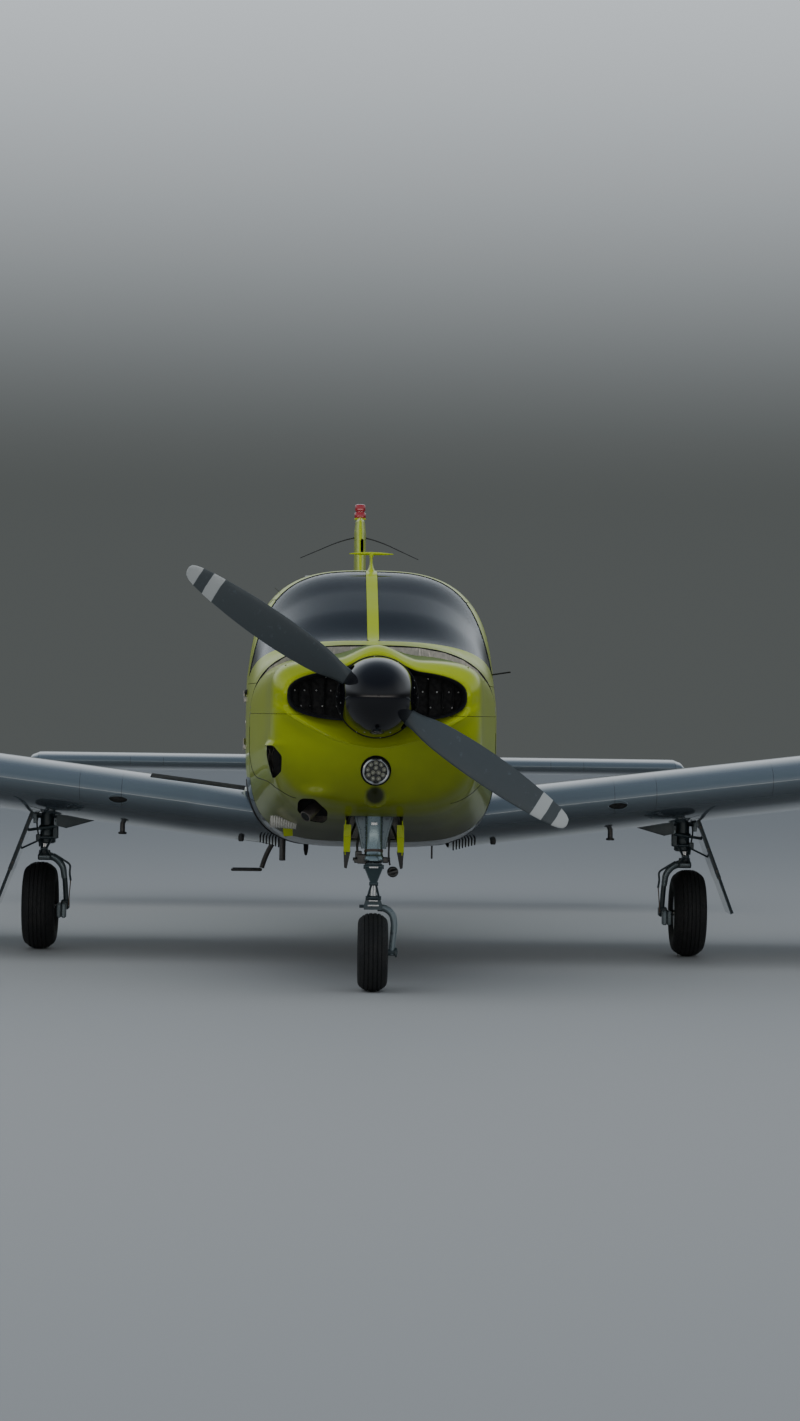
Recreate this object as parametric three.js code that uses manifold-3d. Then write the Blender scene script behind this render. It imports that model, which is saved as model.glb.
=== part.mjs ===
// A low-wing light aircraft: four seats, one engine, retractable tricycle gear, all-moving tailplane.
// Millimetres. +X is the aircraft's own left (port), -Y the nose, +Z up; z = 0 is the ground.
// A station is the distance aft of the spinner's tip, so y = station - LENGTH / 2.
import * as THREE from "three";
import { mergeVertices } from "three/addons/utils/BufferGeometryUtils.js";
import Module from "manifold-3d";

const wasm = await Module();
wasm.setup();

// Driving dimensions
const LENGTH = 7500;
const SPAN = 9820;
const SEAM = 0.3; // running gap between pieces that touch
const WALL = 45; // cabin panels and doors
const CLEAR = 6; // air round a moving surface

const PROP = { z: 1240, angle: 146.6, plane: 215 };
const SPINNER = { radius: 168, backStation: 296, backThick: 14 };
const COWL = { seam: 1165, wall: 12 };
const FIREWALL = { front: 1290.3, back: 1299.7 };
const CABIN = { back: 4400, sill: 780, cantrail: 1700, floor: 700, floorThick: 20 };
const TAIL = { front: 4406, bulkhead: 6440, wall: 12 };
const GLASS = { depth: 8, thick: 8 };
const WING = {
  lead: 2170,
  chord: 1600,
  thick: 0.15,
  camber: 0.02,
  dihedral: 7,
  incidence: 2,
  midX: 830,
  midZ: 700,
  root: 440,
  capStart: 4660,
  rootGlove: 130,
  hinge: 0.815,
};
const FLAP = { inner: 535, outer: 2784 };
const AILERON = { inner: 2796, outer: 4620 };
const STAB = { lead: 6550, chord: 760, thick: 0.1, half: 1960, z: 870, pivot: 210 };
const TAB = { half: 1120, hinge: 0.82 };
const FIN = { tipZ: 2357, thick: 72 };
const RUDDER = { baseZ: 1118, topZ: 2262, hingeStation: 7000, hingeZ: 1500, hingeSlope: 0.0328 };
const NOSE = { station: 590, tyreRadius: 165, tyreHalf: 63, rake: 8 };
const MAIN = { x: 1590, station: 2970, tyreRadius: 212, tyreHalf: 80, blockZ: 438 };

// Shape helpers
const rad = THREE.MathUtils.degToRad;
const at = (x, station, z) => [x, station - LENGTH / 2, z];
const vec = (p) => new THREE.Vector3(...p);

function closedGeometry(points, triangles) {
  const keys = new Map();
  const kept = [];
  const indexOf = points.map((p) => {
    const key = p.map((c) => Math.round(c * 1e3)).join();
    if (!keys.has(key)) {
      keys.set(key, kept.length / 3);
      kept.push(...p);
    }
    return keys.get(key);
  });
  let index = triangles
    .map((t) => t.map((i) => indexOf[i]))
    .filter(([a, b, c]) => a !== b && b !== c && c !== a);
  let volume = 0;
  const corner = (i) => new THREE.Vector3(kept[3 * i], kept[3 * i + 1], kept[3 * i + 2]);
  for (const [a, b, c] of index) volume += corner(a).dot(corner(b).cross(corner(c)));
  if (volume < 0) index = index.map(([a, b, c]) => [a, c, b]);
  const geometry = new THREE.BufferGeometry();
  geometry.setAttribute("position", new THREE.BufferAttribute(new Float32Array(kept), 3));
  geometry.setIndex(index.flat());
  return geometry;
}

function toSolid(geometry) {
  const bare = geometry.clone();
  bare.deleteAttribute("normal");
  bare.deleteAttribute("uv");
  const merged = mergeVertices(bare, 1e-3);
  return new wasm.Manifold(
    new wasm.Mesh({
      numProp: 3,
      vertProperties: Float32Array.from(merged.attributes.position.array),
      triVerts: Uint32Array.from(merged.index.array),
    }),
  );
}

function toGeometry(solid) {
  const mesh = solid.getMesh();
  const geometry = new THREE.BufferGeometry();
  geometry.setAttribute("position", new THREE.BufferAttribute(Float32Array.from(mesh.vertProperties), 3));
  geometry.setIndex(new THREE.BufferAttribute(Uint32Array.from(mesh.triVerts), 1));
  return geometry;
}

// Rings of equal count, each an upper list and a lower list that run the same way, skinned into one solid
function loft(rings) {
  const half = rings[0].upper.length;
  const count = 2 * half;
  const points = rings.flatMap((r) => [...r.upper, ...[...r.lower].reverse()]);
  const triangles = [];
  const quad = (a, b, c, d) => triangles.push([a, b, c], [a, c, d]);
  for (let r = 0; r + 1 < rings.length; r++) {
    for (let k = 0; k < count; k++) {
      const next = (k + 1) % count;
      quad(r * count + k, r * count + next, (r + 1) * count + next, (r + 1) * count + k);
    }
  }
  const last = (rings.length - 1) * count;
  for (let k = 0; k + 1 < half; k++) {
    quad(k, count - 1 - k, count - 2 - k, k + 1);
    quad(last + k, last + k + 1, last + count - 2 - k, last + count - 1 - k);
  }
  return toSolid(closedGeometry(points, triangles));
}

function box(low, high) {
  const size = high.map((h, i) => h - low[i]);
  const geometry = new THREE.BoxGeometry(...size);
  geometry.translate(...low.map((l, i) => l + size[i] / 2));
  return toSolid(geometry);
}

function alongAxis(geometry, from, to) {
  const direction = vec(to).sub(vec(from));
  const turn = new THREE.Quaternion().setFromUnitVectors(
    new THREE.Vector3(0, 1, 0),
    direction.clone().normalize(),
  );
  const middle = vec(from).addScaledVector(direction, 0.5);
  geometry.applyMatrix4(new THREE.Matrix4().compose(middle, turn, new THREE.Vector3(1, 1, 1)));
  return toSolid(geometry);
}

function rod(from, to, radius, sides = 12, endRadius = radius) {
  const length = vec(from).distanceTo(vec(to));
  return alongAxis(new THREE.CylinderGeometry(endRadius, radius, length, sides), from, to);
}

// A profile of [radius, distance] points turned about the line from an origin along an axis
function turned(profile, origin, axis, sides = 24) {
  const points = profile.map(([r, d]) => new THREE.Vector2(r, d));
  const geometry = new THREE.LatheGeometry(points, sides);
  const turn = new THREE.Quaternion().setFromUnitVectors(new THREE.Vector3(0, 1, 0), vec(axis).normalize());
  geometry.applyMatrix4(new THREE.Matrix4().compose(vec(origin), turn, new THREE.Vector3(1, 1, 1)));
  const bare = mergeVertices(geometry.deleteAttribute("normal").deleteAttribute("uv"), 1e-3);
  const flat = [];
  for (let i = 0; i < bare.attributes.position.count; i++) {
    flat.push(new THREE.Vector3().fromBufferAttribute(bare.attributes.position, i).toArray());
  }
  const triangles = [];
  for (let i = 0; i < bare.index.count; i += 3) {
    triangles.push([bare.index.getX(i), bare.index.getX(i + 1), bare.index.getX(i + 2)]);
  }
  return toSolid(closedGeometry(flat, triangles));
}

function extruded(outline, depth) {
  const shape = new THREE.Shape(outline.map(([u, v]) => new THREE.Vector2(u, v)));
  return new THREE.ExtrudeGeometry(shape, { depth, bevelEnabled: false });
}

// Side-view outline of [station, z] points, from x = low to x = high
function sidePrism(outline, low, high) {
  const geometry = extruded(
    outline.map(([s, z]) => [s - LENGTH / 2, z]),
    high - low,
  );
  const m = new THREE.Matrix4().set(0, 0, 1, low, 1, 0, 0, 0, 0, 1, 0, 0, 0, 0, 0, 1);
  return toSolid(geometry.applyMatrix4(m));
}

// Front-view outline of [x, z] points, from one station to another
function frontPrism(outline, front, back) {
  const geometry = extruded(
    outline.map(([x, z]) => [z, x]),
    back - front,
  );
  const m = new THREE.Matrix4().set(0, 1, 0, 0, 0, 0, 1, front - LENGTH / 2, 1, 0, 0, 0, 0, 0, 0, 1);
  return toSolid(geometry.applyMatrix4(m));
}

// A round bar bent along a route of points
function bentRod(route, radius, sides = 8, steps = 6) {
  const curve = new THREE.CatmullRomCurve3(route.map(vec), false, "centripetal");
  const section = new THREE.Shape(
    Array.from({ length: sides }, (_, k) => {
      const a = (2 * Math.PI * k) / sides;
      return new THREE.Vector2(radius * Math.cos(a), radius * Math.sin(a));
    }),
  );
  return toSolid(new THREE.ExtrudeGeometry(section, { steps, extrudePath: curve, bevelEnabled: false }));
}

const join = (...solids) => solids.flat().reduce((a, b) => a.add(b));
const cut = (solid, ...tools) => tools.flat().reduce((a, b) => a.subtract(b), solid);
const mirrored = (solid) => solid.mirror([1, 0, 0]);
// An outline moved outward by a distance along the mean of its two edge normals
const grown = (outline, by) => {
  const count = outline.length;
  let area = 0;
  outline.forEach(([u, v], i) => {
    const [p, q] = outline[(i + 1) % count];
    area += u * q - p * v;
  });
  const sign = Math.sign(area);
  const normal = (a, b) => {
    const n = new THREE.Vector2(b[1] - a[1], a[0] - b[0]).normalize();
    return n.multiplyScalar(sign);
  };
  return outline.map((p, i) => {
    const before = normal(outline[(i + count - 1) % count], p);
    const after = normal(p, outline[(i + 1) % count]);
    const mean = before.clone().add(after).normalize();
    const reach = by / Math.max(mean.dot(before), 0.4);
    return [p[0] + mean.x * reach, p[1] + mean.y * reach];
  });
};

// Body sections: station, half width, bottom, top, widest height, upper and lower exponent
const BODY = [
  [1300, 545, 605, 1475, 1100, 3.0, 4.0],
  [1450, 556, 590, 1497, 1110, 2.9, 4.0],
  [1800, 570, 562, 1652, 1130, 2.7, 4.0],
  [2000, 576, 555, 1735, 1150, 2.7, 4.0],
  [2250, 580, 550, 1832, 1190, 2.95, 4.0],
  [2600, 582, 550, 1853, 1200, 3.0, 4.0],
  [3000, 577, 552, 1855, 1200, 3.0, 4.0],
  [3400, 556, 560, 1822, 1190, 3.0, 4.0],
  [3700, 525, 570, 1745, 1170, 2.9, 3.8],
  [4050, 477, 586, 1615, 1125, 2.8, 3.6],
  [4400, 425, 606, 1510, 1080, 2.7, 3.4],
];
const TAIL_BODY = [
  [4406, 424, 606, 1509, 1080, 2.7, 3.4],
  [5200, 297, 668, 1362, 1020, 2.5, 3.0],
  [6000, 190, 748, 1245, 995, 2.4, 2.7],
  [6700, 113, 822, 1140, 980, 2.4, 2.5],
  [7230, 55, 890, 1070, 976, 2.3, 2.4],
];
// Cowl sections, as above, with the height of the hump over the propeller shaft last
const NOSE_BODY = [
  [320, 372, 1140, 1352, 1245, 2.4, 2.4, 8],
  [345, 402, 1080, 1372, 1242, 2.8, 2.8, 16],
  [385, 426, 950, 1388, 1235, 3.4, 3.0, 28],
  [440, 440, 838, 1396, 1215, 4.2, 3.2, 40],
  [540, 450, 762, 1400, 1185, 4.8, 3.5, 50],
  [700, 461, 716, 1403, 1150, 5.0, 3.8, 56],
  [1000, 503, 662, 1412, 1112, 4.2, 4.0, 55],
  [1290, 544, 606, 1434, 1100, 3.3, 4.0, 42],
];
const HUMP_WIDTH = 210;
const RING_STEPS = 14;

function bodyRing([station, halfWidth, bottom, top, middle, upperPower, lowerPower, hump = 0], grow) {
  const width = halfWidth + grow;
  const ring = { upper: [], lower: [] };
  for (let k = 0; k <= RING_STEPS; k++) {
    const angle = (Math.PI * k) / RING_STEPS;
    const c = Math.cos(angle);
    const s = Math.max(Math.sin(angle), 0);
    const side = (power) => Math.sign(c) * width * Math.abs(c) ** (2 / power);
    const x = side(upperPower);
    const bump = Math.abs(x) < HUMP_WIDTH ? hump * Math.cos((Math.PI * x) / (2 * HUMP_WIDTH)) ** 2 : 0;
    ring.upper.push(at(x, station, middle + (top + grow - middle) * s ** (2 / upperPower) + bump));
    ring.lower.push(at(side(lowerPower), station, middle - (middle - bottom + grow) * s ** (2 / lowerPower)));
  }
  return ring;
}

// The body grown by a distance; an overhang carries the end sections on so that a cut goes clean through
function bodyLoft(table, grow = 0, overhang = 0) {
  const rings = table.map((row) => bodyRing(row, grow));
  if (overhang) {
    const first = table[0];
    const last = table[table.length - 1];
    rings.unshift(bodyRing([first[0] - overhang, ...first.slice(1)], grow));
    rings.push(bodyRing([last[0] + overhang, ...last.slice(1)], grow));
  }
  return loft(rings);
}

// Cabin
const FAR = 2000;
const WINDSCREEN = [
  [1400, 1513],
  [1950, 1330],
  [2310, 1836],
  [2310, FAR],
  [1400, FAR],
];
const DOOR = [
  [1990, 975],
  [1990, 1325],
  [2325, 1742],
  [2835, 1745],
  [2868, 1700],
  [2868, 1000],
  [2820, 942],
  [2030, 942],
];
const DOOR_WINDOW = [
  [2085, 1345],
  [2365, 1690],
  [2800, 1690],
  [2812, 1345],
];
const REAR_WINDOW = [
  [2935, 1345],
  [2935, 1668],
  [3280, 1610],
  [3585, 1360],
  [3570, 1345],
];
const BAGGAGE = [
  [3790, 860],
  [3790, 1290],
  [4260, 1262],
  [4260, 880],
];
const CANTRAIL = [
  [1950, CABIN.cantrail],
  [3000, CABIN.cantrail],
  [4450, 1400],
  [4450, FAR],
  [1950, FAR],
];
const DECK = [
  [1250, 1300],
  [1950, 1300],
  [1950, 1330],
  [1400, 1513],
  [1250, 1563],
];
const POST_HALF = 25;

const cabinOuter = bodyLoft(BODY);
const cabinShell = cut(cabinOuter, bodyLoft(BODY, -WALL, 20));
const screenPrism = sidePrism(WINDSCREEN, -900, 900);
const postPrism = box(at(-POST_HALF, 1350, 1200), at(POST_HALF, 2400, FAR));
const screenHole = cut(screenPrism, postPrism);
const roofPrism = sidePrism(CANTRAIL, -900, 900);
const deckPrism = sidePrism(DECK, -900, 900);
const starboardPrism = (outline, by = 0) => sidePrism(grown(outline, by), -900, -200);
const portPrism = (outline, by = 0) => sidePrism(grown(outline, by), 200, 900);

// A hinged panel's way through the wall: its own shape, one clearance larger, at steps of its swing
function swing(solid, pivot, degrees, steps) {
  const sweep = [];
  for (let k = 0; k <= steps; k++) {
    const [x, y, z] = pivot;
    sweep.push(
      solid
        .translate([-x, -y, -z])
        .rotate([0, 0, (degrees * k) / steps])
        .translate([x, y, z]),
    );
  }
  return join(sweep);
}

const DOOR_HINGE = at(-584, 1990, 1080);
const BAGGAGE_HINGE = at(-522, 3790, 1080);
const DOOR_KNUCKLES = [1010, 1230];
const BAGGAGE_KNUCKLES = [960, 1190];
// Each hinge is a barrel in two lengths on one pin line: the lower on the frame, the upper on the door
const KNUCKLE = { radius: 8, length: 26, leaf: 34, outer: 4, inner: 20, shy: 2 };
function knuckles([x, y], heights, moving) {
  const base = moving ? KNUCKLE.length / 2 + 0.4 : -KNUCKLE.length / 2;
  const reach = moving ? [0, KNUCKLE.leaf] : [-KNUCKLE.leaf, -KNUCKLE.shy];
  return heights.flatMap((z) => [
    rod([x, y, z + base], [x, y, z + base + KNUCKLE.length], KNUCKLE.radius, 12),
    box(
      [x - KNUCKLE.outer, y + reach[0], z + base],
      [x + KNUCKLE.inner, y + reach[1], z + base + KNUCKLE.length],
    ),
  ]);
}
const DOOR_SWING = 75;
const BAGGAGE_SWING = 95;
const sleeve = (by) => cut(bodyLoft(BODY, by), bodyLoft(BODY, -WALL - by, 20));
const doorSleeve = sleeve(CLEAR);
const doorWay = swing(
  doorSleeve.intersect(starboardPrism(DOOR, CLEAR)),
  DOOR_HINGE,
  DOOR_SWING,
  10,
);
const baggageWay = swing(
  doorSleeve.intersect(starboardPrism(BAGGAGE, CLEAR)),
  BAGGAGE_HINGE,
  BAGGAGE_SWING,
  10,
);

const glassShell = cut(bodyLoft(BODY, -GLASS.depth), bodyLoft(BODY, -GLASS.depth - GLASS.thick, 20));
const halfSpace = (side) =>
  side > 0 ? box(at(SEAM, 1200, 0), at(900, 4600, FAR)) : box(at(-900, 1200, 0), at(-SEAM, 4600, FAR));
const inset = (outline) => grown(outline, -SEAM);
const windscreenPane = (side) =>
  cut(
    glassShell.intersect(sidePrism(inset(WINDSCREEN), -900, 900)).intersect(halfSpace(side)),
    box(at(-POST_HALF - SEAM, 1300, 1200), at(POST_HALF + SEAM, 2500, FAR)),
  );

const sideBand = box(at(-900, 1200, CABIN.sill), at(900, 4600, FAR));
const sides = cut(
  cabinShell.intersect(sideBand),
  sidePrism(grown(CANTRAIL, SEAM), -900, 900),
  sidePrism(grown(DECK, SEAM), -900, 900),
  screenPrism,
);
const sidePort = cut(
  sides.intersect(halfSpace(1)),
  portPrism(DOOR_WINDOW),
  portPrism(REAR_WINDOW),
);
const cabinDoor = join(
  cut(cabinShell.intersect(starboardPrism(DOOR)), starboardPrism(DOOR_WINDOW)),
  knuckles(DOOR_HINGE, DOOR_KNUCKLES, true),
);
const baggageDoor = join(
  cabinShell.intersect(starboardPrism(BAGGAGE)),
  knuckles(BAGGAGE_HINGE, BAGGAGE_KNUCKLES, true),
);
const sideStarboard = join(
  cut(sides.intersect(halfSpace(-1)), starboardPrism(REAR_WINDOW), doorWay, baggageWay),
  knuckles(DOOR_HINGE, DOOR_KNUCKLES, false),
  knuckles(BAGGAGE_HINGE, BAGGAGE_KNUCKLES, false),
);
const roofShell = cut(
  cabinShell.intersect(join(roofPrism, postPrism.intersect(screenPrism))),
  screenHole,
  doorWay,
);
const ROOF_AERIAL = { station: 2380, foot: 1838, top: 1930 };
const roofAerial = join(
  frontPrism(
    [
      [-13, ROOF_AERIAL.foot],
      [13, ROOF_AERIAL.foot],
      [13, ROOF_AERIAL.top],
      [-13, ROOF_AERIAL.top],
    ],
    ROOF_AERIAL.station - 60,
    ROOF_AERIAL.station + 60,
  ),
  rod(at(-105, ROOF_AERIAL.station, ROOF_AERIAL.top), at(105, ROOF_AERIAL.station, ROOF_AERIAL.top), 9, 8),
);
const cabinRoof = join(roofShell, roofAerial);
const forwardDeck = cabinShell.intersect(deckPrism);
const floorSlab = bodyLoft(BODY, -WALL + 5).intersect(
  box(at(-900, 1200, CABIN.floor), at(900, 4600, CABIN.floor + CABIN.floorThick)),
);
const bellyShell = cabinShell.intersect(box(at(-900, 1200, 0), at(900, 4600, CABIN.sill - SEAM)));
const bellyAerial = sidePrism(
  [
    [2900, 570],
    [2960, 500],
    [3000, 500],
    [3010, 570],
  ],
  -283,
  -277,
);
const step = join(
  bentRod([at(-310, 3900, 620), at(-440, 3900, 540), at(-535, 3900, 370)], 14, 8, 4),
  box(at(-680, 3850, 350), at(-520, 3960, 364)),
);
const bellyPan = join(bellyShell, floorSlab, bellyAerial, step);

// Fittings inside the cabin
const panelSpace = bodyLoft(BODY, -WALL - 0.4);
const YOKES = [-300, 300];
const yoke = (x) =>
  join(
    rod(at(x, 1800, 1235), at(x, 1960, 1235), 12, 8),
    rod(at(x - 105, 1965, 1235), at(x + 105, 1965, 1235), 11, 6),
    rod(at(x - 105, 1965, 1224), at(x - 120, 1965, 1330), 11, 6),
    rod(at(x + 105, 1965, 1224), at(x + 120, 1965, 1330), 11, 6),
  );
const instrumentPanel = join(
  panelSpace.intersect(box(at(-900, 1785, 1090), at(900, 1812, 1440))),
  panelSpace.intersect(box(at(-900, 1640, 1425), at(900, 1812, 1440))),
  YOKES.map(yoke),
);
const SEAT = { x: 255, front: 2330, back: 2800, half: 205, top: 1010, backTop: 1560 };
const seatSide = [
  [SEAT.front, CABIN.floor + CABIN.floorThick + SEAM],
  [SEAT.front, SEAT.top - 40],
  [SEAT.front + 60, SEAT.top],
  [SEAT.back - 80, SEAT.top - 30],
  [SEAT.back + 20, SEAT.backTop],
  [SEAT.back + 110, SEAT.backTop],
  [SEAT.back + 40, SEAT.top - 80],
  [SEAT.back, CABIN.floor + CABIN.floorThick + SEAM],
];
const frontSeat = (x) => sidePrism(seatSide, x - SEAT.half, x + SEAT.half);
const benchSide = [
  [3120, CABIN.floor + CABIN.floorThick + SEAM],
  [3120, 1000],
  [3180, 1030],
  [3520, 1010],
  [3620, 1500],
  [3710, 1490],
  [3640, 960],
  [3600, CABIN.floor + CABIN.floorThick + SEAM],
];
const rearBench = sidePrism(benchSide, -455, 455).intersect(bodyLoft(BODY, -WALL - 25));

// Engine bay
const cowlOuter = bodyLoft(NOSE_BODY);
const cowlShell = cut(cowlOuter, bodyLoft(NOSE_BODY, -COWL.wall, 30));
const LIGHT = { z: 934, radius: 62, station: 382 };
const lightAxis = [0, -Math.cos(rad(12)), -Math.sin(rad(12))];
const lightEnd = (distance) =>
  vec(at(0, LIGHT.station, LIGHT.z)).addScaledVector(vec(lightAxis), distance).toArray();
const landingLight = rod(lightEnd(-70), lightEnd(22), LIGHT.radius, 24);
const lightHole = rod(lightEnd(-120), lightEnd(120), LIGHT.radius + SEAM, 24);
const SIDE_INLET = [
  [-415, 905],
  [-480, 905],
  [-480, 1015],
  [-430, 1015],
];
const sideInlet = frontPrism(SIDE_INLET, 380, 560);
const EXHAUST = { x: -258, z: 742, radius: 32 };
const exhaustHole = frontPrism(
  [
    [-320, 690],
    [-200, 690],
    [-200, 805],
    [-320, 805],
  ],
  380,
  745,
);
const gearBay = box(at(-115, 530, 500), at(115, 1240, 800));
const cowlTop = cowlShell.intersect(box(at(-900, 0, COWL.seam + SEAM), at(900, 1300, FAR)));
const cowlBottom = cut(
  cowlShell.intersect(box(at(-900, 0, 0), at(900, 1300, COWL.seam))),
  lightHole,
  sideInlet,
  exhaustHole,
  gearBay,
);
const firewall = bodyLoft([
  [FIREWALL.front, 541, 609, 1470, 1100, 3.0, 4.0],
  [FIREWALL.back, 541, 609, 1470, 1100, 3.0, 4.0],
]);
const ENGINE = { half: 350, bottom: 930, top: 1355, front: 470, back: 1180 };
const mountTube = ([x, z]) => rod(at(x, ENGINE.back - 20, z), at(x * 1.2, FIREWALL.back, z), 14, 8);
const MOUNTS = [
  [-260, 1060],
  [260, 1060],
  [-260, 1290],
  [260, 1290],
];
const aheadOfFirewall = box(at(-900, 0, 0), at(900, FIREWALL.front - SEAM, FAR));
const engineBlock = join(
  box(at(-ENGINE.half, ENGINE.front, ENGINE.bottom), at(ENGINE.half, ENGINE.back, ENGINE.top)),
  rod(at(0, ENGINE.front + 10, PROP.z), at(0, SPINNER.backStation + SPINNER.backThick + 0.5, PROP.z), 52, 16),
  MOUNTS.map(mountTube),
).intersect(aheadOfFirewall);
const exhaustPipe = join(
  bentRod([at(EXHAUST.x, 620, 735), at(EXHAUST.x, 720, 790), at(EXHAUST.x, 790, 960)], EXHAUST.radius, 10),
  rod(at(EXHAUST.x, 600, 722), at(EXHAUST.x, 640, 748), 30),
).intersect(box(at(-900, 0, 0), at(900, 1300, ENGINE.bottom - SEAM)));

// Propeller
const spinnerProfile = [
  [0, 0],
  [38, 7],
  [78, 30],
  [112, 68],
  [140, 122],
  [158, 190],
  [SPINNER.radius, 262],
  [SPINNER.radius, SPINNER.backStation],
  [0, SPINNER.backStation],
];
const propAxis = [0, 1, 0];
const spinnerDome = turned(spinnerProfile, at(0, 0, PROP.z), propAxis, 32);
const backplate = rod(
  at(0, SPINNER.backStation, PROP.z),
  at(0, SPINNER.backStation + SPINNER.backThick, PROP.z),
  SPINNER.radius + 4,
  32,
);
// Blade sections: radius, chord, thickness, pitch in degrees
const BLADE = [
  [120, 78, 66, 48],
  [180, 90, 44, 42],
  [250, 122, 28, 35],
  [400, 146, 20, 26],
  [550, 146, 15, 20],
  [750, 120, 11, 15],
  [880, 84, 8, 13],
  [932, 46, 6, 12],
  [940, 22, 4, 12],
];
const BLADE_CENTRE = 0.44; // of the chord, ahead of the pitch axis
function bladeRing([radius, chord, thick, pitch]) {
  const points = { upper: [], lower: [] };
  const turn = rad(pitch);
  for (const u of [0, 0.08, 0.3, 0.6, 1]) {
    const half = thick * 0.5 * Math.sqrt(Math.max(1 - (2 * u - 1) ** 2, 0)) + (u === 1 ? 0.8 : 0);
    const c = (BLADE_CENTRE - u) * chord;
    // c runs in the disc towards the leading edge, t along the shaft
    const point = (t) => [
      c * Math.cos(turn) + t * Math.sin(turn),
      t * Math.cos(turn) - c * Math.sin(turn),
      radius,
    ];
    points.upper.push(point(-half));
    points.lower.push(point(half));
  }
  return points;
}
const bladeUpright = loft(BLADE.map(bladeRing));
// Upright, a blade runs along +Z with its leading edge to +X; it turns about Y to its place in the disc
const bladeAt = (degrees) =>
  bladeUpright.rotate([0, 90 - degrees, 0]).translate(at(0, PROP.plane, PROP.z));
const blades = join(
  bladeAt(PROP.angle),
  bladeAt(PROP.angle - 180),
  rod(at(0, 150, PROP.z), at(0, SPINNER.backStation - 8, PROP.z), 124, 20),
);
const hubSpace = rod(at(0, 149, PROP.z), at(0, SPINNER.backStation - 7, PROP.z), 124 + SEAM, 20);
const bladeSlot = (degrees) =>
  box([-58, -66, 90], [58, 66, 260]).rotate([0, 90 - degrees, 0]).translate(at(0, PROP.plane, PROP.z));
const spinner = cut(
  join(spinnerDome, backplate),
  hubSpace,
  bladeSlot(PROP.angle),
  bladeSlot(PROP.angle - 180),
);

// Wing sections
const CHORD_STEPS = [0, 0.012, 0.05, 0.13, 0.28, 0.46, 0.66, 0.815, 1];
function halfThick(u, thick) {
  const shape = 0.2969 * Math.sqrt(u) - 0.126 * u - 0.3516 * u ** 2 + 0.2843 * u ** 3 - 0.1015 * u ** 4;
  return 5 * thick * shape;
}
const camberAt = (u, camber) =>
  u < 0.4 ? (camber * u * (0.8 - u)) / 0.16 : (camber * (0.2 + 0.8 * u - u * u)) / 0.36;

// Ribs stand square to the dihedral, so an up offset also leans inboard
function wingPoint(x, aft, up) {
  const away = Math.abs(x);
  const lean = rad(WING.dihedral);
  const turn = rad(WING.incidence);
  const pivot = 0.3 * WING.chord;
  const glove = Math.max(0, 1 - Math.max(away - WING.root, 0) / (WING.midX - WING.root));
  const share = Math.max(0, 1 - aft / (0.35 * WING.chord));
  const station = WING.lead + pivot + (aft - pivot) * Math.cos(turn) + up * Math.sin(turn);
  const rise = up * Math.cos(turn) - (aft - pivot) * Math.sin(turn);
  const z = WING.midZ + (away - WING.midX) * Math.tan(lean) + rise * Math.cos(lean);
  return at(x - Math.sign(x) * rise * Math.sin(lean), station - WING.rootGlove * glove * share ** 2, z);
}

// Tip rings pull the section in: spanwise place, share of thickness, share cut off the chord at each end
const TIP = [
  [WING.capStart, 1, 0],
  [4770, 0.92, 0.01],
  [4850, 0.72, 0.035],
  [4896, 0.42, 0.08],
  [SPAN / 2, 0.12, 0.13],
];
function wingRing(x, share = 1, pull = 0) {
  const ring = { upper: [], lower: [] };
  for (const u of CHORD_STEPS) {
    const aft = WING.chord * (pull + u * (1 - 2 * pull));
    const mid = camberAt(u, WING.camber) * WING.chord;
    const half = Math.max(halfThick(u, WING.thick) * WING.chord * share, 0);
    ring.upper.push(wingPoint(x, aft, mid + half));
    ring.lower.push(wingPoint(x, aft, mid - half));
  }
  return ring;
}

// A trailing surface's section about its hinge: round nose, then the foil to its trailing edge
function trailingRing(place, span, chord, thick, camber, hinge) {
  const radius = halfThick(hinge, thick) * chord;
  const level = camberAt(hinge, camber) * chord;
  const ring = { upper: [], lower: [] };
  for (const degrees of [0, 22, 45, 67]) {
    const a = rad(degrees);
    const aft = hinge * chord - radius * Math.cos(a);
    ring.upper.push(place(span, aft, level + radius * Math.sin(a)));
    ring.lower.push(place(span, aft, level - radius * Math.sin(a)));
  }
  for (const share of [0, 0.5, 1]) {
    const u = hinge + (1 - hinge) * share;
    const half = halfThick(u, thick) * chord;
    ring.upper.push(place(span, u * chord, camberAt(u, camber) * chord + half));
    ring.lower.push(place(span, u * chord, camberAt(u, camber) * chord - half));
  }
  return ring;
}

// What is cut from the fixed part: a cove round the nose and everything aft of the lips
function coveRing(place, span, chord, thick, camber, hinge, clear = CLEAR) {
  const nose = halfThick(hinge, thick) * chord;
  const radius = nose + clear;
  const level = camberAt(hinge, camber) * chord;
  const lip = Math.sqrt(radius ** 2 - nose ** 2) + clear;
  const lipAngle = Math.acos(lip / radius);
  const ring = { upper: [], lower: [] };
  for (const share of [0, 0.25, 0.5, 0.75, 1]) {
    const a = lipAngle * share;
    ring.upper.push(place(span, hinge * chord - radius * Math.cos(a), level + radius * Math.sin(a)));
    ring.lower.push(place(span, hinge * chord - radius * Math.cos(a), level - radius * Math.sin(a)));
  }
  const reach = nose + 8 * clear;
  for (const aft of [hinge * chord - lip, chord * 1.08]) {
    ring.upper.push(place(span, aft, level + reach));
    ring.lower.push(place(span, aft, level - reach));
  }
  return ring;
}

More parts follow.
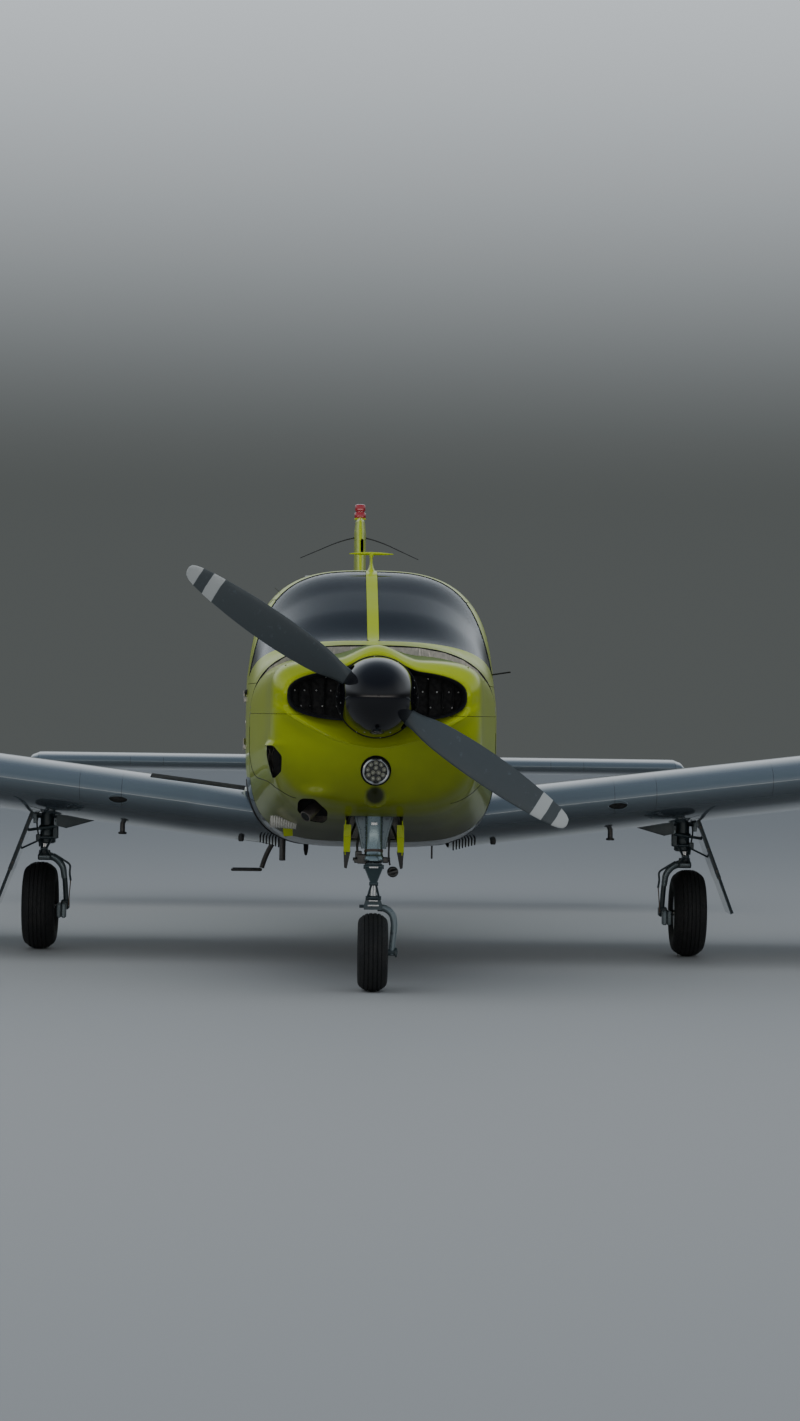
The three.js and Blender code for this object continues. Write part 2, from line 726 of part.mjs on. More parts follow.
const wingFoil = [WING.chord, WING.thick, WING.camber, WING.hinge];
const wingSurface = (inner, outer) =>
  loft([inner, outer].map((x) => trailingRing(wingPoint, x, ...wingFoil)));
const wingCove = (inner, outer) => loft([inner, outer].map((x) => coveRing(wingPoint, x, ...wingFoil)));
const hingePoint = (x) =>
  wingPoint(x, WING.hinge * WING.chord, camberAt(WING.hinge, WING.camber) * WING.chord);

// A hinge plate: a disc on the hinge line with an arm forward into the fixed part. Its slot in the moving
// surface takes the whole nose away beside the plate, so that the surface swings past the arm.
const HINGE = { radius: 26, thick: 10, side: 0.4, slotRadius: 36, reach: 78, armTall: 14, slotTall: 60 };
function wingHinge(x, wide) {
  const disc = wide ? HINGE.slotRadius : HINGE.radius;
  const half = HINGE.thick / 2 + (wide ? HINGE.side : 0);
  const centre = hingePoint(x);
  const tall = wide ? HINGE.slotTall : HINGE.armTall;
  const tilt = WING.dihedral * Math.sign(x);
  return join(
    rod([-half, 0, 0], [half, 0, 0], disc, 16),
    box([-half, -HINGE.reach, -tall], [half, 0, tall]),
  )
    .rotate([0, -tilt, 0])
    .translate(centre);
}
const FLAP_HINGES = [700, 1660, 2620];
const AILERON_HINGES = [2950, 3710, 4470];

const WELL = { wheelX: 1060, wheelRadius: 235, legX: 1650, legFront: -95, legBack: 75, floor: 300 };
const wellTop = (x) => wingPoint(x, 700, 0)[2] + 45;
const inWell = (x, aft, z) => at(x, MAIN.station + aft, z);
const gearWell = join(
  rod(
    inWell(WELL.wheelX, -10, WELL.floor),
    inWell(WELL.wheelX, -10, wellTop(WELL.wheelX)),
    WELL.wheelRadius,
    20,
  ),
  loft(
    [WELL.wheelX, WELL.legX].map((x) => ({
      upper: [inWell(x, WELL.legFront, WELL.floor), inWell(x, WELL.legFront, wellTop(x) - 20)],
      lower: [inWell(x, WELL.legBack, WELL.floor), inWell(x, WELL.legBack, wellTop(x) - 20)],
    })),
  ),
);
const JACK_PAD = { x: 1172, station: 2600, half: 20, bottom: 578, top: 700 };
const jackPad = (side) => {
  const middle = side * JACK_PAD.x;
  return box(
    at(middle - JACK_PAD.half, JACK_PAD.station - JACK_PAD.half, JACK_PAD.bottom),
    at(middle + JACK_PAD.half, JACK_PAD.station + JACK_PAD.half, JACK_PAD.top),
  );
};
const bodyRoom = bodyLoft(BODY, SEAM);
function wing(side) {
  const rings = [WING.root, WING.midX, ...TIP.map(([x]) => x)].map((x, i) => {
    const [, share, pull] = i < 2 ? [0, 1, 0] : TIP[i - 2];
    return wingRing(side * x, share, pull);
  });
  const tip = SPAN / 2;
  const whole = cut(
    loft(rings),
    wingCove(side * (WING.root - 50), side * (AILERON.outer + CLEAR)),
    side > 0 ? gearWell : mirrored(gearWell),
    bodyRoom,
    box([side > 0 ? tip : -tip - 20, -FAR, 0], [side > 0 ? tip + 20 : -tip, FAR, FAR]),
  );
  const plates = [...FLAP_HINGES, ...AILERON_HINGES].map((x) => wingHinge(side * x, false));
  return join(whole, plates, jackPad(side));
}
const slotted = (solid, places, side) => cut(solid, places.map((x) => wingHinge(side * x, true)));
const flap = (side) => slotted(wingSurface(side * FLAP.inner, side * FLAP.outer), FLAP_HINGES, side);
const aileron = (side) =>
  slotted(wingSurface(side * AILERON.inner, side * AILERON.outer), AILERON_HINGES, side);

// Tail
const stabPoint = (x, aft, up) => at(x, STAB.lead + aft, STAB.z + up);
const stabRing = (x, share, pull) => {
  const ring = { upper: [], lower: [] };
  for (const u of CHORD_STEPS) {
    const aft = STAB.chord * (pull + u * (1 - 2 * pull));
    const half = halfThick(u, STAB.thick) * STAB.chord * share;
    ring.upper.push(stabPoint(x, aft, half));
    ring.lower.push(stabPoint(x, aft, -half));
  }
  return ring;
};
const STAB_SPAN = [
  [-STAB.half, 0.25, 0.06],
  [-STAB.half + 18, 0.7, 0.025],
  [-STAB.half + 60, 1, 0],
  [STAB.half - 60, 1, 0],
  [STAB.half - 18, 0.7, 0.025],
  [STAB.half, 0.25, 0.06],
];
const stabFoil = [STAB.chord, STAB.thick, 0, TAB.hinge];
const TAB_CLEAR = 5;
const tabCove = loft(
  [-TAB.half - TAB_CLEAR, TAB.half + TAB_CLEAR].map((x) => coveRing(stabPoint, x, ...stabFoil, TAB_CLEAR)),
);
const STAB_ARMS = [-62, 62];
const pivotStation = STAB.lead + STAB.pivot;
const stabArm = (x, wide) => {
  const half = 6 + (wide ? 0.4 : 0);
  const radius = wide ? 33 : 27;
  return join(
    rod(at(x - half, pivotStation, STAB.z), at(x + half, pivotStation, STAB.z), radius, 20),
    wide
      ? box(at(x - half, pivotStation - 44, STAB.z), at(x + half, pivotStation + 44, STAB.z + 80))
      : box(at(x - half, pivotStation - 20, STAB.z), at(x + half, pivotStation + 20, STAB.z + 84)),
  );
};
const TAB_ARMS = [-900, 0, 900];
const tabHinge = (x, wide) => {
  const half = 3 + (wide ? 0.4 : 0);
  const line = STAB.lead + TAB.hinge * STAB.chord;
  const radius = wide ? 13 : 8;
  return join(
    rod(at(x - half, line, STAB.z), at(x + half, line, STAB.z), radius, 12),
    box(at(x - half, line - 34, STAB.z - (wide ? 30 : 5)), at(x + half, line, STAB.z + (wide ? 30 : 5))),
  );
};
const stabilator = join(
  cut(
    loft(STAB_SPAN.map(([x, share, pull]) => stabRing(x, share, pull))),
    tabCove,
    STAB_ARMS.map((x) => stabArm(x, true)),
  ),
  TAB_ARMS.map((x) => tabHinge(x, false)),
);
const tab = cut(
  loft([-TAB.half, TAB.half].map((x) => trailingRing(stabPoint, x, ...stabFoil))),
  TAB_ARMS.map((x) => tabHinge(x, true)),
);

const tailOuter = bodyLoft(TAIL_BODY);
const tailInner = bodyLoft(
  [[TAIL_BODY[0][0] - 20, ...TAIL_BODY[0].slice(1)], ...TAIL_BODY.slice(0, 4)],
  -TAIL.wall,
).intersect(box(at(-900, 4000, 0), at(900, TAIL.bulkhead, FAR)));
const tailNotch = sidePrism(
  [
    [6480, 600],
    [6480, 936],
    [6780, 936],
    [7300, 1076],
    [7300, 600],
  ],
  -500,
  500,
);
const TIE_DOWN = { half: 14, front: 6260, back: 6320, bottom: 735, top: 800 };
const tieDown = box(
  at(-TIE_DOWN.half, TIE_DOWN.front, TIE_DOWN.bottom),
  at(TIE_DOWN.half, TIE_DOWN.back, TIE_DOWN.top),
);
const tailCone = join(
  cut(tailOuter, tailInner, tailNotch),
  tieDown,
  STAB_ARMS.map((x) => stabArm(x, false)),
);
const aftBulkhead = bodyLoft([
  [CABIN.back + SEAM, 421, 610, 1505, 1080, 2.7, 3.4],
  [TAIL.front - SEAM, 421, 610, 1505, 1080, 2.7, 3.4],
]);

// Fin and rudder share sections: height, leading edge and trailing edge stations
const FIN_ROWS = [
  [1040, 5060, 7490],
  [1390, 5560, 7500],
  [1500, 5985, 7490],
  [2262, 6600, 7412],
  [2330, 6655, 7402],
  [FIN.tipZ, 6760, 7330],
];
const rudderLine = (z) => RUDDER.hingeStation + (z - RUDDER.hingeZ) * RUDDER.hingeSlope;
const FIN_SHARE = [0.6, 0.9, 1, 1, 0.8, 0.3];
const rowAt = (z) => {
  const i = Math.max(1, FIN_ROWS.findIndex(([h]) => h >= z));
  const [a, b] = [FIN_ROWS[i - 1], FIN_ROWS[i]];
  return a.map((v, k) => THREE.MathUtils.lerp(v, b[k], (z - a[0]) / (b[0] - a[0])));
};
function finRing([z, lead, trail], share) {
  const ring = { upper: [], lower: [] };
  for (const u of CHORD_STEPS) {
    const half = halfThick(u, 1) * FIN.thick * share;
    ring.upper.push(at(half, lead + u * (trail - lead), z));
    ring.lower.push(at(-half, lead + u * (trail - lead), z));
  }
  return ring;
}
const RUDDER_EDGE = 1.5;
const rudderHalf = (z) => {
  const [, lead, trail] = rowAt(z);
  return halfThick((rudderLine(z) - lead) / (trail - lead), 1) * FIN.thick;
};
function rudderRing(z) {
  const trail = rowAt(z)[2];
  const hinge = rudderLine(z);
  const radius = rudderHalf(z);
  const ring = { upper: [], lower: [] };
  for (const degrees of [0, 22, 45, 67, 90]) {
    const a = rad(degrees);
    ring.upper.push(at(radius * Math.sin(a), hinge - radius * Math.cos(a), z));
    ring.lower.push(at(-radius * Math.sin(a), hinge - radius * Math.cos(a), z));
  }
  ring.upper.push(at(RUDDER_EDGE, trail, z));
  ring.lower.push(at(-RUDDER_EDGE, trail, z));
  return ring;
}
const rudderCove = (low, high) =>
  loft(
    [low, high].map((z) => {
      const hinge = rudderLine(z);
      const nose = rudderHalf(z);
      const radius = nose + CLEAR;
      const lip = Math.sqrt(radius ** 2 - nose ** 2) + CLEAR;
      const lipAngle = Math.acos(lip / radius);
      const ring = { upper: [], lower: [] };
      for (const share of [0, 0.33, 0.67, 1]) {
        const a = lipAngle * share;
        ring.upper.push(at(radius * Math.sin(a), hinge - radius * Math.cos(a), z));
        ring.lower.push(at(-radius * Math.sin(a), hinge - radius * Math.cos(a), z));
      }
      for (const station of [hinge - lip, 7600]) {
        ring.upper.push(at(90, station, z));
        ring.lower.push(at(-90, station, z));
      }
      return ring;
    }),
  );
const RUDDER_HINGES = [1200, 1690, 2190];
const rudderHinge = (z, wide) => {
  const hinge = rudderLine(z);
  const half = 4 + (wide ? 0.4 : 0);
  const radius = wide ? 17 : 11;
  return join(
    rod(at(0, hinge, z - half), at(0, hinge, z + half), radius, 16),
    box(at(wide ? -60 : -7, hinge - 60, z - half), at(wide ? 60 : 7, hinge, z + half)),
  );
};
const finWhole = loft(FIN_ROWS.map((row, i) => finRing(row, FIN_SHARE[i])));
const BEACON = { station: 6880, foot: 2345, top: 2440, radius: 38 };
const beacon = turned(
  [
    [0, 0],
    [BEACON.radius, 0],
    [BEACON.radius, 22],
    [BEACON.radius - 8, 44],
    [BEACON.radius, 60],
    [BEACON.radius - 6, 86],
    [0, BEACON.top - BEACON.foot],
  ],
  at(0, BEACON.station, BEACON.foot),
  [0, 0, 1],
  16,
);
const whisker = (side) =>
  bentRod(
    [at(0, 6840, 2232), at(side * 90, 6860, 2215), at(side * 360, 7060, 2118)],
    4,
    6,
    4,
  );
const fin = join(
  cut(finWhole, bodyLoft(TAIL_BODY, SEAM), rudderCove(1000, RUDDER.topZ + CLEAR)),
  RUDDER_HINGES.map((z) => rudderHinge(z, false)),
  beacon,
  whisker(1),
  whisker(-1),
);
const rudder = cut(
  loft([RUDDER.baseZ, 1390, 1500, RUDDER.topZ].map((z) => rudderRing(z))),
  RUDDER_HINGES.map((z) => rudderHinge(z, true)),
);

// Nose gear, its leg raked so that the line through the piston passes the axle
const rake = Math.tan(rad(NOSE.rake));
const legStation = (z) => NOSE.station + (z - NOSE.tyreRadius) * rake;
const onLeg = (z, x = 0, aft = 0) => at(x, legStation(z) + aft, z);
const NOSE_CROWN = { low: 352, high: 412 };
const NOSE_AXLE = { radius: 14, fromX: 104, toX: -52 };
const noseLeg = join(
  rod(onLeg(900), onLeg(560), 31, 16),
  rod(onLeg(560), onLeg(540), 38, 16),
  loft(
    [
      [880, 78],
      [740, 74],
      [600, 34],
    ].map(([z, half]) => ({
      upper: [onLeg(z, half, -10), onLeg(z, -half, -10)],
      lower: [onLeg(z, half, 12), onLeg(z, -half, 12)],
    })),
  ),
  rod(onLeg(880, -200), onLeg(880, 200), 20),
  [-190, 190].map((x) => rod(onLeg(880, x), at(x * 1.1, FIREWALL.back, 850), 13, 8)),
).intersect(aheadOfFirewall);
const nosePiston = rod(onLeg(539.5), onLeg(400), 15, 16);
const upperLink = loft([
  { upper: [onLeg(534, 34, -62), onLeg(534, -34, -62)], lower: [onLeg(534, 34, -40), onLeg(534, -34, -40)] },
  { upper: [onLeg(462, 8, -112), onLeg(462, -8, -112)], lower: [onLeg(462, 8, -96), onLeg(462, -8, -96)] },
]);
const lowerLink = loft([
  { upper: [onLeg(466, 9, -112), onLeg(466, -9, -112)], lower: [onLeg(466, 9, -96), onLeg(466, -9, -96)] },
  { upper: [onLeg(396, 30, -52), onLeg(396, -30, -52)], lower: [onLeg(396, 30, -34), onLeg(396, -30, -34)] },
]);
const noseFork = join(
  nosePiston,
  turned(
    [
      [15, 0],
      [38, 0],
      [38, 26],
      [15, 26],
      [15, 0],
    ],
    onLeg(512),
    [0, rake, 1],
    16,
  ),
  box(onLeg(520, -34, -60), onLeg(538, 34, -10)),
  upperLink,
  lowerLink,
  box(onLeg(NOSE_CROWN.low, -38, -56), onLeg(NOSE_CROWN.high, 38, 26)),
  bentRod(
    [
      onLeg(376, 20),
      onLeg(366, 66),
      onLeg(310, 92),
      onLeg(240, 88),
      onLeg(NOSE.tyreRadius, 80),
    ],
    17,
    8,
    10,
  ),
  rod(onLeg(NOSE.tyreRadius, NOSE_AXLE.fromX), onLeg(NOSE.tyreRadius, NOSE_AXLE.toX), NOSE_AXLE.radius),
);

const WHEEL_SIDES = 28;
function wheelTyre(centre, radius, half, bead) {
  const profile = [
    [bead, -half * 0.7],
    [radius * 0.7, -half],
    [radius * 0.9, -half * 0.92],
    [radius, -half * 0.4],
    [radius, half * 0.4],
    [radius * 0.9, half * 0.92],
    [radius * 0.7, half],
    [bead, half * 0.7],
    [bead, -half * 0.7],
  ];
  return turned(profile, centre, [1, 0, 0], WHEEL_SIDES);
}
function wheelRim(centre, bead, half, bore) {
  const outer = bead - SEAM;
  const profile = [
    [bore, -half * 0.55],
    [bore + 22, -half * 0.55],
    [outer - 20, -half * 0.25],
    [outer, -half * 0.68],
    [outer, half * 0.68],
    [outer - 20, half * 0.25],
    [bore + 22, half * 0.55],
    [bore, half * 0.55],
    [bore, -half * 0.55],
  ];
  return turned(profile, centre, [1, 0, 0], WHEEL_SIDES);
}
const noseCentre = at(0, NOSE.station, NOSE.tyreRadius);
const noseTyre = wheelTyre(noseCentre, NOSE.tyreRadius, NOSE.tyreHalf, 80);
const noseRim = wheelRim(noseCentre, 80, NOSE.tyreHalf, 14.6);

const NOSE_DOOR = [
  [620, 760],
  [1120, 700],
  [1130, 560],
  [900, 540],
  [640, 530],
];
const noseDoor = (side) =>
  cut(sidePrism(NOSE_DOOR, side > 0 ? 117 : -123, side > 0 ? 123 : -117), bodyLoft(NOSE_BODY, SEAM));

// Main gear: leg in the wing, trailing half fork inboard of the tyre, brake and axle
const LEG_RADIUS = 36;
function mainLeg(side) {
  const x = (out) => side * (MAIN.x + out);
  const s = MAIN.station;
  const calliper = [
    [s + 70, 210],
    [s + 128, 210],
    [s + 128, 300],
    [s + 70, 300],
  ];
  const parts = [
    rod(at(x(-8), s - 10, 795), at(x(-8), s - 10, 500), LEG_RADIUS, 16),
    rod(at(x(-8), s - 10, 500), at(x(-8), s - 10, MAIN.blockZ + 10), 20, 16),
    rod(at(x(-8), s + WELL.legFront + SEAM, 770), at(x(-8), s + WELL.legBack - SEAM, 770), 18),
    box(at(x(-8) - 32, s - 45, MAIN.blockZ), at(x(-8) + 32, s + 30, MAIN.blockZ + 46)),
    bentRod(
      [
        at(x(-20), s - 8, MAIN.blockZ + 26),
        at(x(-88), s - 6, MAIN.blockZ - 4),
        at(x(-116), s - 4, MAIN.blockZ - 70),
        at(x(-114), s, MAIN.tyreRadius),
      ],
      19,
      8,
      10,
    ),
    rod(at(x(-130), s, MAIN.tyreRadius), at(x(56), s, MAIN.tyreRadius), 18),
  ];
  const low = side > 0 ? x(-140) : x(-86);
  parts.push(sidePrism(calliper, low, low + 54));
  parts.push(
    side > 0
      ? box(at(x(-128), s - 10, 196), at(x(-104), s + 80, 236))
      : box(at(x(-104), s - 10, 196), at(x(-128), s + 80, 236)),
  );
  return join(parts);
}
const mainCentre = (side) => at(side * MAIN.x, MAIN.station, MAIN.tyreRadius);
const MAIN_BEAD = 94;
const mainTyre = (side) => wheelTyre(mainCentre(side), MAIN.tyreRadius, MAIN.tyreHalf, MAIN_BEAD);
const mainRim = (side) => wheelRim(mainCentre(side), MAIN_BEAD, MAIN.tyreHalf, 18.6);

// Leg door: a flat plate outboard of the leg, leaning out towards its foot, with its link to the leg
const LEG_DOOR = { topX: 1652, topZ: 672, footX: 1822, footZ: 216, front: 2850, back: 3090, thick: 8 };
function legDoor(side) {
  const lean = Math.atan2(LEG_DOOR.footX - LEG_DOOR.topX, LEG_DOOR.topZ - LEG_DOOR.footZ);
  const normal = [Math.cos(lean) * LEG_DOOR.thick, Math.sin(lean) * LEG_DOOR.thick];
  const edge = (x, z) => [side * x, z];
  const plate = frontPrism(
    [
      edge(LEG_DOOR.topX, LEG_DOOR.topZ),
      edge(LEG_DOOR.footX, LEG_DOOR.footZ),
      edge(LEG_DOOR.footX + normal[0], LEG_DOOR.footZ + normal[1]),
      edge(LEG_DOOR.topX + normal[0], LEG_DOOR.topZ + normal[1]),
    ],
    LEG_DOOR.front,
    LEG_DOOR.back,
  );
  const legX = MAIN.x - 8;
  const legLine = MAIN.station - 10;
  const legFace = legX + LEG_RADIUS + SEAM;
  return join(
    plate,
    rod(at(side * legFace, legLine, 590), at(side * 1712, legLine, 530), 8, 8).subtract(
      rod(at(side * legX, legLine, 830), at(side * legX, legLine, 500), LEG_RADIUS + SEAM, 16),
    ),
  );
}

// Colours
const finish = (color, roughness, metalness = 0) =>
  new THREE.MeshStandardMaterial({ color, roughness, metalness });
const LIME = 0xa8b400;
const SILVER = 0x8c999d;
const lime = () => finish(LIME, 0.25);
const silver = () => finish(SILVER, 0.3, 0.3);
const grey = () => finish(0x3b4347, 0.5);
const black = () => finish(0x111214, 0.2);
const rubber = () => finish(0x0c0c0d, 0.85);
const metal = () => finish(0x7d8588, 0.4, 0.8);
const glass = () => finish(0x2a3236, 0.05);
const leather = () => finish(0x2e2d2b, 0.7);
const engineGrey = () => finish(0x33363a, 0.6, 0.5);

const PIECES = [
  ["spinner", spinner, black()],
  ["propeller_blades", blades, grey()],
  ["cowl_top", cowlTop, lime()],
  ["cowl_bottom", cowlBottom, lime()],
  ["landing_light", landingLight, glass()],
  ["exhaust_pipe", exhaustPipe, metal()],
  ["engine_block", engineBlock, engineGrey()],
  ["firewall", firewall, metal()],
  ["forward_deck", forwardDeck, lime()],
  ["side_port", sidePort, lime()],
  ["side_starboard", sideStarboard, lime()],
  ["cabin_roof", cabinRoof, lime()],
  ["belly_pan", bellyPan, grey()],
  ["aft_bulkhead", aftBulkhead, metal()],
  ["windscreen_port", windscreenPane(1), glass()],
  ["windscreen_starboard", windscreenPane(-1), glass()],
  ["front_window_port", glassShell.intersect(portPrism(inset(DOOR_WINDOW))), glass()],
  ["rear_window_port", glassShell.intersect(portPrism(inset(REAR_WINDOW))), glass()],
  ["rear_window_starboard", glassShell.intersect(starboardPrism(inset(REAR_WINDOW))), glass()],
  ["cabin_door", cabinDoor, lime()],
  ["door_window", glassShell.intersect(starboardPrism(inset(DOOR_WINDOW))), glass()],
  ["baggage_door", baggageDoor, lime()],
  ["instrument_panel", instrumentPanel, black()],
  ["front_seat_port", frontSeat(SEAT.x), leather()],
  ["front_seat_starboard", frontSeat(-SEAT.x), leather()],
  ["rear_bench", rearBench, leather()],
  ["tail_cone", tailCone, lime()],
  ["fin", fin, lime()],
  ["rudder", rudder, lime()],
  ["stabilator", stabilator, silver()],
  ["anti_servo_tab", tab, silver()],
  ["wing_port", wing(1), silver()],
  ["wing_starboard", wing(-1), silver()],
  ["flap_port", flap(1), silver()],
  ["flap_starboard", flap(-1), silver()],
  ["aileron_port", aileron(1), silver()],
  ["aileron_starboard", aileron(-1), silver()],
  ["nose_gear_leg", noseLeg, grey()],
  ["nose_fork", noseFork, grey()],
  ["nose_tyre", noseTyre, rubber()],
  ["nose_rim", noseRim, metal()],
  ["nose_door_port", noseDoor(1), lime()],
  ["nose_door_starboard", noseDoor(-1), lime()],
  ["main_leg_port", mainLeg(1), grey()],
  ["main_leg_starboard", mainLeg(-1), grey()],
  ["main_tyre_port", mainTyre(1), rubber()],
  ["main_tyre_starboard", mainTyre(-1), rubber()],
  ["main_rim_port", mainRim(1), metal()],
  ["main_rim_starboard", mainRim(-1), metal()],
  ["leg_door_port", legDoor(1), silver()],
  ["leg_door_starboard", legDoor(-1), silver()],
];

const aircraft = new THREE.Group();
for (const [name, solid, material] of PIECES) {
  const mesh = new THREE.Mesh(toGeometry(solid), material);
  mesh.name = name;
  aircraft.add(mesh);
}

export default aircraft;
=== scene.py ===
"""Looks of a four-seat light aircraft: skins, glass, propeller, landing gear, cabin and their finishes.

Metres. +X is the aircraft's own left (port), -Y its nose, +Z up, and z = 0 is the ground.
A station is the distance aft of the spinner's tip, so y = station - LENGTH / 2.
"""

import logging
import math
from dataclasses import dataclass, field
from enum import Enum
from functools import cache
from typing import Callable, Sequence

import bmesh
import bpy
import numpy as np
from mathutils import Matrix, Vector


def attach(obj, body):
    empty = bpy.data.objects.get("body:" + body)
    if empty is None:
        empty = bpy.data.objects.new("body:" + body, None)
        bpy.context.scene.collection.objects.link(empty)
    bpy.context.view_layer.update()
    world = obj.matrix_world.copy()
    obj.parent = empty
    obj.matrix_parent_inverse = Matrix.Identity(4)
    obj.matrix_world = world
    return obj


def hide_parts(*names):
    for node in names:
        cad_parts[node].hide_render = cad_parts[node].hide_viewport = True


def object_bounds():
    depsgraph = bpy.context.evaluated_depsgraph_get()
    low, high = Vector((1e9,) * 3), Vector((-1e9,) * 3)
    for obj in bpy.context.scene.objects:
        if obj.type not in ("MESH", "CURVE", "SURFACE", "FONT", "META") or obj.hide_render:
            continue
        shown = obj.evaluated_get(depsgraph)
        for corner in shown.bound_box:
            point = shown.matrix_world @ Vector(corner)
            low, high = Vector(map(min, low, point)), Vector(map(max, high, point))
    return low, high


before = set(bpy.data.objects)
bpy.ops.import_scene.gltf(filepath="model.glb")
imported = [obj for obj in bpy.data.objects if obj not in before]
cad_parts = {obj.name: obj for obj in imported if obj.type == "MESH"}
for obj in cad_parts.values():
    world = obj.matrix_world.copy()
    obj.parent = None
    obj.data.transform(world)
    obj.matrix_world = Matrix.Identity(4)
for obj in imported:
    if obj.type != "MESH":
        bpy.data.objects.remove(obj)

CAD_LOW, CAD_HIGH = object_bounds()
LENGTH = CAD_HIGH.y - CAD_LOW.y
MM = 0.001
log = logging.getLogger("aircraft")

Array = np.ndarray
Point = Sequence[float]
Region = Callable[[Array], Array]
Surface = Callable[[Array, Array], Array]
Socket = bpy.types.NodeSocket
Color = tuple[float, float, float]
Pair = tuple[float, float]
Table = tuple[Pair, ...]


class Side(Enum):
    """A side of the aircraft, with the sign of its X."""

    PORT = 1
    STARBOARD = -1

    @property
    def label(self) -> str:
        """The side's name as the nodes write it."""
        return self.name.lower()


def at(x: float, station: float, z: float) -> tuple[float, float, float]:
    """The place of a point given by its x, station and height."""
    return (x, station - LENGTH / 2, z)


def points_at(x: Array | float, station: Array | float, z: Array | float) -> Array:
    """Points by their x, station and height, each one number or an array."""
    return np.stack(np.broadcast_arrays(x, station - LENGTH / 2, z), -1)


def bell(first: Array, second: Array | float = 0.0) -> Array:
    """1 where both distances are nought, falling off as the exponential of their squares."""
    return np.exp(-(first**2) - second**2)


def smoothstep(value: Array, low: float, high: float) -> Array:
    """Rises from 0 at low to 1 at high as 3 t squared minus 2 t cubed."""
    t = np.clip((value - low) / (high - low), 0.0, 1.0)
    return t * t * (3 - 2 * t)


def cubic(knots: Array, rows: Array, where: Array) -> Array:
    """Carries rows of values between knots on a Hermite cubic.

    Each knot's slope is the mean slope of its two neighbours, and the two end values hold outside.

    Args:
        knots: rising parameter values, one for each row.
        rows: the values at the knots.
        where: parameter values to read at, of any shape.

    Returns:
        The values, with the shape of where and one more axis.
    """
    slope = np.gradient(rows, knots, axis=0)
    i = np.clip(np.searchsorted(knots, where, side="right") - 1, 0, len(knots) - 2)
    span = (knots[i + 1] - knots[i])[..., None]
    t = np.clip((where - knots[i])[..., None] / span, 0.0, 1.0)
    return (
        rows[i] * (1 + 2 * t) * (1 - t) ** 2
        + slope[i] * span * t * (1 - t) ** 2
        + rows[i + 1] * t * t * (3 - 2 * t)
        + slope[i + 1] * span * t * t * (t - 1)
    )


def run_along(points: Array) -> Array:
    """The distance along a line of points, from nought at the first."""
    return np.concatenate([[0], np.cumsum(np.linalg.norm(np.diff(points, axis=0), axis=1))])


def smooth(points: Sequence[Point], count: int) -> Array:
    """Evenly spaced points on a smooth curve through a few."""
    route = np.array(points, float)
    run = run_along(route)
    return cubic(run, route, np.linspace(0, run[-1], count))


def mm(*rows: Point) -> Array:
    """Rows of millimetres as metres."""
    return np.array(rows, float) * MM


def circle(count: int) -> Array:
    """Angles round a full turn, the last one short of the first."""
    return np.linspace(0, 2 * np.pi, count, endpoint=False)


@dataclass
class Solid:
    """Points and four-cornered faces; a face's tag says which of the piece's finishes it wears."""

    points: Array
    quads: Array
    tags: Array

    def tagged(self, tag: int) -> "Solid":
        """The same faces, all with one tag."""
        return Solid(self.points, self.quads, np.full(len(self.quads), tag))

    def turned(self, axis: Point, degrees: float, about: Point) -> "Solid":
        """The same solid turned about a line through a point."""
        turn = np.array(Matrix.Rotation(math.radians(degrees), 3, Vector(axis)))
        pivot = np.array(about)
        return Solid((self.points - pivot) @ turn.T + pivot, self.quads, self.tags)

    def moved(self, by: Point) -> "Solid":
        """The same solid, shifted."""
        return Solid(self.points + np.array(by), self.quads, self.tags)


def tagged(tag: int, *solids: Solid) -> list[Solid]:
    """The same solids, all with one tag."""
    return [solid.tagged(tag) for solid in solids]


def joined(solids: Sequence[Solid]) -> Solid:
    """Several solids as one list of points and faces.

    Args:
        solids: what is joined.

    Returns:
        One solid with all of them.
    """
    starts = np.cumsum([0] + [len(s.points) for s in solids[:-1]])
    return Solid(
        np.concatenate([s.points for s in solids]),
        np.concatenate([s.quads + start for s, start in zip(solids, starts)]),
        np.concatenate([s.tags for s in solids]),
    )


def grid_quads(rows: int, columns: int, wrap_rows: bool = False, wrap_columns: bool = False) -> Array:
    """The faces between the points of a grid numbered row by row, closed round where it wraps.

    Args:
        rows: points along the grid.
        columns: points across it.
        wrap_rows: whether the last row meets the first.
        wrap_columns: whether the last column meets the first.

    Returns:
        Four point numbers for each face.
    """
    r = np.arange(rows if wrap_rows else rows - 1)[:, None]
    c = np.arange(columns if wrap_columns else columns - 1)[None, :]
    r_next, c_next = (r + 1) % rows, (c + 1) % columns
    corners = [r * columns + c, r * columns + c_next, r_next * columns + c_next, r_next * columns + c]
    return np.stack(np.broadcast_arrays(*corners), -1).reshape(-1, 4)


def grid(points: Array, wrap_rows: bool = False, wrap_columns: bool = False) -> Solid:
    """A solid from a grid of points with rows, columns and three coordinates."""
    quads = grid_quads(points.shape[0], points.shape[1], wrap_rows, wrap_columns)
    return Solid(points.reshape(-1, 3), quads, np.zeros(len(quads), int))


def capped(points: Array) -> Solid:
    """A grid of rings, closed at both ends by a row gathered on the end ring's middle line."""
    ends = []
    for ring in (points[0], points[-1]):
        ends.append((ring + ring[::-1])[None] / 2)
    return grid(np.concatenate([ends[0], points, ends[1]]), wrap_columns=True)


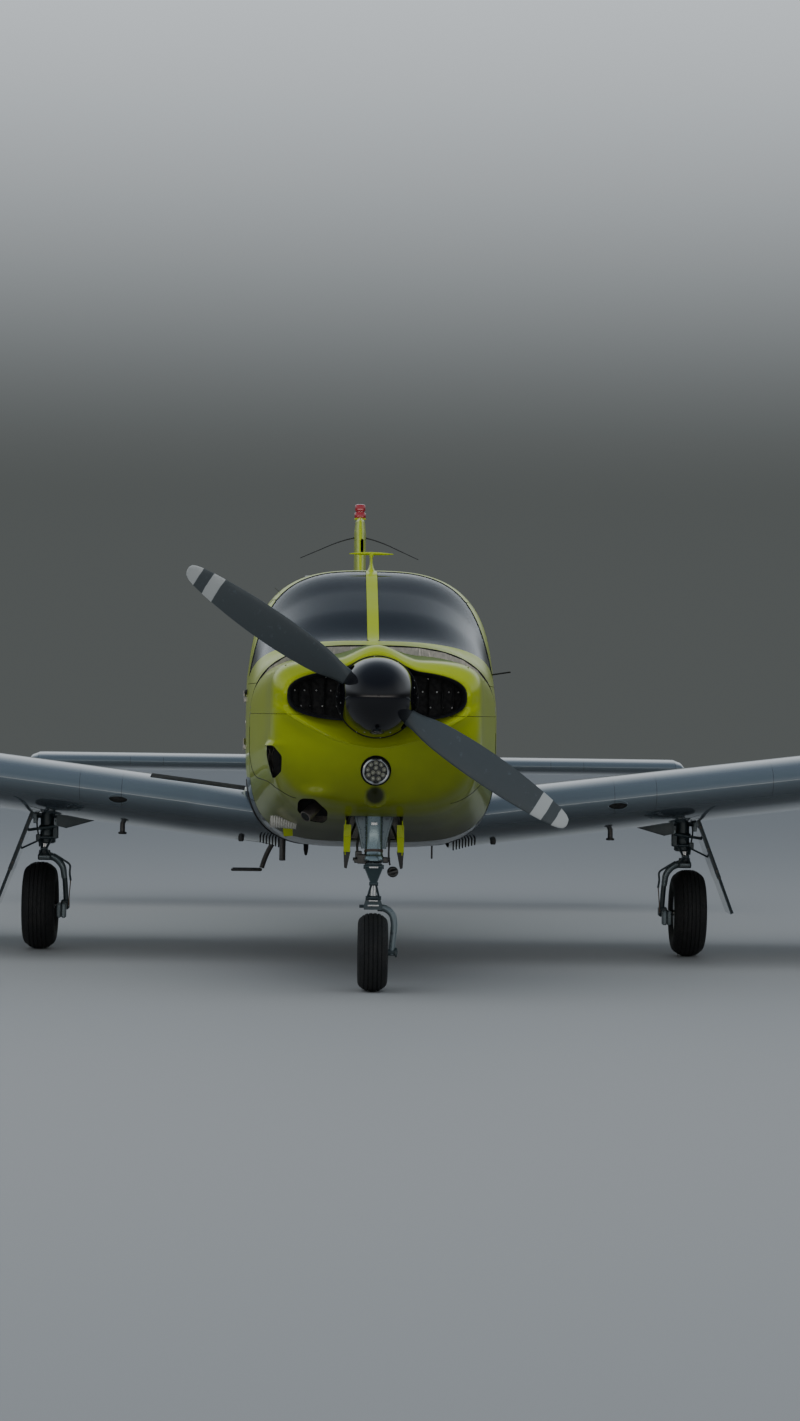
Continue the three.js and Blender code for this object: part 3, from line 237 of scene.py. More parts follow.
def tube(path: Array, radius: float | Array, sides: int = 12, closed: bool = False) -> Solid:
    """A round bar: circles square to a path, whose ends close on its axis.

    Args:
        path: the points of the centre line.
        radius: one radius, or one for each point.
        sides: the corners of each circle.
        closed: whether the path runs back into itself.

    Returns:
        The bar.
    """
    path = np.asarray(path, float)
    radii = np.broadcast_to(np.asarray(radius, float), len(path)).copy()
    if closed:
        tangent = np.roll(path, -1, 0) - np.roll(path, 1, 0)
    else:
        tangent = np.gradient(path, axis=0)
    tangent /= np.linalg.norm(tangent, axis=1, keepdims=True)
    reference = np.eye(3)[np.abs(tangent).max(0).argmin()]
    side = np.cross(tangent, reference)
    side /= np.linalg.norm(side, axis=1, keepdims=True)
    up = np.cross(side, tangent)
    angle = circle(sides)
    ring = side[:, None] * np.cos(angle)[:, None] + up[:, None] * np.sin(angle)[:, None]
    points = path[:, None] + radii[:, None, None] * ring
    if not closed:
        first = np.repeat(path[:1, None], sides, 1)
        last = np.repeat(path[-1:, None], sides, 1)
        points = np.concatenate([first, points, last])
    return grid(points, wrap_rows=closed, wrap_columns=True)


def bent(points: Sequence[Point], radius: float | Array, sides: int = 12, steps: int = 24) -> Solid:
    """A round bar along a smooth curve through a few points."""
    return tube(smooth(points, steps), radius, sides)


def rod(start: Point, end: Point, radius: float, sides: int = 20) -> Solid:
    """A straight round bar."""
    return tube(np.array([start, end], float), radius, sides)


def lathe(
    profile: Sequence[Point], origin: Point, axis: Point, sides: int = 48, closed: bool = False
) -> Solid:
    """A profile of (radius, distance) points turned once round a line.

    Args:
        profile: the points, from one end to the other, or round a ring where closed.
        origin: the point of the line that distance is measured from.
        axis: the line's direction.
        sides: the steps round the line.
        closed: whether the profile is a ring's section.

    Returns:
        The turned solid.
    """
    line = np.array(Vector(axis).normalized())
    helper = np.eye(3)[np.abs(line).argmin()]
    side = np.cross(line, helper)
    side /= np.linalg.norm(side)
    up = np.cross(line, side)
    turn = circle(sides)
    ring = np.cos(turn)[:, None] * side + np.sin(turn)[:, None] * up
    shape = np.array(profile, float)
    points = np.array(origin) + shape[:, None, 1:] * line + shape[:, None, :1] * ring
    return grid(points, wrap_rows=closed, wrap_columns=True)


def corner_ring(wide: float, deep: float, bevel: float) -> Array:
    """A rectangle's eight corner points, each corner cut by the bevel."""
    a, b, c = wide, deep, min(bevel, wide, deep)
    quarter = [(a, c - b), (a, b - c), (a - c, b), (c - a, b)]
    return np.array(quarter + [(-x, -y) for x, y in quarter])


def block(low: Point, high: Point, bevel: float = 2 * MM) -> Solid:
    """A box between two corners with cut edges: four rings of eight points and two middle points.

    Args:
        low: the corner with the smallest coordinates.
        high: the opposite corner.
        bevel: how far the edges are cut back.

    Returns:
        The box.
    """
    low, high = np.array(low, float), np.array(high, float)
    middle, half = (low + high) / 2, (high - low) / 2
    rows = []
    for end, inset, share in ((-1, 1, 0), (-1, 1, 1), (-1, 0, 1), (1, 0, 1), (1, 1, 1), (1, 1, 0)):
        ring = share * corner_ring(half[0] - inset * bevel, half[1] - inset * bevel, bevel * (1 - inset))
        rows.append(np.column_stack([ring, np.full(8, end * (half[2] - (0 if inset else bevel)))]))
    return grid(np.array(rows) + middle, wrap_columns=True)


def beam(start: Point, end: Point, first: Point, last: Point, side: Point = (1, 0, 0)) -> Solid:
    """A bar of rectangular section that tapers from one point to another.

    Args:
        start: the middle of one end.
        end: the middle of the other end.
        first: half width and half thickness at the start.
        last: half width and half thickness at the end.
        side: the direction of the width.

    Returns:
        The bar, its long edges cut.
    """
    a, b = np.array(start, float), np.array(end, float)
    along = (b - a) / np.linalg.norm(b - a)
    wide = np.array(side, float) - np.dot(side, along) * along
    wide /= np.linalg.norm(wide)
    deep = np.cross(along, wide)
    rows = []
    for place, (w, t), share in ((a, first, 0), (a, first, 1), (b, last, 1), (b, last, 0)):
        ring = corner_ring(w, t, 0.25 * min(w, t)) * share
        rows.append(place + ring[:, :1] * wide + ring[:, 1:] * deep)
    return grid(np.array(rows), wrap_columns=True)


def slab(outline: Array, low: Array, high: Array) -> Solid:
    """A plate: one outline at two places, closed on the outlines' middles."""
    first, last = outline + np.array(low), outline + np.array(high)
    count = len(first)
    rows = [np.repeat(first.mean(0)[None], count, 0), first, last, np.repeat(last.mean(0)[None], count, 0)]
    return grid(np.array(rows), wrap_columns=True)


def studs(places: Array, normals: Array, radius: float, height: float, sides: int = 8) -> Solid:
    """Small domes at many places at once: a foot ring, a shoulder ring and a crown, set on each normal.

    Args:
        places: the middle of each foot.
        normals: the way each one stands up.
        radius: the foot's radius.
        height: the crown's height.
        sides: points round it.

    Returns:
        All of the domes.
    """
    normals = normals / np.linalg.norm(normals, axis=1, keepdims=True)
    helper = np.where(np.abs(normals[:, :1]) < 0.8, [[1.0, 0, 0]], [[0, 0, 1.0]])
    side = np.cross(normals, helper)
    side /= np.linalg.norm(side, axis=1, keepdims=True)
    up = np.cross(normals, side)
    angle = circle(sides)
    ring = side[:, None] * np.cos(angle)[:, None] + up[:, None] * np.sin(angle)[:, None]
    levels = [(0, -0.5), (1, -0.5), (1, 0.2), (0.65, 0.9), (0, 1)]
    feet, outward = places[:, None], normals[:, None]
    rows = [feet + radius * share * ring + height * rise * outward for share, rise in levels]
    one = grid_quads(len(levels), sides, wrap_columns=True)
    count = len(levels) * sides
    quads = (one[None] + np.arange(len(places))[:, None, None] * count).reshape(-1, 4)
    points = np.stack(rows, 1).reshape(-1, 3)
    return Solid(points, quads, np.zeros(len(quads), int))


def oval_post(x: float, station: float, rows: Sequence[Point], sides: int = 32) -> Solid:
    """An upright post of oval sections, from rows of (height, half width, half length)."""
    angle = circle(sides)
    z, wide, long = np.array(rows, float).T[..., None]
    return grid(points_at(x + wide * np.cos(angle), station + long * np.sin(angle), z), wrap_columns=True)


def foil_post(x: float, rows: Sequence[Point], thick: float) -> Solid:
    """An upright blade of wing sections, from rows of height, leading edge, trailing edge and fullness."""
    angle = (np.arange(24) + 0.5) / 24 * 2 * np.pi
    u, sign = (1 + np.cos(angle)) / 2, np.where(np.sin(angle) >= 0, 1, -1)
    z, lead, trail, share = np.array(rows, float).T[..., None]
    return capped(points_at(x + thick * share * foil_half(u) * sign, lead + u * (trail - lead), z))


def ellipsoid(centre: Point, half: Point, power: float = 1.0, rings: int = 24, sides: int = 36) -> Solid:
    """A closed rounded form: cosines and sines of two angles, raised to a power that squares its corners.

    Args:
        centre: its middle.
        half: its half sizes along x, y and z.
        power: 1 for an ellipsoid, less for squarer corners.
        rings: rows of points from pole to pole.
        sides: points round each row.

    Returns:
        The form.
    """
    def bend(value: Array) -> Array:
        """A sine or cosine raised to the power, with its sign kept."""
        return np.sign(value) * np.abs(value) ** power

    lift = np.linspace(-np.pi / 2, np.pi / 2, rings)[:, None]
    turn = circle(sides)[None]
    flat = np.abs(np.cos(lift)) ** power
    parts = flat * bend(np.cos(turn)), flat * bend(np.sin(turn)), bend(np.sin(lift)) + 0 * turn
    return grid(np.stack(parts, -1) * np.array(half) + np.array(centre), wrap_columns=True)


@dataclass(frozen=True)
class Outline:
    """A flat closed outline with every corner rounded to one radius."""

    corners: Table
    radius: float = 0.0

    def edge_normals(self) -> Array:
        """The outward unit normal of each edge.

        Returns:
            One normal for each corner's edge to the next corner.
        """
        c = np.array(self.corners)
        after = np.roll(c, -1, 0)
        edge = after - c
        turn = np.sum(c[:, 0] * after[:, 1] - after[:, 0] * c[:, 1])
        normal = np.stack([edge[:, 1], -edge[:, 0]], 1) * np.sign(turn)
        return normal / np.linalg.norm(normal, axis=1, keepdims=True)

    def offset(self, by: float) -> Array:
        """The corners moved so that each edge lies a distance outward of its place."""
        after = self.edge_normals()
        before = np.roll(after, 1, 0)
        return np.array(self.corners) + by * (before + after) / (1 + np.sum(before * after, 1, keepdims=True))

    def grown(self, by: float) -> "Outline":
        """The outline with its edges a distance outward and its corners rounded to match."""
        return Outline(tuple(map(tuple, self.offset(by))), max(self.radius + by, 0.0))

    def distance(self, plane: Array) -> Array:
        """Signed distance of flat points from the outline: negative inside.

        It is the distance to the nearest edge of the outline drawn in by its radius, less that radius.

        Args:
            plane: the flat points.

        Returns:
            One distance for each point.
        """
        a = self.offset(-self.radius)
        b = np.roll(a, -1, 0)
        edge, rel = b - a, plane[:, None] - a
        t = np.clip((rel * edge).sum(-1) / (edge**2).sum(-1), 0, 1)
        gap = np.linalg.norm(rel - t[..., None] * edge, axis=-1).min(1)
        high = (a[:, 1] > plane[:, None, 1]) != (b[:, 1] > plane[:, None, 1])
        rise = np.where(np.abs(edge[:, 1]) < 1e-12, 1e-12, edge[:, 1])
        left = plane[:, None, 0] < edge[:, 0] * (plane[:, None, 1] - a[:, 1]) / rise + a[:, 0]
        inside = (high & left).sum(1) % 2 == 1
        return np.where(inside, -gap, gap) - self.radius


def corner_normals(points: Array, quads: Array) -> Array:
    """Unit normals at points: the sum of the normals of the faces that meet there.

    Args:
        points: the points.
        quads: four point numbers for each face.

    Returns:
        One normal for each point.
    """
    p = points[quads]
    flat = np.cross(p[:, 2] - p[:, 0], p[:, 3] - p[:, 1])
    total = np.zeros_like(points)
    for k in range(4):
        np.add.at(total, quads[:, k], flat)
    size = np.linalg.norm(total, axis=1, keepdims=True)
    return total / np.where(size < 1e-15, 1, size)


def border_edges(quads: Array) -> Array:
    """The edges, in the direction of their face, that only one face has.

    Args:
        quads: four point numbers for each face.

    Returns:
        Two point numbers for each edge.
    """
    edges = np.concatenate([quads[:, [k, (k + 1) % 4]] for k in range(4)])
    ordered = np.sort(edges, 1)
    key = ordered[:, 0].astype(np.int64) * (quads.max() + 1) + ordered[:, 1]
    _, first, count = np.unique(key, return_index=True, return_counts=True)
    return edges[first[count == 1]]


def trimmed(
    surface: Surface,
    u: Array,
    v: Array,
    region: Region,
    thick: float,
    inside: Point,
    wrap: bool = False,
) -> Solid:
    """A sheet cut from a surface to a region, with a thickness.

    The faces of the grid whose middle lies in the region stay. Each point of their ragged edge then moves
    over the surface, by Newton steps down the region's distance, until it lies on the region's border.
    The inner sheet lies a thickness in along the normals, and a rim joins the two edges.

    Args:
        surface: gives points from arrays of u and v.
        u: the grid's values of u.
        v: the grid's values of v, as lengths along the surface where possible.
        region: signed distance of points from the wanted region, negative inside.
        thick: the sheet's thickness.
        inside: a point on the inner side of the sheet.
        wrap: whether v closes on itself.

    Returns:
        The closed sheet: outer faces with tag 0, inner faces with tag 1 and the rim with tag 2.
    """
    uu, vv = (a.ravel().copy() for a in np.meshgrid(u, v, indexing="ij"))
    points = surface(uu, vv)
    quads = grid_quads(len(u), len(v), wrap_columns=wrap)
    quads = quads[region(points[quads].mean(1)) < 0]
    rim = np.unique(border_edges(quads))
    cell = max(np.diff(u).max(), np.abs(np.diff(v)).max())
    rim = rim[np.abs(region(points[rim])) < 1.6 * cell]
    step = 0.02 * cell
    a, b = uu[rim], vv[rim]
    for _ in range(5):
        level = region(surface(a, b))
        by_u = (region(surface(a + step, b)) - region(surface(a - step, b))) / (2 * step)
        by_v = (region(surface(a, b + step)) - region(surface(a, b - step))) / (2 * step)
        scale = np.clip(level / np.maximum(by_u**2 + by_v**2, 0.05), -cell, cell)
        a, b = a - scale * by_u, b - scale * by_v
    points[rim] = surface(a, b)
    used, quads = np.unique(quads, return_inverse=True)
    quads = quads.reshape(-1, 4)
    outer = points[used]
    normal = corner_normals(outer, quads)
    if np.sum(normal * (outer - np.array(inside))) < 0:
        quads, normal = quads[:, ::-1], -normal
    edges = border_edges(quads)
    count = len(outer)
    wall = np.stack([edges[:, 1], edges[:, 0], edges[:, 0] + count, edges[:, 1] + count], 1)
    faces = np.concatenate([quads, quads[:, ::-1] + count, wall])
    tags = np.repeat([0, 1, 2], [len(quads), len(quads), len(wall)])
    return Solid(np.concatenate([outer, outer - thick * normal]), faces, tags)


def wrapped(
    point: Surface, arc: float, along: Array, count: int,
    region: Region, thick: float, inside: Point, lead: float = 0.5,
) -> Solid:
    """A closed skin cut to a region, from a form that is given by a place along it and an angle round it.

    Args:
        point: gives the form's points from places along and angles.
        arc: about the form's radius, which makes lengths of the angles.
        along: the grid's places along.
        count: the grid's steps round.
        region: signed distance of points from the wanted region, negative inside.
        thick: the skin's thickness.
        inside: a point inside the form.
        lead: the share of a step that the first angle has.

    Returns:
        The closed skin, with tags as trimmed gives them.
    """
    around = (np.arange(count) + lead) / count * 2 * np.pi * arc
    return trimmed(lambda u, v: point(u, v / arc), along, around, region, thick, inside, wrap=True)


def make(
    name: str,
    solids: Sequence[Solid],
    finishes: "Finish | Sequence[Finish]",
    slot: str,
    *replaces: str,
    body: str = "airframe",
    sharp: float = 38.0,
) -> bpy.types.Object:
    """Makes one piece of the aircraft from solids.

    Args:
        name: the piece's name.
        solids: what it is made of.
        finishes: its finish, or one for each tag; a higher tag wears the last one.
        slot: the name of a material slot; not used.
        replaces: the frame's nodes that it stands for.
        body: the frame's body that it rides on.
        sharp: edges that turn by more degrees than this are drawn sharp.

    Returns:
        The piece.
    """
    whole = joined(list(solids))
    worn = list(finishes) if isinstance(finishes, (list, tuple)) else [finishes]
    mesh = bpy.data.meshes.new(name)
    mesh.vertices.add(len(whole.points))
    mesh.vertices.foreach_set("co", whole.points.astype(np.float32).ravel())
    mesh.loops.add(4 * len(whole.quads))
    mesh.loops.foreach_set("vertex_index", whole.quads.astype(np.int32).ravel())
    mesh.polygons.add(len(whole.quads))
    mesh.polygons.foreach_set("loop_start", np.arange(0, 4 * len(whole.quads), 4, dtype=np.int32))
    mesh.polygons.foreach_set("material_index", np.minimum(whole.tags, len(worn) - 1).astype(np.int32))
    mesh.update(calc_edges=True)
    work = bmesh.new()
    work.from_mesh(mesh)
    bmesh.ops.remove_doubles(work, verts=work.verts, dist=0.02 * MM)
    bmesh.ops.recalc_face_normals(work, faces=work.faces)
    work.to_mesh(mesh)
    work.free()
    mesh.polygons.foreach_set("use_smooth", np.ones(len(mesh.polygons), bool))
    mesh.set_sharp_from_angle(angle=math.radians(sharp))
    for finish in worn:
        mesh.materials.append(finish.material())
    piece = bpy.data.objects.new(name, mesh)
    bpy.context.scene.collection.objects.link(piece)
    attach(piece, body)
    if replaces:
        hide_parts(*replaces)
    log.info("%s: %d faces", name, len(mesh.polygons))
    return piece


def dress(node: str, finish: "Finish") -> None:
    """Gives a node of the frame a finish of this script's own."""
    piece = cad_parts[node]
    piece.data.materials.clear()
    piece.data.materials.append(finish.material())


class Shader:
    """A node tree while it is put together, with Object coordinates as a material's only place."""

    base_name: str = "Principled BSDF"
    place_name: str = "Object"

    def __init__(self, name: str) -> None:
        """Starts a material with one principled shader.

        Args:
            name: the material's name.
        """
        self.material = self.start(name)
        self.material.use_nodes = True
        self.tree = self.material.node_tree
        self.base = self.tree.nodes[self.base_name]
        self.place = self.node("ShaderNodeTexCoord").outputs[self.place_name]

    def start(self, name: str) -> bpy.types.ID:
        """The data block that holds the tree."""
        return bpy.data.materials.new(name)

    def node(self, kind: str, **inputs: object) -> bpy.types.Node:
        """Adds a node; inputs named by socket take a value or another node's output."""
        made = self.tree.nodes.new(kind)
        for name, value in inputs.items():
            self.feed(made.inputs[name.replace("_", " ")], value)
        return made

    def feed(self, socket: Socket, value: object) -> None:
        """Links an output to a socket, or sets the socket's own value."""
        if isinstance(value, Socket):
            self.tree.links.new(value, socket)
        else:
            socket.default_value = value

    def noise(self, scale: float, detail: float = 3.0, stretch: Point = (1, 1, 1)) -> Socket:
        """Noise over Object coordinates, its grain drawn out along an axis by a small stretch value."""
        mapping = self.node("ShaderNodeMapping", Vector=self.place, Scale=stretch)
        place = mapping.outputs[0]
        return self.node("ShaderNodeTexNoise", Vector=place, Scale=scale, Detail=detail).outputs[0]

    def ramp(self, value: object, low: float, high: float, first: float = 0.0, last: float = 1.0) -> Socket:
        """Carries a value from one range to another, smoothly and clamped.

        Args:
            value: the value or a socket with it.
            low: where the range begins.
            high: where it ends.
            first: what the low end becomes.
            last: what the high end becomes.

        Returns:
            The socket with the result.
        """
        made = self.node("ShaderNodeMapRange", Value=value)
        made.interpolation_type = "SMOOTHSTEP"
        for name, number in (("From Min", low), ("From Max", high), ("To Min", first), ("To Max", last)):
            made.inputs[name].default_value = number
        return made.outputs[0]

    def math(self, kind: str, first: object, second: object = 0.0) -> Socket:
        """One step of arithmetic on two values.

        Args:
            kind: the operation.
            first: a number or a socket.
            second: another one.

        Returns:
            The socket with the result.
        """
        made = self.node("ShaderNodeMath")
        made.operation = kind
        self.feed(made.inputs[0], first)
        self.feed(made.inputs[1], second)
        return made.outputs[0]

    def multiply_add(self, value: object, by: float, add: float) -> Socket:
        """A value times a number, plus another."""
        made = self.math("MULTIPLY_ADD", value, by)
        made.node.inputs[2].default_value = add
        return made

    def length(self, first: Socket, second: Socket) -> Socket:
        """The square root of the sum of two values' squares."""
        return self.math("SQRT", self.math("ADD", *(self.math("MULTIPLY", v, v) for v in (first, second))))

    def mix(self, share: object, first: object, second: object) -> Socket:
        """Mixes two colours.

        Args:
            share: how much of the second.
            first: a colour or a socket.
            second: another one.

        Returns:
            The socket with the mixture.
        """
        made = self.node("ShaderNodeMix")
        made.data_type = "RGBA"
        self.feed(made.inputs[0], share)
        self.feed(made.inputs[6], first)
        self.feed(made.inputs[7], second)
        return made.outputs[2]

    def axes(self) -> tuple[Socket, ...]:
        """The three Object coordinates."""
        return tuple(self.node("ShaderNodeSeparateXYZ", Vector=self.place).outputs)

    def bump(self, height: Socket, strength: float, distance: float) -> None:
        """Adds bump to the shader's normal."""
        made = self.node("ShaderNodeBump", Height=height, Strength=strength, Distance=distance)
        if self.base.inputs["Normal"].links:
            self.feed(made.inputs["Normal"], self.base.inputs["Normal"].links[0].from_socket)
        self.feed(self.base.inputs["Normal"], made.outputs[0])

    def set(self, **inputs: object) -> None:
        """Sets or links inputs of the principled shader."""
        for name, value in inputs.items():
            self.feed(self.base.inputs[name.replace("_", " ")], value)


class Sky(Shader):
    """The world's node tree, with the direction as its place."""

    base_name = "Background"
    place_name = "Generated"

    def start(self, name: str) -> bpy.types.ID:
        """The world that holds the tree."""
        return bpy.data.worlds.new(name)


def rgba(color: Point, shade: float = 1.0) -> tuple[float, float, float, float]:
    """A colour with its fourth number, made darker or lighter."""
    return (color[0] * shade, color[1] * shade, color[2] * shade, 1.0)


@dataclass(frozen=True)
class Finish:
    """A surface finish: one colour, and the roughness that it has on average."""

    name: str
    color: Color
    roughness: float

    def material(self) -> bpy.types.Material:
        """The finish's material, made once."""
        return finish_material(self)

    def shade(self, shader: Shader) -> None:
        """Puts the finish's nodes together."""
        shader.set(Base_Color=rgba(self.color), Roughness=self.roughness)


@cache
def finish_material(finish: Finish) -> bpy.types.Material:
    """Makes a finish's material and keeps it for the next piece that wears it."""
    shader = Shader(finish.name)
    finish.shade(shader)
    return shader.material


SEAM_COLOR = (0.012, 0.014, 0.016)
# Low skin: painted shade as a darker lime, then soiling deepened by more painted shade.
LOW_SHADE_COLOR = (0.095, 0.115, 0.003)
DIRT_AND_SHADE_COLOR = (0.042, 0.042, 0.014)
# Painted shade for the round hollow low on the cowl's front.
DENT_SHADE_COLOR = (0.008, 0.009, 0.001)
DECK_COLOR = (0.1, 0.145, 0.03)
DUST_COLOR = (0.022, 0.021, 0.019)
BAND_COLOR = (0.36, 0.38, 0.38)


class Belt(Enum):
    """Where a painted skin darkens low down, with painted shade and soiling."""

    NONE = 0
    LOW = 1


@dataclass(frozen=True)
class Paint(Finish):
    """Two-layer gloss paint: colour that drifts a little, a fine ripple, fine dust and a clear coat."""

    coat: float = 1.0
    flake: float = 0.0
    drift: float = 0.06
    specular: float = 0.5
    # Whether the low skin is darkened by painted shade and soiling, and the height that the darkening centres
    # on.
    grime_and_shade: Belt = Belt.NONE
    grime_and_shade_top: float = 0.74
    skirt: Color | None = None
    skirt_top: float = 0.88
    deck: Pair | None = None
    # The middle x, height and radius of a round hollow that is filled with painted shade.
    dent: tuple[float, float, float] | None = None
    seams: tuple[float, ...] = ()
    rivets: Pair | None = None

    def shade(self, shader: Shader) -> None:
        """Colour drifts on broad noise; dust roughens it on finer noise; soiling and painted shade darken the
        lowest skin.

        Args:
            shader: the material's nodes.
        """
        cloud = shader.noise(1.6, 4.0)
        dust = shader.noise(22.0, 6.0, (1, 0.5, 1))
        share = shader.ramp(cloud, 0.3, 0.7)
        color = shader.mix(share, rgba(self.color, 1 - self.drift), rgba(self.color, 1 + self.drift))
        rough = shader.ramp(dust, 0.35, 0.75, 0.92 * self.roughness, 1.15 * self.roughness)
        across, along, height = shader.axes()
        if self.skirt:
            below = shader.ramp(height, self.skirt_top - 0.5 * MM, self.skirt_top + 0.5 * MM, 1.0, 0.0)
            color = shader.mix(below, color, rgba(self.skirt))
        for seam in self.seams:
            away = shader.math("ABSOLUTE", shader.math("SUBTRACT", shader.math("ABSOLUTE", across), seam))
            color = shader.mix(shader.ramp(away, 0.6 * MM, 1.6 * MM, 0.75, 0.0), color, rgba(SEAM_COLOR))
        # Painted shade: a darker copy of the paint rises from the skin's foot; below it, soiling darkened
        # further as painted shade.
        if self.grime_and_shade is Belt.LOW:
            ragged = shader.math("MULTIPLY", shader.noise(7.0, 5.0, (1, 0.25, 1)), 0.16)
            edge = shader.math("SUBTRACT", height, ragged)
            low_shade = shader.ramp(edge, self.grime_and_shade_top - 0.12, self.grime_and_shade_top + 0.3, 0.9, 0.0)
            color = shader.mix(low_shade, color, rgba(LOW_SHADE_COLOR))
            dirt_and_shade = shader.ramp(edge, self.grime_and_shade_top - 0.18, self.grime_and_shade_top - 0.05, 0.86, 0.0)
            color = shader.mix(dirt_and_shade, color, rgba(DIRT_AND_SHADE_COLOR))
            rough = shader.multiply_add(dirt_and_shade, 0.3, self.roughness)
        coat = self.coat
        # Painted shade: the hollow darkens to near black, on the front faces only.
        if self.dent:
            middle_x, middle_z, radius = self.dent
            aside = shader.math("SUBTRACT", across, middle_x)
            away = shader.length(aside, shader.math("SUBTRACT", height, middle_z))
            inside = shader.ramp(away, 0.6 * radius, radius, 0.93, 0.0)
            hollow_shade = shader.math("MULTIPLY", inside, shader.ramp(along, -3.0, -2.9, 1.0, 0.0))
            color = shader.mix(hollow_shade, color, rgba(DENT_SHADE_COLOR))
        if self.deck:
            front, level = self.deck
            above = shader.ramp(height, level, level + 0.015)
            dull = shader.math("MULTIPLY", above, shader.ramp(along, front, front + 0.08))
            color = shader.mix(dull, color, rgba(DECK_COLOR))
            rough = shader.ramp(dull, 0.0, 1.0, self.roughness, 0.6)
            coat = shader.ramp(dull, 0.0, 1.0, self.coat, 0.02)
        shader.set(Base_Color=color, Roughness=rough, Metallic=self.flake)
        shader.set(Coat_Weight=coat, Coat_Roughness=0.04, Coat_IOR=1.5, Specular_IOR_Level=self.specular)
        shader.bump(shader.noise(3.2, 1.0), 0.05, 3 * MM)
        if self.rivets:
            shader.bump(self.rivet_rows(shader), 0.05, 0.3 * MM)

    def rivet_rows(self, shader: Shader) -> Socket:
        """Rows of flush rivets, by the distance to the nearest point of a lattice.

        Args:
            shader: the material's nodes.

        Returns:
            The socket with 0 on a head and 1 away from it.
        """
        pitch_x, pitch_y = self.rivets
        x, y, _ = shader.axes()
        offs = []
        for value, pitch in ((x, pitch_x), (y, pitch_y)):
            cell = shader.math("DIVIDE", value, pitch)
            near = shader.math("SUBTRACT", cell, shader.math("ROUND", cell))
            offs.append(shader.math("MULTIPLY", near, pitch))
        return shader.ramp(shader.length(*offs), 1.5 * MM, 4.0 * MM)


@dataclass(frozen=True)
class Metal(Finish):
    """Bare or plated metal with fine marks along one axis and dull patches."""

    grain: tuple[float, float, float] = (1, 1, 1)
    wear: float = 0.3

    def shade(self, shader: Shader) -> None:
        """Roughness follows stretched noise; colour darkens in broad patches.

        Args:
            shader: the material's nodes.
        """
        marks = shader.noise(220.0, 3.0, self.grain)
        patch = shader.noise(14.0, 5.0)
        dark = shader.ramp(patch, 0.45, 0.75, 0.0, self.wear)
        shader.set(
            Base_Color=shader.mix(dark, rgba(self.color), rgba(self.color, 0.35)),
            Roughness=shader.ramp(marks, 0.3, 0.7, 0.75 * self.roughness, 1.4 * self.roughness),
            Metallic=1.0,
        )
        shader.bump(marks, 0.12, 0.2 * MM)


@dataclass(frozen=True)
class Satin(Finish):
    """Satin paint or moulded plastic with a fine grain and dust."""

    grain: float = 500.0
    dusty: float = 0.15
    flake: float = 0.0

    def shade(self, shader: Shader) -> None:
        """Dust lightens the colour on broad noise, and a fine noise gives the grain.

        Args:
            shader: the material's nodes.
        """
        dust = shader.ramp(shader.noise(9.0, 6.0), 0.45, 0.8, 0.0, self.dusty)
        pale = tuple(0.6 * c + 0.12 for c in self.color)
        rough = shader.ramp(shader.noise(60.0, 4.0), 0.3, 0.7, 0.85 * self.roughness, 1.2 * self.roughness)
        color = shader.mix(dust, rgba(self.color), rgba(pale))
        shader.set(Base_Color=color, Roughness=rough, Metallic=self.flake)
        shader.bump(shader.noise(self.grain, 2.0), 0.1, 0.3 * MM)


@dataclass(frozen=True)
class Rubber(Finish):
    """Tyre rubber: matt, with dust in broad patches and fine scuffs."""

    def shade(self, shader: Shader) -> None:
        """Two noises: a fine one for scuffs and bump, a broad one for dust.

        Args:
            shader: the material's nodes.
        """
        scuff = shader.noise(160.0, 5.0)
        dust = shader.ramp(shader.noise(18.0, 6.0), 0.45, 0.75, 0.0, 0.35)
        shader.set(
            Base_Color=shader.mix(dust, rgba(self.color), rgba(DUST_COLOR)),
            Roughness=shader.ramp(scuff, 0.3, 0.7, 0.65, 0.9),
        )
        shader.bump(scuff, 0.25, 0.5 * MM)


@dataclass(frozen=True)
class Glass(Finish):
    """Clear or tinted acrylic."""

    def shade(self, shader: Shader) -> None:
        """A refracting shader whose roughness rises a little on a haze of fine scratches.

        Args:
            shader: the material's nodes.
        """
        haze = shader.noise(12.0, 8.0, (1, 4, 1))
        shader.set(
            Base_Color=rgba(self.color),
            Roughness=shader.ramp(haze, 0.4, 0.8, self.roughness, self.roughness + 0.04),
            Transmission_Weight=1.0,
            IOR=1.49,
        )


@dataclass(frozen=True)
class Leather(Finish):
    """Grained leather with a soft sheen."""

    def shade(self, shader: Shader) -> None:
        """Cells give the grain; broad noise gives worn, lighter patches.

        Args:
            shader: the material's nodes.
        """
        cells = shader.node("ShaderNodeTexVoronoi", Vector=shader.place, Scale=420.0).outputs["Distance"]
        worn = shader.ramp(shader.noise(6.0, 5.0), 0.4, 0.75)
        shader.set(
            Base_Color=shader.mix(worn, rgba(self.color, 0.8), rgba(self.color, 1.5)),
            Roughness=shader.ramp(worn, 0.0, 1.0, 1.1 * self.roughness, 0.8 * self.roughness),
            Sheen_Weight=0.15,
        )
        shader.bump(cells, 0.4, 0.6 * MM)


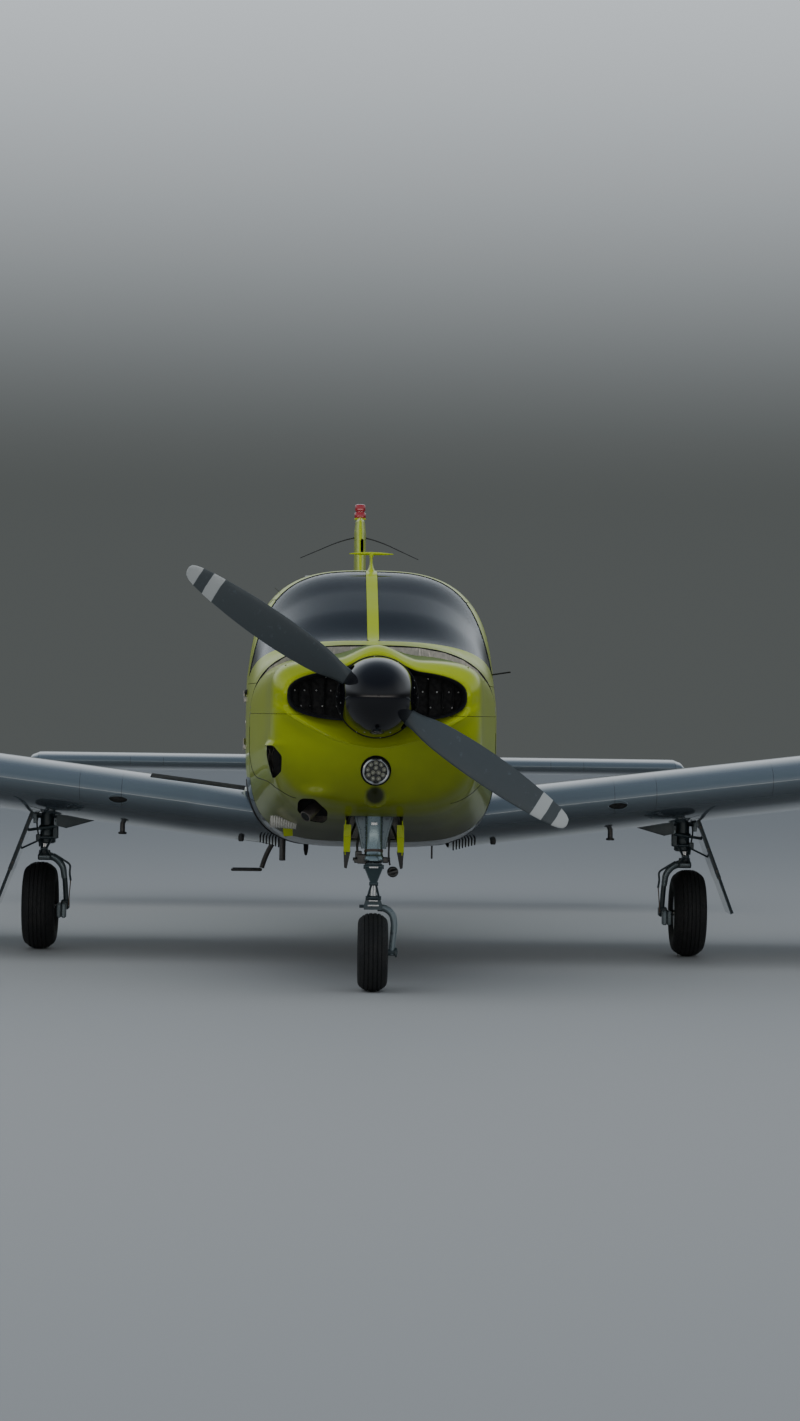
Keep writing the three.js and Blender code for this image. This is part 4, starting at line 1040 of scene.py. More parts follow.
@dataclass(frozen=True)
class Blade(Finish):
    """Propeller paint: slate, with three bands near the tip by distance from the shaft."""

    shaft_z: float = 1.24
    bands: tuple[float, float, float] = (0.788, 0.839, 0.886)

    def shade(self, shader: Shader) -> None:
        """The distance from the shaft picks band or ground; chips and roughness follow noise.

        Args:
            shader: the material's nodes.
        """
        x, _, z = shader.axes()
        away = shader.length(x, shader.math("SUBTRACT", z, self.shaft_z))
        away = shader.math("ADD", away, shader.multiply_add(shader.noise(30.0, 4.0), 0.006, -0.003))
        inner, middle, outer = self.bands
        edges = [shader.ramp(away, edge - 1.0 * MM, edge + 1.0 * MM) for edge in (inner, middle, outer)]
        light = shader.math("ADD", shader.math("SUBTRACT", edges[0], edges[1]), edges[2])
        chips = shader.ramp(shader.noise(45.0, 8.0), 0.62, 0.72, 0.0, 0.45)
        ground = shader.mix(chips, rgba(self.color), rgba(self.color, 1.9))
        shader.set(
            Base_Color=shader.mix(light, ground, rgba(BAND_COLOR)),
            Roughness=shader.ramp(shader.noise(25.0, 5.0), 0.3, 0.7, 0.36, 0.52),
            Metallic=0.1,
        )
        shader.bump(shader.noise(140.0, 4.0), 0.15, 0.3 * MM)


LIME_COLOR = (0.33, 0.405, 0.0015)
SILVER_COLOR = (0.1, 0.13, 0.155)
LIME = Paint("lime_gloss", LIME_COLOR, 0.3, coat=0.4, specular=0.2)
SIDE_LIME = Paint("lime_over_silver", LIME_COLOR, 0.3, coat=0.4, specular=0.2, skirt=SILVER_COLOR)
# The lower cowl darkens towards its foot with painted shade and soiling, and its round hollow holds painted
# shade.
COWL_LIME = Paint(
    "lime_gloss_cowl", LIME_COLOR, 0.3, coat=0.4, specular=0.2, grime_and_shade=Belt.LOW, deck=(-3.2, 1.388),
    dent=(0.0, 0.829, 0.046),
)
SILVER = Paint(
    "silver_blue_gloss", SILVER_COLOR, 0.16, flake=0.3, drift=0.03, seams=(1.155, 1.352, 1.9, 2.6, 3.4, 4.2),
    rivets=(0.29, 0.025),
)
BEACON_RED = Paint("beacon_red", (0.3, 0.002, 0.012), 0.12)
TIP_RED = Paint("tip_red", (0.35, 0.004, 0.004), 0.12)
TIP_GREEN = Paint("tip_green", (0.004, 0.2, 0.03), 0.12)
CARPET = Satin("cabin_carpet", (0.03, 0.031, 0.034), 0.95, grain=700.0, dusty=0.1)
BELLY = Paint("belly_grey", (0.035, 0.041, 0.045), 0.35, coat=0.5, drift=0.25)
BLACK_GLOSS = Paint("black_gloss", (0.004, 0.004, 0.006), 0.12, coat=0.6, drift=0.2, specular=0.1)
# Near-black painted shade for insides, wells, holes and the cut edges round them.
VOID_SHADE = Satin("bay_black", (0.004, 0.004, 0.004), 0.8, dusty=0.05)
GEAR_GREY = Satin("gear_teal", (0.028, 0.045, 0.052), 0.38, dusty=0.25, flake=0.15)
LEG_METAL = Satin("leg_grey_metal", (0.2, 0.26, 0.28), 0.24, dusty=0.1, flake=0.85)
GEAR_LIGHT = Satin("fork_blue_grey", (0.13, 0.165, 0.18), 0.3, dusty=0.25, flake=0.3)
CHROME = Metal("chrome", (0.62, 0.62, 0.61), 0.14, wear=0.15)
STEEL = Metal("steel", (0.34, 0.33, 0.32), 0.35, grain=(1, 1, 0.15))
DARK_STEEL = Metal("dark_steel", (0.09, 0.088, 0.085), 0.45)
ALLOY = Metal("alloy", (0.5, 0.51, 0.52), 0.3)
RUBBER = Rubber("tyre_rubber", (0.006, 0.0065, 0.007), 0.8)
SEAL = Rubber("seal_rubber", (0.008, 0.008, 0.008), 0.7)
WINDOW = Glass("window_tint", (0.2, 0.235, 0.27), 0.015)
LENS = Glass("lamp_lens", (0.95, 0.94, 0.9), 0.02)
CELL = Satin("lamp_cell", (0.34, 0.35, 0.27), 0.2, dusty=0.0)
# Near-black painted shade for the engine bay seen through the cooling inlets and holes.
BAFFLE_SHADE = Satin("baffle_shade_black", (0.004, 0.004, 0.005), 0.7, dusty=0.1)
SHIELD = Satin("shield_cloth", (0.012, 0.012, 0.013), 0.9, grain=800.0, dusty=0.1)
EXHAUST = Metal("exhaust_steel", (0.26, 0.23, 0.21), 0.5, wear=0.75)
LINING = Satin("cabin_lining", (0.17, 0.17, 0.165), 0.7, grain=220.0)
PANEL = Satin("panel_black", (0.015, 0.015, 0.016), 0.55)
DIAL = Satin("dial_face", (0.006, 0.006, 0.006), 0.3, dusty=0.0)
MARKS = Satin("dial_marks", (0.75, 0.75, 0.72), 0.5, dusty=0.0)
HIDE = Leather("seat_hide", (0.05, 0.046, 0.042), 0.45)
ENGINE = Metal("engine_iron", (0.05, 0.05, 0.052), 0.55)
DUCT = Satin("duct_cloth", (0.42, 0.41, 0.38), 0.75, grain=300.0)
GRIT = Satin("walkway_grit", (0.012, 0.012, 0.013), 0.9, grain=900.0, dusty=0.35)
BLADE = Blade("blade_slate", (0.045, 0.056, 0.062), 0.42)


@dataclass(frozen=True)
class Sections:
    """A skin of superellipse sections; each table row is its parameter, then the columns named below."""

    table: tuple[tuple[float, ...], ...]
    hump_width: float = 0.21

    def row(self, along: Array) -> Array:
        """Station, half width, bottom, top, widest height, upper and lower power and hump at a parameter."""
        data = np.array(self.table)
        return cubic(data[:, 0], data[:, 1:], along)

    def point(self, along: Array, angle: Array, inset: float = 0.0) -> Array:
        """The skin's points.

        In its section, a point lies in the direction of an angle whose cosine runs to port and sine up.
        Its reach is the angle's superellipse radius, (|cos|^n + |sin|^n)^(-1/n), times the half width
        across and the half height up, with one n above the widest height and another below. A cosine
        bump over the centre line adds the hump.

        Args:
            along: the table's parameter.
            angle: the direction in the section, in radians.
            inset: a distance that every section is drawn in by.

        Returns:
            The points, one row each.
        """
        station, width, bottom, top, middle, upper, lower, hump = np.moveaxis(self.row(along), -1, 0)
        c, s = np.cos(angle), np.sin(angle)
        power = np.where(s >= 0, upper, lower)
        reach = (np.abs(c) ** power + np.abs(s) ** power) ** (-1 / power)
        x = (width - inset) * reach * c
        tall = np.where(s >= 0, top - middle, middle - bottom) - inset
        z = middle + tall * reach * s
        near = np.cos(np.clip(np.pi * x / (2 * self.hump_width), -np.pi / 2, np.pi / 2)) ** 2
        z = z + np.where(s > 0, hump * near * smoothstep(s, 0.0, 0.5), 0)
        return points_at(x, station, z)

    def beside(self, side: Side, station: Array, z: Array, inset: float = 0.0) -> Array:
        """The skin's points on one side at given stations and heights, for a table by station.

        Args:
            side: the side of the aircraft.
            station: the points' stations.
            z: the points' heights.
            inset: how far inside the skin they lie.

        Returns:
            The points.
        """
        _, width, bottom, top, middle, upper, lower, _ = np.moveaxis(self.row(station), -1, 0)
        high = z >= middle
        power = np.where(high, upper, lower)
        tall = np.where(high, top - middle, middle - bottom) - inset
        share = np.clip(np.abs(z - middle) / tall, 0, 1)
        x = side.value * (width - inset) * (1 - share**power) ** (1 / power)
        return points_at(x, station, z)


def station_rows(*rows: Point) -> tuple[tuple[float, ...], ...]:
    """Table rows in millimetres whose parameter is their station, as metres and with no hump."""
    return tuple(
        (s * MM, s * MM, w * MM, bottom * MM, top * MM, middle * MM, upper, lower, 0.0)
        for s, w, bottom, top, middle, upper, lower in rows
    )


# Station, half width, bottom, top, widest height, upper power, lower power
BODY = Sections(
    station_rows(
        (1300, 545, 605, 1475, 1100, 3.0, 4.0),
        (1450, 556, 590, 1497, 1110, 2.9, 4.0),
        (1800, 570, 562, 1652, 1130, 2.7, 4.0),
        (2000, 576, 555, 1735, 1150, 2.7, 4.0),
        (2250, 580, 550, 1832, 1190, 2.95, 4.0),
        (2600, 582, 550, 1853, 1200, 3.0, 4.0),
        (3000, 577, 552, 1855, 1200, 3.0, 4.0),
        (3400, 556, 560, 1822, 1190, 3.0, 4.0),
        (3700, 525, 570, 1745, 1170, 2.9, 3.8),
        (4050, 477, 586, 1615, 1125, 2.8, 3.6),
        (4400, 425, 606, 1510, 1080, 2.7, 3.4),
        (5200, 297, 668, 1362, 1020, 2.5, 3.0),
        (6000, 190, 748, 1245, 995, 2.4, 2.7),
        (6700, 113, 822, 1140, 980, 2.4, 2.5),
        (7230, 55, 890, 1070, 976, 2.3, 2.4),
    )
)


def plane_of(points: Array) -> Array:
    """The side view of points: station and height."""
    return np.stack([points[:, 1] + LENGTH / 2, points[:, 2]], -1)


def side_view(outline: Outline, by: float = 0.0) -> Region:
    """The distance, in side view, of points from an outline moved outward by a distance."""
    shape = outline.grown(by)
    return lambda points: shape.distance(plane_of(points))


def top_view(outline: Outline) -> Region:
    """The distance, seen from above, of points from an outline of (x, station) corners."""
    return lambda points: outline.distance(np.stack([points[:, 0], points[:, 1] + LENGTH / 2], -1))


def front_view(outline: Outline, by: float = 0.0) -> Region:
    """The distance, seen from ahead, of points from an outline of (x, z) corners moved outward."""
    shape = outline.grown(by)
    return lambda points: shape.distance(points[:, ::2])


def disc_view(x: float, z: float, radius: float) -> Region:
    """The distance, seen from ahead, of points from a circle."""
    return lambda points: np.hypot(points[:, 0] - x, points[:, 2] - z) - radius


def common(*regions: Region) -> Region:
    """What lies in every region."""
    return lambda points: np.max([region(points) for region in regions], 0)


def without(region: Region, *holes: Region) -> Region:
    """What lies in a region and in none of the holes."""
    return lambda points: np.max([region(points), *(-hole(points) for hole in holes)], 0)


def everywhere(points: Array) -> Array:
    """A region that holds every point."""
    return np.full(len(points), -1.0)


def beyond(axis: int, level: float, sign: int = 1) -> Region:
    """What lies above a level on an axis, or below it where the sign is negative."""
    return lambda points: sign * (level - points[:, axis])


def steps(low: float, high: float, cell: float) -> Array:
    """Even values from low to high, no further apart than a cell."""
    return np.linspace(low, high, max(int(math.ceil((high - low) / cell)) + 1, 2))


WINDSCREEN = Outline(((1.4, 1.513), (1.95, 1.33), (2.31, 1.836), (2.31, 2.1), (1.4, 2.1)), 0.012)
DOOR = Outline(
    (
        (1.99, 0.975), (1.99, 1.325), (2.325, 1.742), (2.835, 1.745),
        (2.868, 1.7), (2.868, 1.0), (2.82, 0.942), (2.03, 0.942),
    ),
    0.02,
)
FRONT_WINDOW = Outline(((2.085, 1.345), (2.365, 1.69), (2.8, 1.69), (2.812, 1.345)), 0.04)
REAR_WINDOW = Outline(((2.935, 1.345), (2.935, 1.668), (3.28, 1.61), (3.585, 1.36), (3.57, 1.345)), 0.035)
BAGGAGE_DOOR = Outline(((3.79, 0.86), (3.79, 1.29), (4.26, 1.262), (4.26, 0.88)), 0.04)
SIDE_PANEL = Outline(
    (
        (1.3, 0.78), (1.3, 1.3), (1.95, 1.3), (1.95, 1.33),
        (2.213, 1.7), (3.0, 1.7), (4.403, 1.41), (4.403, 0.78),
    ),
    0.002,
)
ROOF_PANEL = Outline(
    ((2.213, 1.7), (2.31, 1.836), (2.31, 2.1), (4.403, 2.1), (4.403, 1.41), (3.0, 1.7)), 0.002
)
DECK_PANEL = Outline(((1.3, 1.3), (1.95, 1.3), (1.95, 1.33), (1.4, 1.513), (1.3, 1.546)), 0.002)
BELLY_PANEL = Outline(((1.3, 0.78), (4.403, 0.78), (4.403, 0.3), (1.3, 0.3)), 0.002)
CANOPY_POST = 0.026


@dataclass
class Fuselage:
    """The cabin's skins, glass and doors, and the tail cone behind them."""

    cell: float = 0.0175
    wall: float = 0.03
    gap: float = 1.2 * MM
    pane: float = 6 * MM
    pane_depth: float = 3 * MM
    pane_gap: float = 1.5 * MM
    door_gap: float = 2.5 * MM
    tail_end: float = 7.23
    tail_low: float = 1.059
    floor: float = 0.7
    notch: Outline = Outline(((6.48, 0.6), (6.48, 0.936), (6.78, 0.936), (7.3, 1.076), (7.3, 0.6)), 0.01)
    middle: tuple[float, float, float] = at(0, 2.8, 1.15)
    arc: float = 0.5
    # Height, half width, half length, in millimetres
    aerial: tuple[tuple[float, float, float], ...] = (
        (1832, 30, 90), (1846, 21, 75), (1862, 13, 60), (1882, 8.5, 48),
        (1908, 7.5, 40), (1918, 11, 36), (1927, 16, 30), (1930, 0, 0),
    )
    # Station, height
    root_seal: Table = (
        (2.34, 0.85), (2.2, 0.822), (2.1, 0.77), (2.05, 0.7), (2.07, 0.64), (2.14, 0.585), (2.3, 0.56)
    )

    def panel(
        self,
        region: Region,
        span: Pair,
        degrees: Pair,
        thick: float,
        inset: float = 0.0,
        skin: Sections = BODY,
    ) -> Solid:
        """One panel of the skin.

        Args:
            region: what of the skin belongs to it.
            span: its first and last station.
            degrees: its first and last direction in the section.
            thick: its thickness.
            inset: how deep under the skin it lies.
            skin: the skin that it is part of.

        Returns:
            The panel.
        """
        low, high = (math.radians(d) * self.arc for d in degrees)

        def surface(u: Array, v: Array) -> Array:
            """The skin at stations and arc lengths."""
            return skin.point(u, v / self.arc, inset)

        along, round_it = steps(*span, self.cell), steps(low, high, self.cell)
        return trimmed(surface, along, round_it, region, thick, self.middle)

    def build(self) -> None:
        """Makes every piece."""
        cabin = (1.3, 4.403)
        port, starboard = (-62, 78), (102, 242)
        dressed = (SIDE_LIME, LINING, SEAL)
        glazing = side_view(REAR_WINDOW, self.pane_gap / 2)
        front = side_view(FRONT_WINDOW, self.pane_gap / 2)
        side = side_view(SIDE_PANEL, -self.gap)
        side_port = self.panel(without(side, glazing, front), cabin, port, self.wall)
        make("side_skin_port", [side_port], dressed, "body_lime", "side_port")
        door_hole = side_view(DOOR, self.door_gap)
        baggage_hole = side_view(BAGGAGE_DOOR, self.door_gap)
        region = without(side, glazing, door_hole, baggage_hole)
        side_starboard = self.panel(region, cabin, starboard, self.wall)
        make("side_skin_starboard", [side_starboard], dressed, "body_lime", "side_starboard")
        roof = self.panel(side_view(ROOF_PANEL, -self.gap), (2.2, 4.403), (8, 172), self.wall)
        post_region = common(side_view(WINDSCREEN, self.gap), self.near_middle(CANOPY_POST))
        post = self.panel(post_region, (1.3, 2.4), (60, 120), self.wall)
        aerial = oval_post(0, 2.38, mm(*self.aerial))
        across = np.array([-0.105, -0.05, 0, 0.05, 0.105])
        swell = 8 * MM * np.sin(np.linspace(0.25, math.pi - 0.25, 33))
        bar = bent([at(x, 2.38, 1.93 - 0.12 * x * x) for x in across], swell, 16, 33)
        fairing = tagged(0, aerial, bar)
        make("cabin_roof_skin", [roof, post, *fairing], dressed, "body_lime", "cabin_roof")
        deck = self.panel(side_view(DECK_PANEL, -self.gap), (1.3, 2.0), (0, 180), self.wall)
        make("forward_deck_skin", [deck], dressed, "body_lime", "forward_deck")
        self.belly(cabin)
        self.fittings()
        self.windows()
        self.doors()
        self.tail()

    def belly(self, cabin: Pair) -> None:
        """The belly skin with the cabin floor, and the aerial, drains, teeth and boarding step below it.

        Args:
            cabin: the stations at which the panel begins and ends.
        """
        skin = self.panel(side_view(BELLY_PANEL, -self.gap), cabin, (180, 360), self.wall)
        along = steps(cabin[0] + 0.04, cabin[1] - 0.01, 0.1)
        half = BODY.beside(Side.PORT, along, np.full(len(along), self.floor), self.wall + 6 * MM)[:, 0]
        across = np.stack([-half, half, half, -half], 1)
        deep = np.broadcast_to([self.floor, self.floor, self.floor + 0.02, self.floor + 0.02], across.shape)
        floor = capped(points_at(across, along[:, None], deep))
        rows = [(0.57, 2.88, 3.03, 1.4), (0.552, 2.9, 3.02, 1.0), (0.5, 2.95, 3.01, 0.9)]
        blade = foil_post(-0.292, [*rows, (0.474, 2.975, 3.0, 0.5), (0.47, 2.98, 2.998, 0)], 0.026)
        drains = [
            rod(at(0.324, 2.9, 0.565), at(0.324, 2.9, 0.466), 4.5 * MM),
            rod(at(-0.395, 1.62, 0.6), at(-0.395, 1.6, 0.505), 0.014),
            rod(at(0.05, 1.9, 0.57), at(0.05, 1.93, 0.51), 6 * MM),
        ]
        teeth = []
        for side in Side:
            for k in range(8):
                x, z = side.value * (0.405 + 0.0145 * k), 0.532 + 0.0038 * k
                teeth.append(beam(at(x, 2.3, z + 0.06), at(x, 2.32, z), (4.5 * MM, 9 * MM), (3 * MM, 4 * MM)))
        shank = [(-0.31, 0.6), (-0.4, 0.565), (-0.462, 0.5), (-0.508, 0.41), (-0.522, 0.366)]
        step = bent([at(x, 3.9, z) for x, z in shank], 0.013, 16)
        tread = block(at(-0.68, 3.85, 0.35), at(-0.52, 3.96, 0.362), 4 * MM)
        grit = block(at(-0.672, 3.858, 0.361), at(-0.528, 3.952, 0.364), 1 * MM)
        solids = [skin, floor.tagged(3), blade.tagged(2), *tagged(4, *drains), *tagged(2, *teeth)]
        solids += [*tagged(4, step, tread), grit.tagged(5)]
        dressed = (BELLY, LINING, SEAL, CARPET, DARK_STEEL, GRIT)
        make("belly_skin", solids, dressed, "belly_grey", "belly_pan")

    def fittings(self) -> None:
        """Root seals, the knob and the probe on the cabin's sides, and the hinge barrels of both doors."""
        seals = []
        for side in Side:
            station, z = smooth(self.root_seal, 40).T
            seals.append(tube(BODY.beside(side, station, z, -1 * MM), 9 * MM, 10))
        knob = BODY.beside(Side.STARBOARD, np.array([1.9]), np.array([1.263]))[0]
        seals.append(ellipsoid(knob, (0.014, 0.02, 0.012)))
        probe = BODY.beside(Side.PORT, np.array([2.03]), np.array([1.36]))[0]
        route = [probe, probe + (0.075, 0, 0.012), probe + (0.08, -0.03, 0.012)]
        seals.append(tube(np.array(route), 3.5 * MM))
        make("side_fittings", seals, SEAL, "panel_black")
        for door, x, station, heights in (
            ("cabin_door", -0.584, 1.99, (1.01, 1.23)), ("baggage_door", -0.522, 3.79, (0.96, 1.19))
        ):
            for body, kind, lift, aft in (("airframe", "fixed", -0.013, -1), (door, "moving", 0.0134, 1)):
                barrels = []
                for z in heights:
                    foot = z + lift
                    barrels.append(rod(at(x, station, foot), at(x, station, foot + 0.026), 7.5 * MM, 20))
                    corners = [(d, h) for d in (2 * MM, 0.03) for h in (1 * MM, 0.025)]
                    leaf = [at(x - 3 * MM, station + aft * d, foot + h) for d, h in corners]
                    barrels.append(block(np.min(leaf, 0), np.max(leaf, 0) + (0.016, 0, 0), 2 * MM))
                make(f"{door}_hinge_{kind}", barrels, STEEL, "bare_metal", body=body)

    def near_middle(self, half: float) -> Region:
        """What lies within a half width of the centre plane."""
        return lambda points: np.abs(points[:, 0]) - half

    def windows(self) -> None:
        """Curved panes, each a little smaller than its opening and a little under the skin."""
        def pane(
            name: str, region: Region, along: Pair, degrees: Pair, node: str, body: str = "airframe"
        ) -> None:
            """Makes one pane, which stands for a node and rides on a body."""
            solid = self.panel(region, along, degrees, self.pane, self.pane_depth)
            make(name, [solid], WINDOW, "window_clear", node, body=body)

        inner = -self.pane_gap / 2
        for side in Side:
            degrees = (0, 85) if side is Side.PORT else (95, 180)
            label = side.label
            rear = side_view(REAR_WINDOW, inner)
            pane(f"rear_pane_{label}", rear, (2.9, 3.6), degrees, f"rear_window_{label}")
            beside = side.value * (CANOPY_POST + self.pane_gap)
            half = common(side_view(WINDSCREEN, inner), beyond(0, beside, side.value))
            degrees = (0, 95) if side is Side.PORT else (85, 180)
            pane(f"screen_pane_{label}", half, (1.38, 2.36), degrees, f"windscreen_{label}")
        front = side_view(FRONT_WINDOW, inner)
        pane("front_pane_port", front, (2.05, 2.85), (0, 85), "front_window_port")
        pane("door_pane", front, (2.05, 2.85), (95, 180), "door_window", "cabin_door")

    def doors(self) -> None:
        """The cabin door and the baggage door, with trim inside and their handles."""
        hole = side_view(FRONT_WINDOW, self.pane_gap / 2)
        region = without(side_view(DOOR, -self.gap), hole)
        door = self.panel(region, (1.97, 2.89), (95, 210), self.wall)
        body = "cabin_door"
        make("cabin_door_skin", [door], (SIDE_LIME, LINING, SEAL), "body_lime", "cabin_door", body=body)
        stations, heights = np.array([2.76, 2.76, 2.62]), np.array([1.12, 1.12, 1.125])
        pull = BODY.beside(Side.STARBOARD, stations, heights, -5 * MM)
        scoop = ellipsoid(pull[0] + (6 * MM, 0, 0), (6 * MM, 0.055, 0.024), 0.5)
        lever = beam(pull[1], pull[2], (9 * MM, 3 * MM), (6 * MM, 2.5 * MM), (0, 0, 1))
        latch = ellipsoid(BODY.point(np.array([2.55]), np.radians([118.0]))[0], (0.02, 0.03, 6 * MM), 0.6)
        stations, heights = np.array([2.5, 2.75]), np.array([1.08, 1.08])
        inside = BODY.beside(Side.STARBOARD, stations, heights, self.wall + 4 * MM)
        rest = ellipsoid(inside.mean(0) + (0.02, 0, 0), (0.028, 0.16, 0.022), 0.5)
        solids = [scoop.tagged(1), *tagged(0, lever, latch), rest.tagged(2)]
        make("cabin_door_handle", solids, (CHROME, PANEL, LINING), "bare_metal", body=body)
        region = side_view(BAGGAGE_DOOR, -self.gap)
        hatch = self.panel(region, (3.77, 4.28), (120, 240), self.wall)
        body = "baggage_door"
        make("baggage_door_skin", [hatch], (LIME, LINING, SEAL), "body_lime", "baggage_door", body=body)
        lock = BODY.beside(Side.STARBOARD, np.array([4.2]), np.array([1.08]))[0]
        button = ellipsoid(lock, (3 * MM, 0.014, 0.014))
        make("baggage_door_lock", [button], CHROME, "bare_metal", body=body)

    def tail(self) -> None:
        """The tail cone, open below for the stabilator and closed at its end."""
        start, end = beyond(1, 4.406 - LENGTH / 2), beyond(1, self.tail_end - LENGTH / 2)
        region = without(start, side_view(self.notch), end)
        along = steps(4.4, 7.24, 0.034)
        cone = wrapped(BODY.point, self.arc, along, 144, region, 4 * MM, at(0, 5.6, 1.0), 0.0)
        rim = BODY.point(np.full(200, self.tail_end), circle(200))
        rim[:, 2] = np.maximum(rim[:, 2], self.tail_low)
        centre = rim.mean(0)
        shares = [(0.97, -6 * MM), (1, 0), (0.93, 12 * MM), (0.7, 24 * MM), (0.4, 31 * MM), (0, 34 * MM)]
        rows = [centre + (rim - centre) * share + np.array([0, aft, 0]) for share, aft in shares]
        metal = []
        ring = mm((13.5, -6), (25.5, -6), (27, -4), (27, 4), (25.5, 6), (13.5, 6))
        for x in (-0.062, 0.062):
            metal.append(lathe(ring, at(x, 6.76, 0.87), (1, 0, 0), 40, closed=True))
            half = (0.02, 5.5 * MM)
            metal.append(beam(at(x, 6.76, 0.892), at(x, 6.76, 0.954), half, half, (0, 1, 0)))
        lug = mm((-30, 20), (-20, 65), (20, 65), (30, 20), (30, -5), (-30, -5))
        shape = np.array([at(0, 6.29 + a, 0.735 + b) for a, b in lug])
        metal.append(slab(shape, (-5 * MM, 0, 0), (5 * MM, 0, 0)))
        loop = np.array([at(0, 6.29 + 0.016 * math.sin(a), 0.749 + 0.014 * math.cos(a)) for a in circle(32)])
        metal.append(tube(loop, 4 * MM, closed=True))
        solids = [cone, grid(np.array(rows), wrap_columns=True), *tagged(3, *metal)]
        make("tail_cone_skin", solids, (LIME, VOID_SHADE, LIME, STEEL), "body_lime", "tail_cone")


def foil_half(share: Array) -> Array:
    """Half the height of a section as thick as long, by the four-digit polynomial of the chord's share."""
    u = np.clip(share, 0, 1)
    return 5 * (0.2969 * np.sqrt(u) - 0.126 * u - 0.3516 * u**2 + 0.2843 * u**3 - 0.1015 * u**4)


def foil_camber(share: Array, camber: float) -> Array:
    """The mean line's height as a share of the chord: two parabolas that meet at 0.4 of the chord."""
    u = np.clip(share, 0, 1)
    return camber * np.where(u < 0.4, u * (0.8 - u) / 0.16, (0.2 + 0.8 * u - u * u) / 0.36)


@dataclass(frozen=True)
class Lifting:
    """A wing or tail surface; the plane of its sections is turned into place by the place method."""

    chord: float
    thick: float
    camber: float
    hinge: float
    ends: tuple[tuple[float, float, float], ...]

    def place(self, span: Array, aft: Array, up: Array) -> Array:
        """The place of a point of a section."""
        raise NotImplementedError

    def mean(self, share: Array) -> Array:
        """The mean line's height at shares of the chord, as a share of the chord."""
        return foil_camber(share, self.camber)

    def half(self, share: Array) -> Array:
        """Half the thickness at shares of the chord, as a share of the chord."""
        return self.thick * foil_half(share)

    def section(self, angle: Array) -> tuple[Array, Array]:
        """Chord share and height share round a section: over the top at 0 to pi, below at pi to two pi."""
        u = (1 + np.cos(angle)) / 2
        half = self.half(u) * np.where(np.sin(angle) >= 0, 1, -1)
        return u, half

    def point(self, span: Array, angle: Array) -> Array:
        """The skin's points; near the ends the section is thinned and shortened by the ends table.

        Args:
            span: distance outboard.
            angle: angle round the section.

        Returns:
            The points.
        """
        u, half = self.section(angle)
        table = np.array(self.ends)
        share = np.interp(np.abs(span), table[:, 0], table[:, 1])
        pull = np.interp(np.abs(span), table[:, 0], table[:, 2])
        up = (self.mean(u) + half * share) * self.chord
        return self.place(span, self.chord * (pull + u * (1 - 2 * pull)), up)

    def nose(self) -> float:
        """The radius of the trailing surface's nose, about its hinge."""
        return float(self.half(np.array(self.hinge)) * self.chord)

    def flat(self, share: Array) -> tuple[Array, Array, Array]:
        """Distance aft, mean height and half height at shares of the chord."""
        return share * self.chord, self.mean(share) * self.chord, self.half(share) * self.chord

    def trailing(
        self, spans: Sequence[float], slots: Sequence[float], slot_half: float, slot_depth: float
    ) -> Solid:
        """A flap, aileron or tab: a round nose about the hinge and the section's tail, notched at its hinges.

        Args:
            spans: where it begins and ends.
            slots: the places of its hinges.
            slot_half: half the width of a notch.
            slot_depth: how far behind the hinge line a notch reaches.

        Returns:
            The closed surface.
        """
        radius = self.nose()
        pivot, level, _ = (float(v) for v in self.flat(np.array(self.hinge)))
        turn = np.linspace(0, np.pi, 21)[1:-1]
        shares = np.linspace(1, self.hinge, 14)
        aft, mid, half = self.flat(shares)
        profile_aft = np.concatenate([aft, pivot - radius * np.sin(turn), aft[::-1]])
        profile_up = np.concatenate([mid + half, level + radius * np.cos(turn), (mid - half)[::-1]])
        limit = pivot + slot_depth
        _, cut_mid, cut_half = self.flat(np.maximum(profile_aft, limit) / self.chord)
        cut_aft = np.maximum(profile_aft, limit)
        cut_up = np.clip(profile_up, cut_mid - cut_half, cut_mid + cut_half)
        places = [(spans[0], False)]
        for slot in slots:
            low, high = slot - slot_half, slot + slot_half
            places += [(low, False), (low, True), (high, True), (high, False)]
        places.append((spans[1], False))
        rows = []
        for span, notched in places:
            a, b = (cut_aft, cut_up) if notched else (profile_aft, profile_up)
            rows.append(self.place(np.full(len(a), span), a, b))
        return capped(np.array(rows))

    def cove(self, spans: Sequence[float], clear: float, deep: float) -> Solid:
        """The wall round a trailing surface's nose, from lip to lip, closed flat at its ends.

        Args:
            spans: where its two ends are.
            clear: the gap round the nose.
            deep: its thickness.

        Returns:
            The wall.
        """
        nose = self.nose()
        radius = nose + clear
        pivot, level, _ = (float(v) for v in self.flat(np.array(self.hinge)))
        lip = math.sqrt(radius**2 - nose**2) + clear
        top = math.acos(lip / radius)
        turn = np.linspace(top, -top, 25)
        both = np.concatenate([turn, turn[::-1]])
        reach = np.concatenate([np.full(25, radius), np.full(25, radius + deep)])
        aft, up = pivot - reach * np.cos(both), level + reach * np.sin(both)
        rows = [self.place(np.full(50, s), aft, up) for s in spans]
        return capped(np.array(rows))

    def rib(self, span: float, start: float, thick: float) -> Solid:
        """A flat rib that closes the section from a share of the chord to its tail.

        Args:
            span: where it stands.
            start: the share at which it begins.
            thick: its thickness.

        Returns:
            The rib.
        """
        aft, mid, half = self.flat(np.linspace(start, 1, 16))
        ring_aft = np.concatenate([aft, aft[::-1]])
        ring_up = np.concatenate([mid + half, (mid - half)[::-1]])
        rows = [self.place(np.full(32, s), ring_aft, ring_up) for s in (span, span + thick)]
        return capped(np.array(rows))


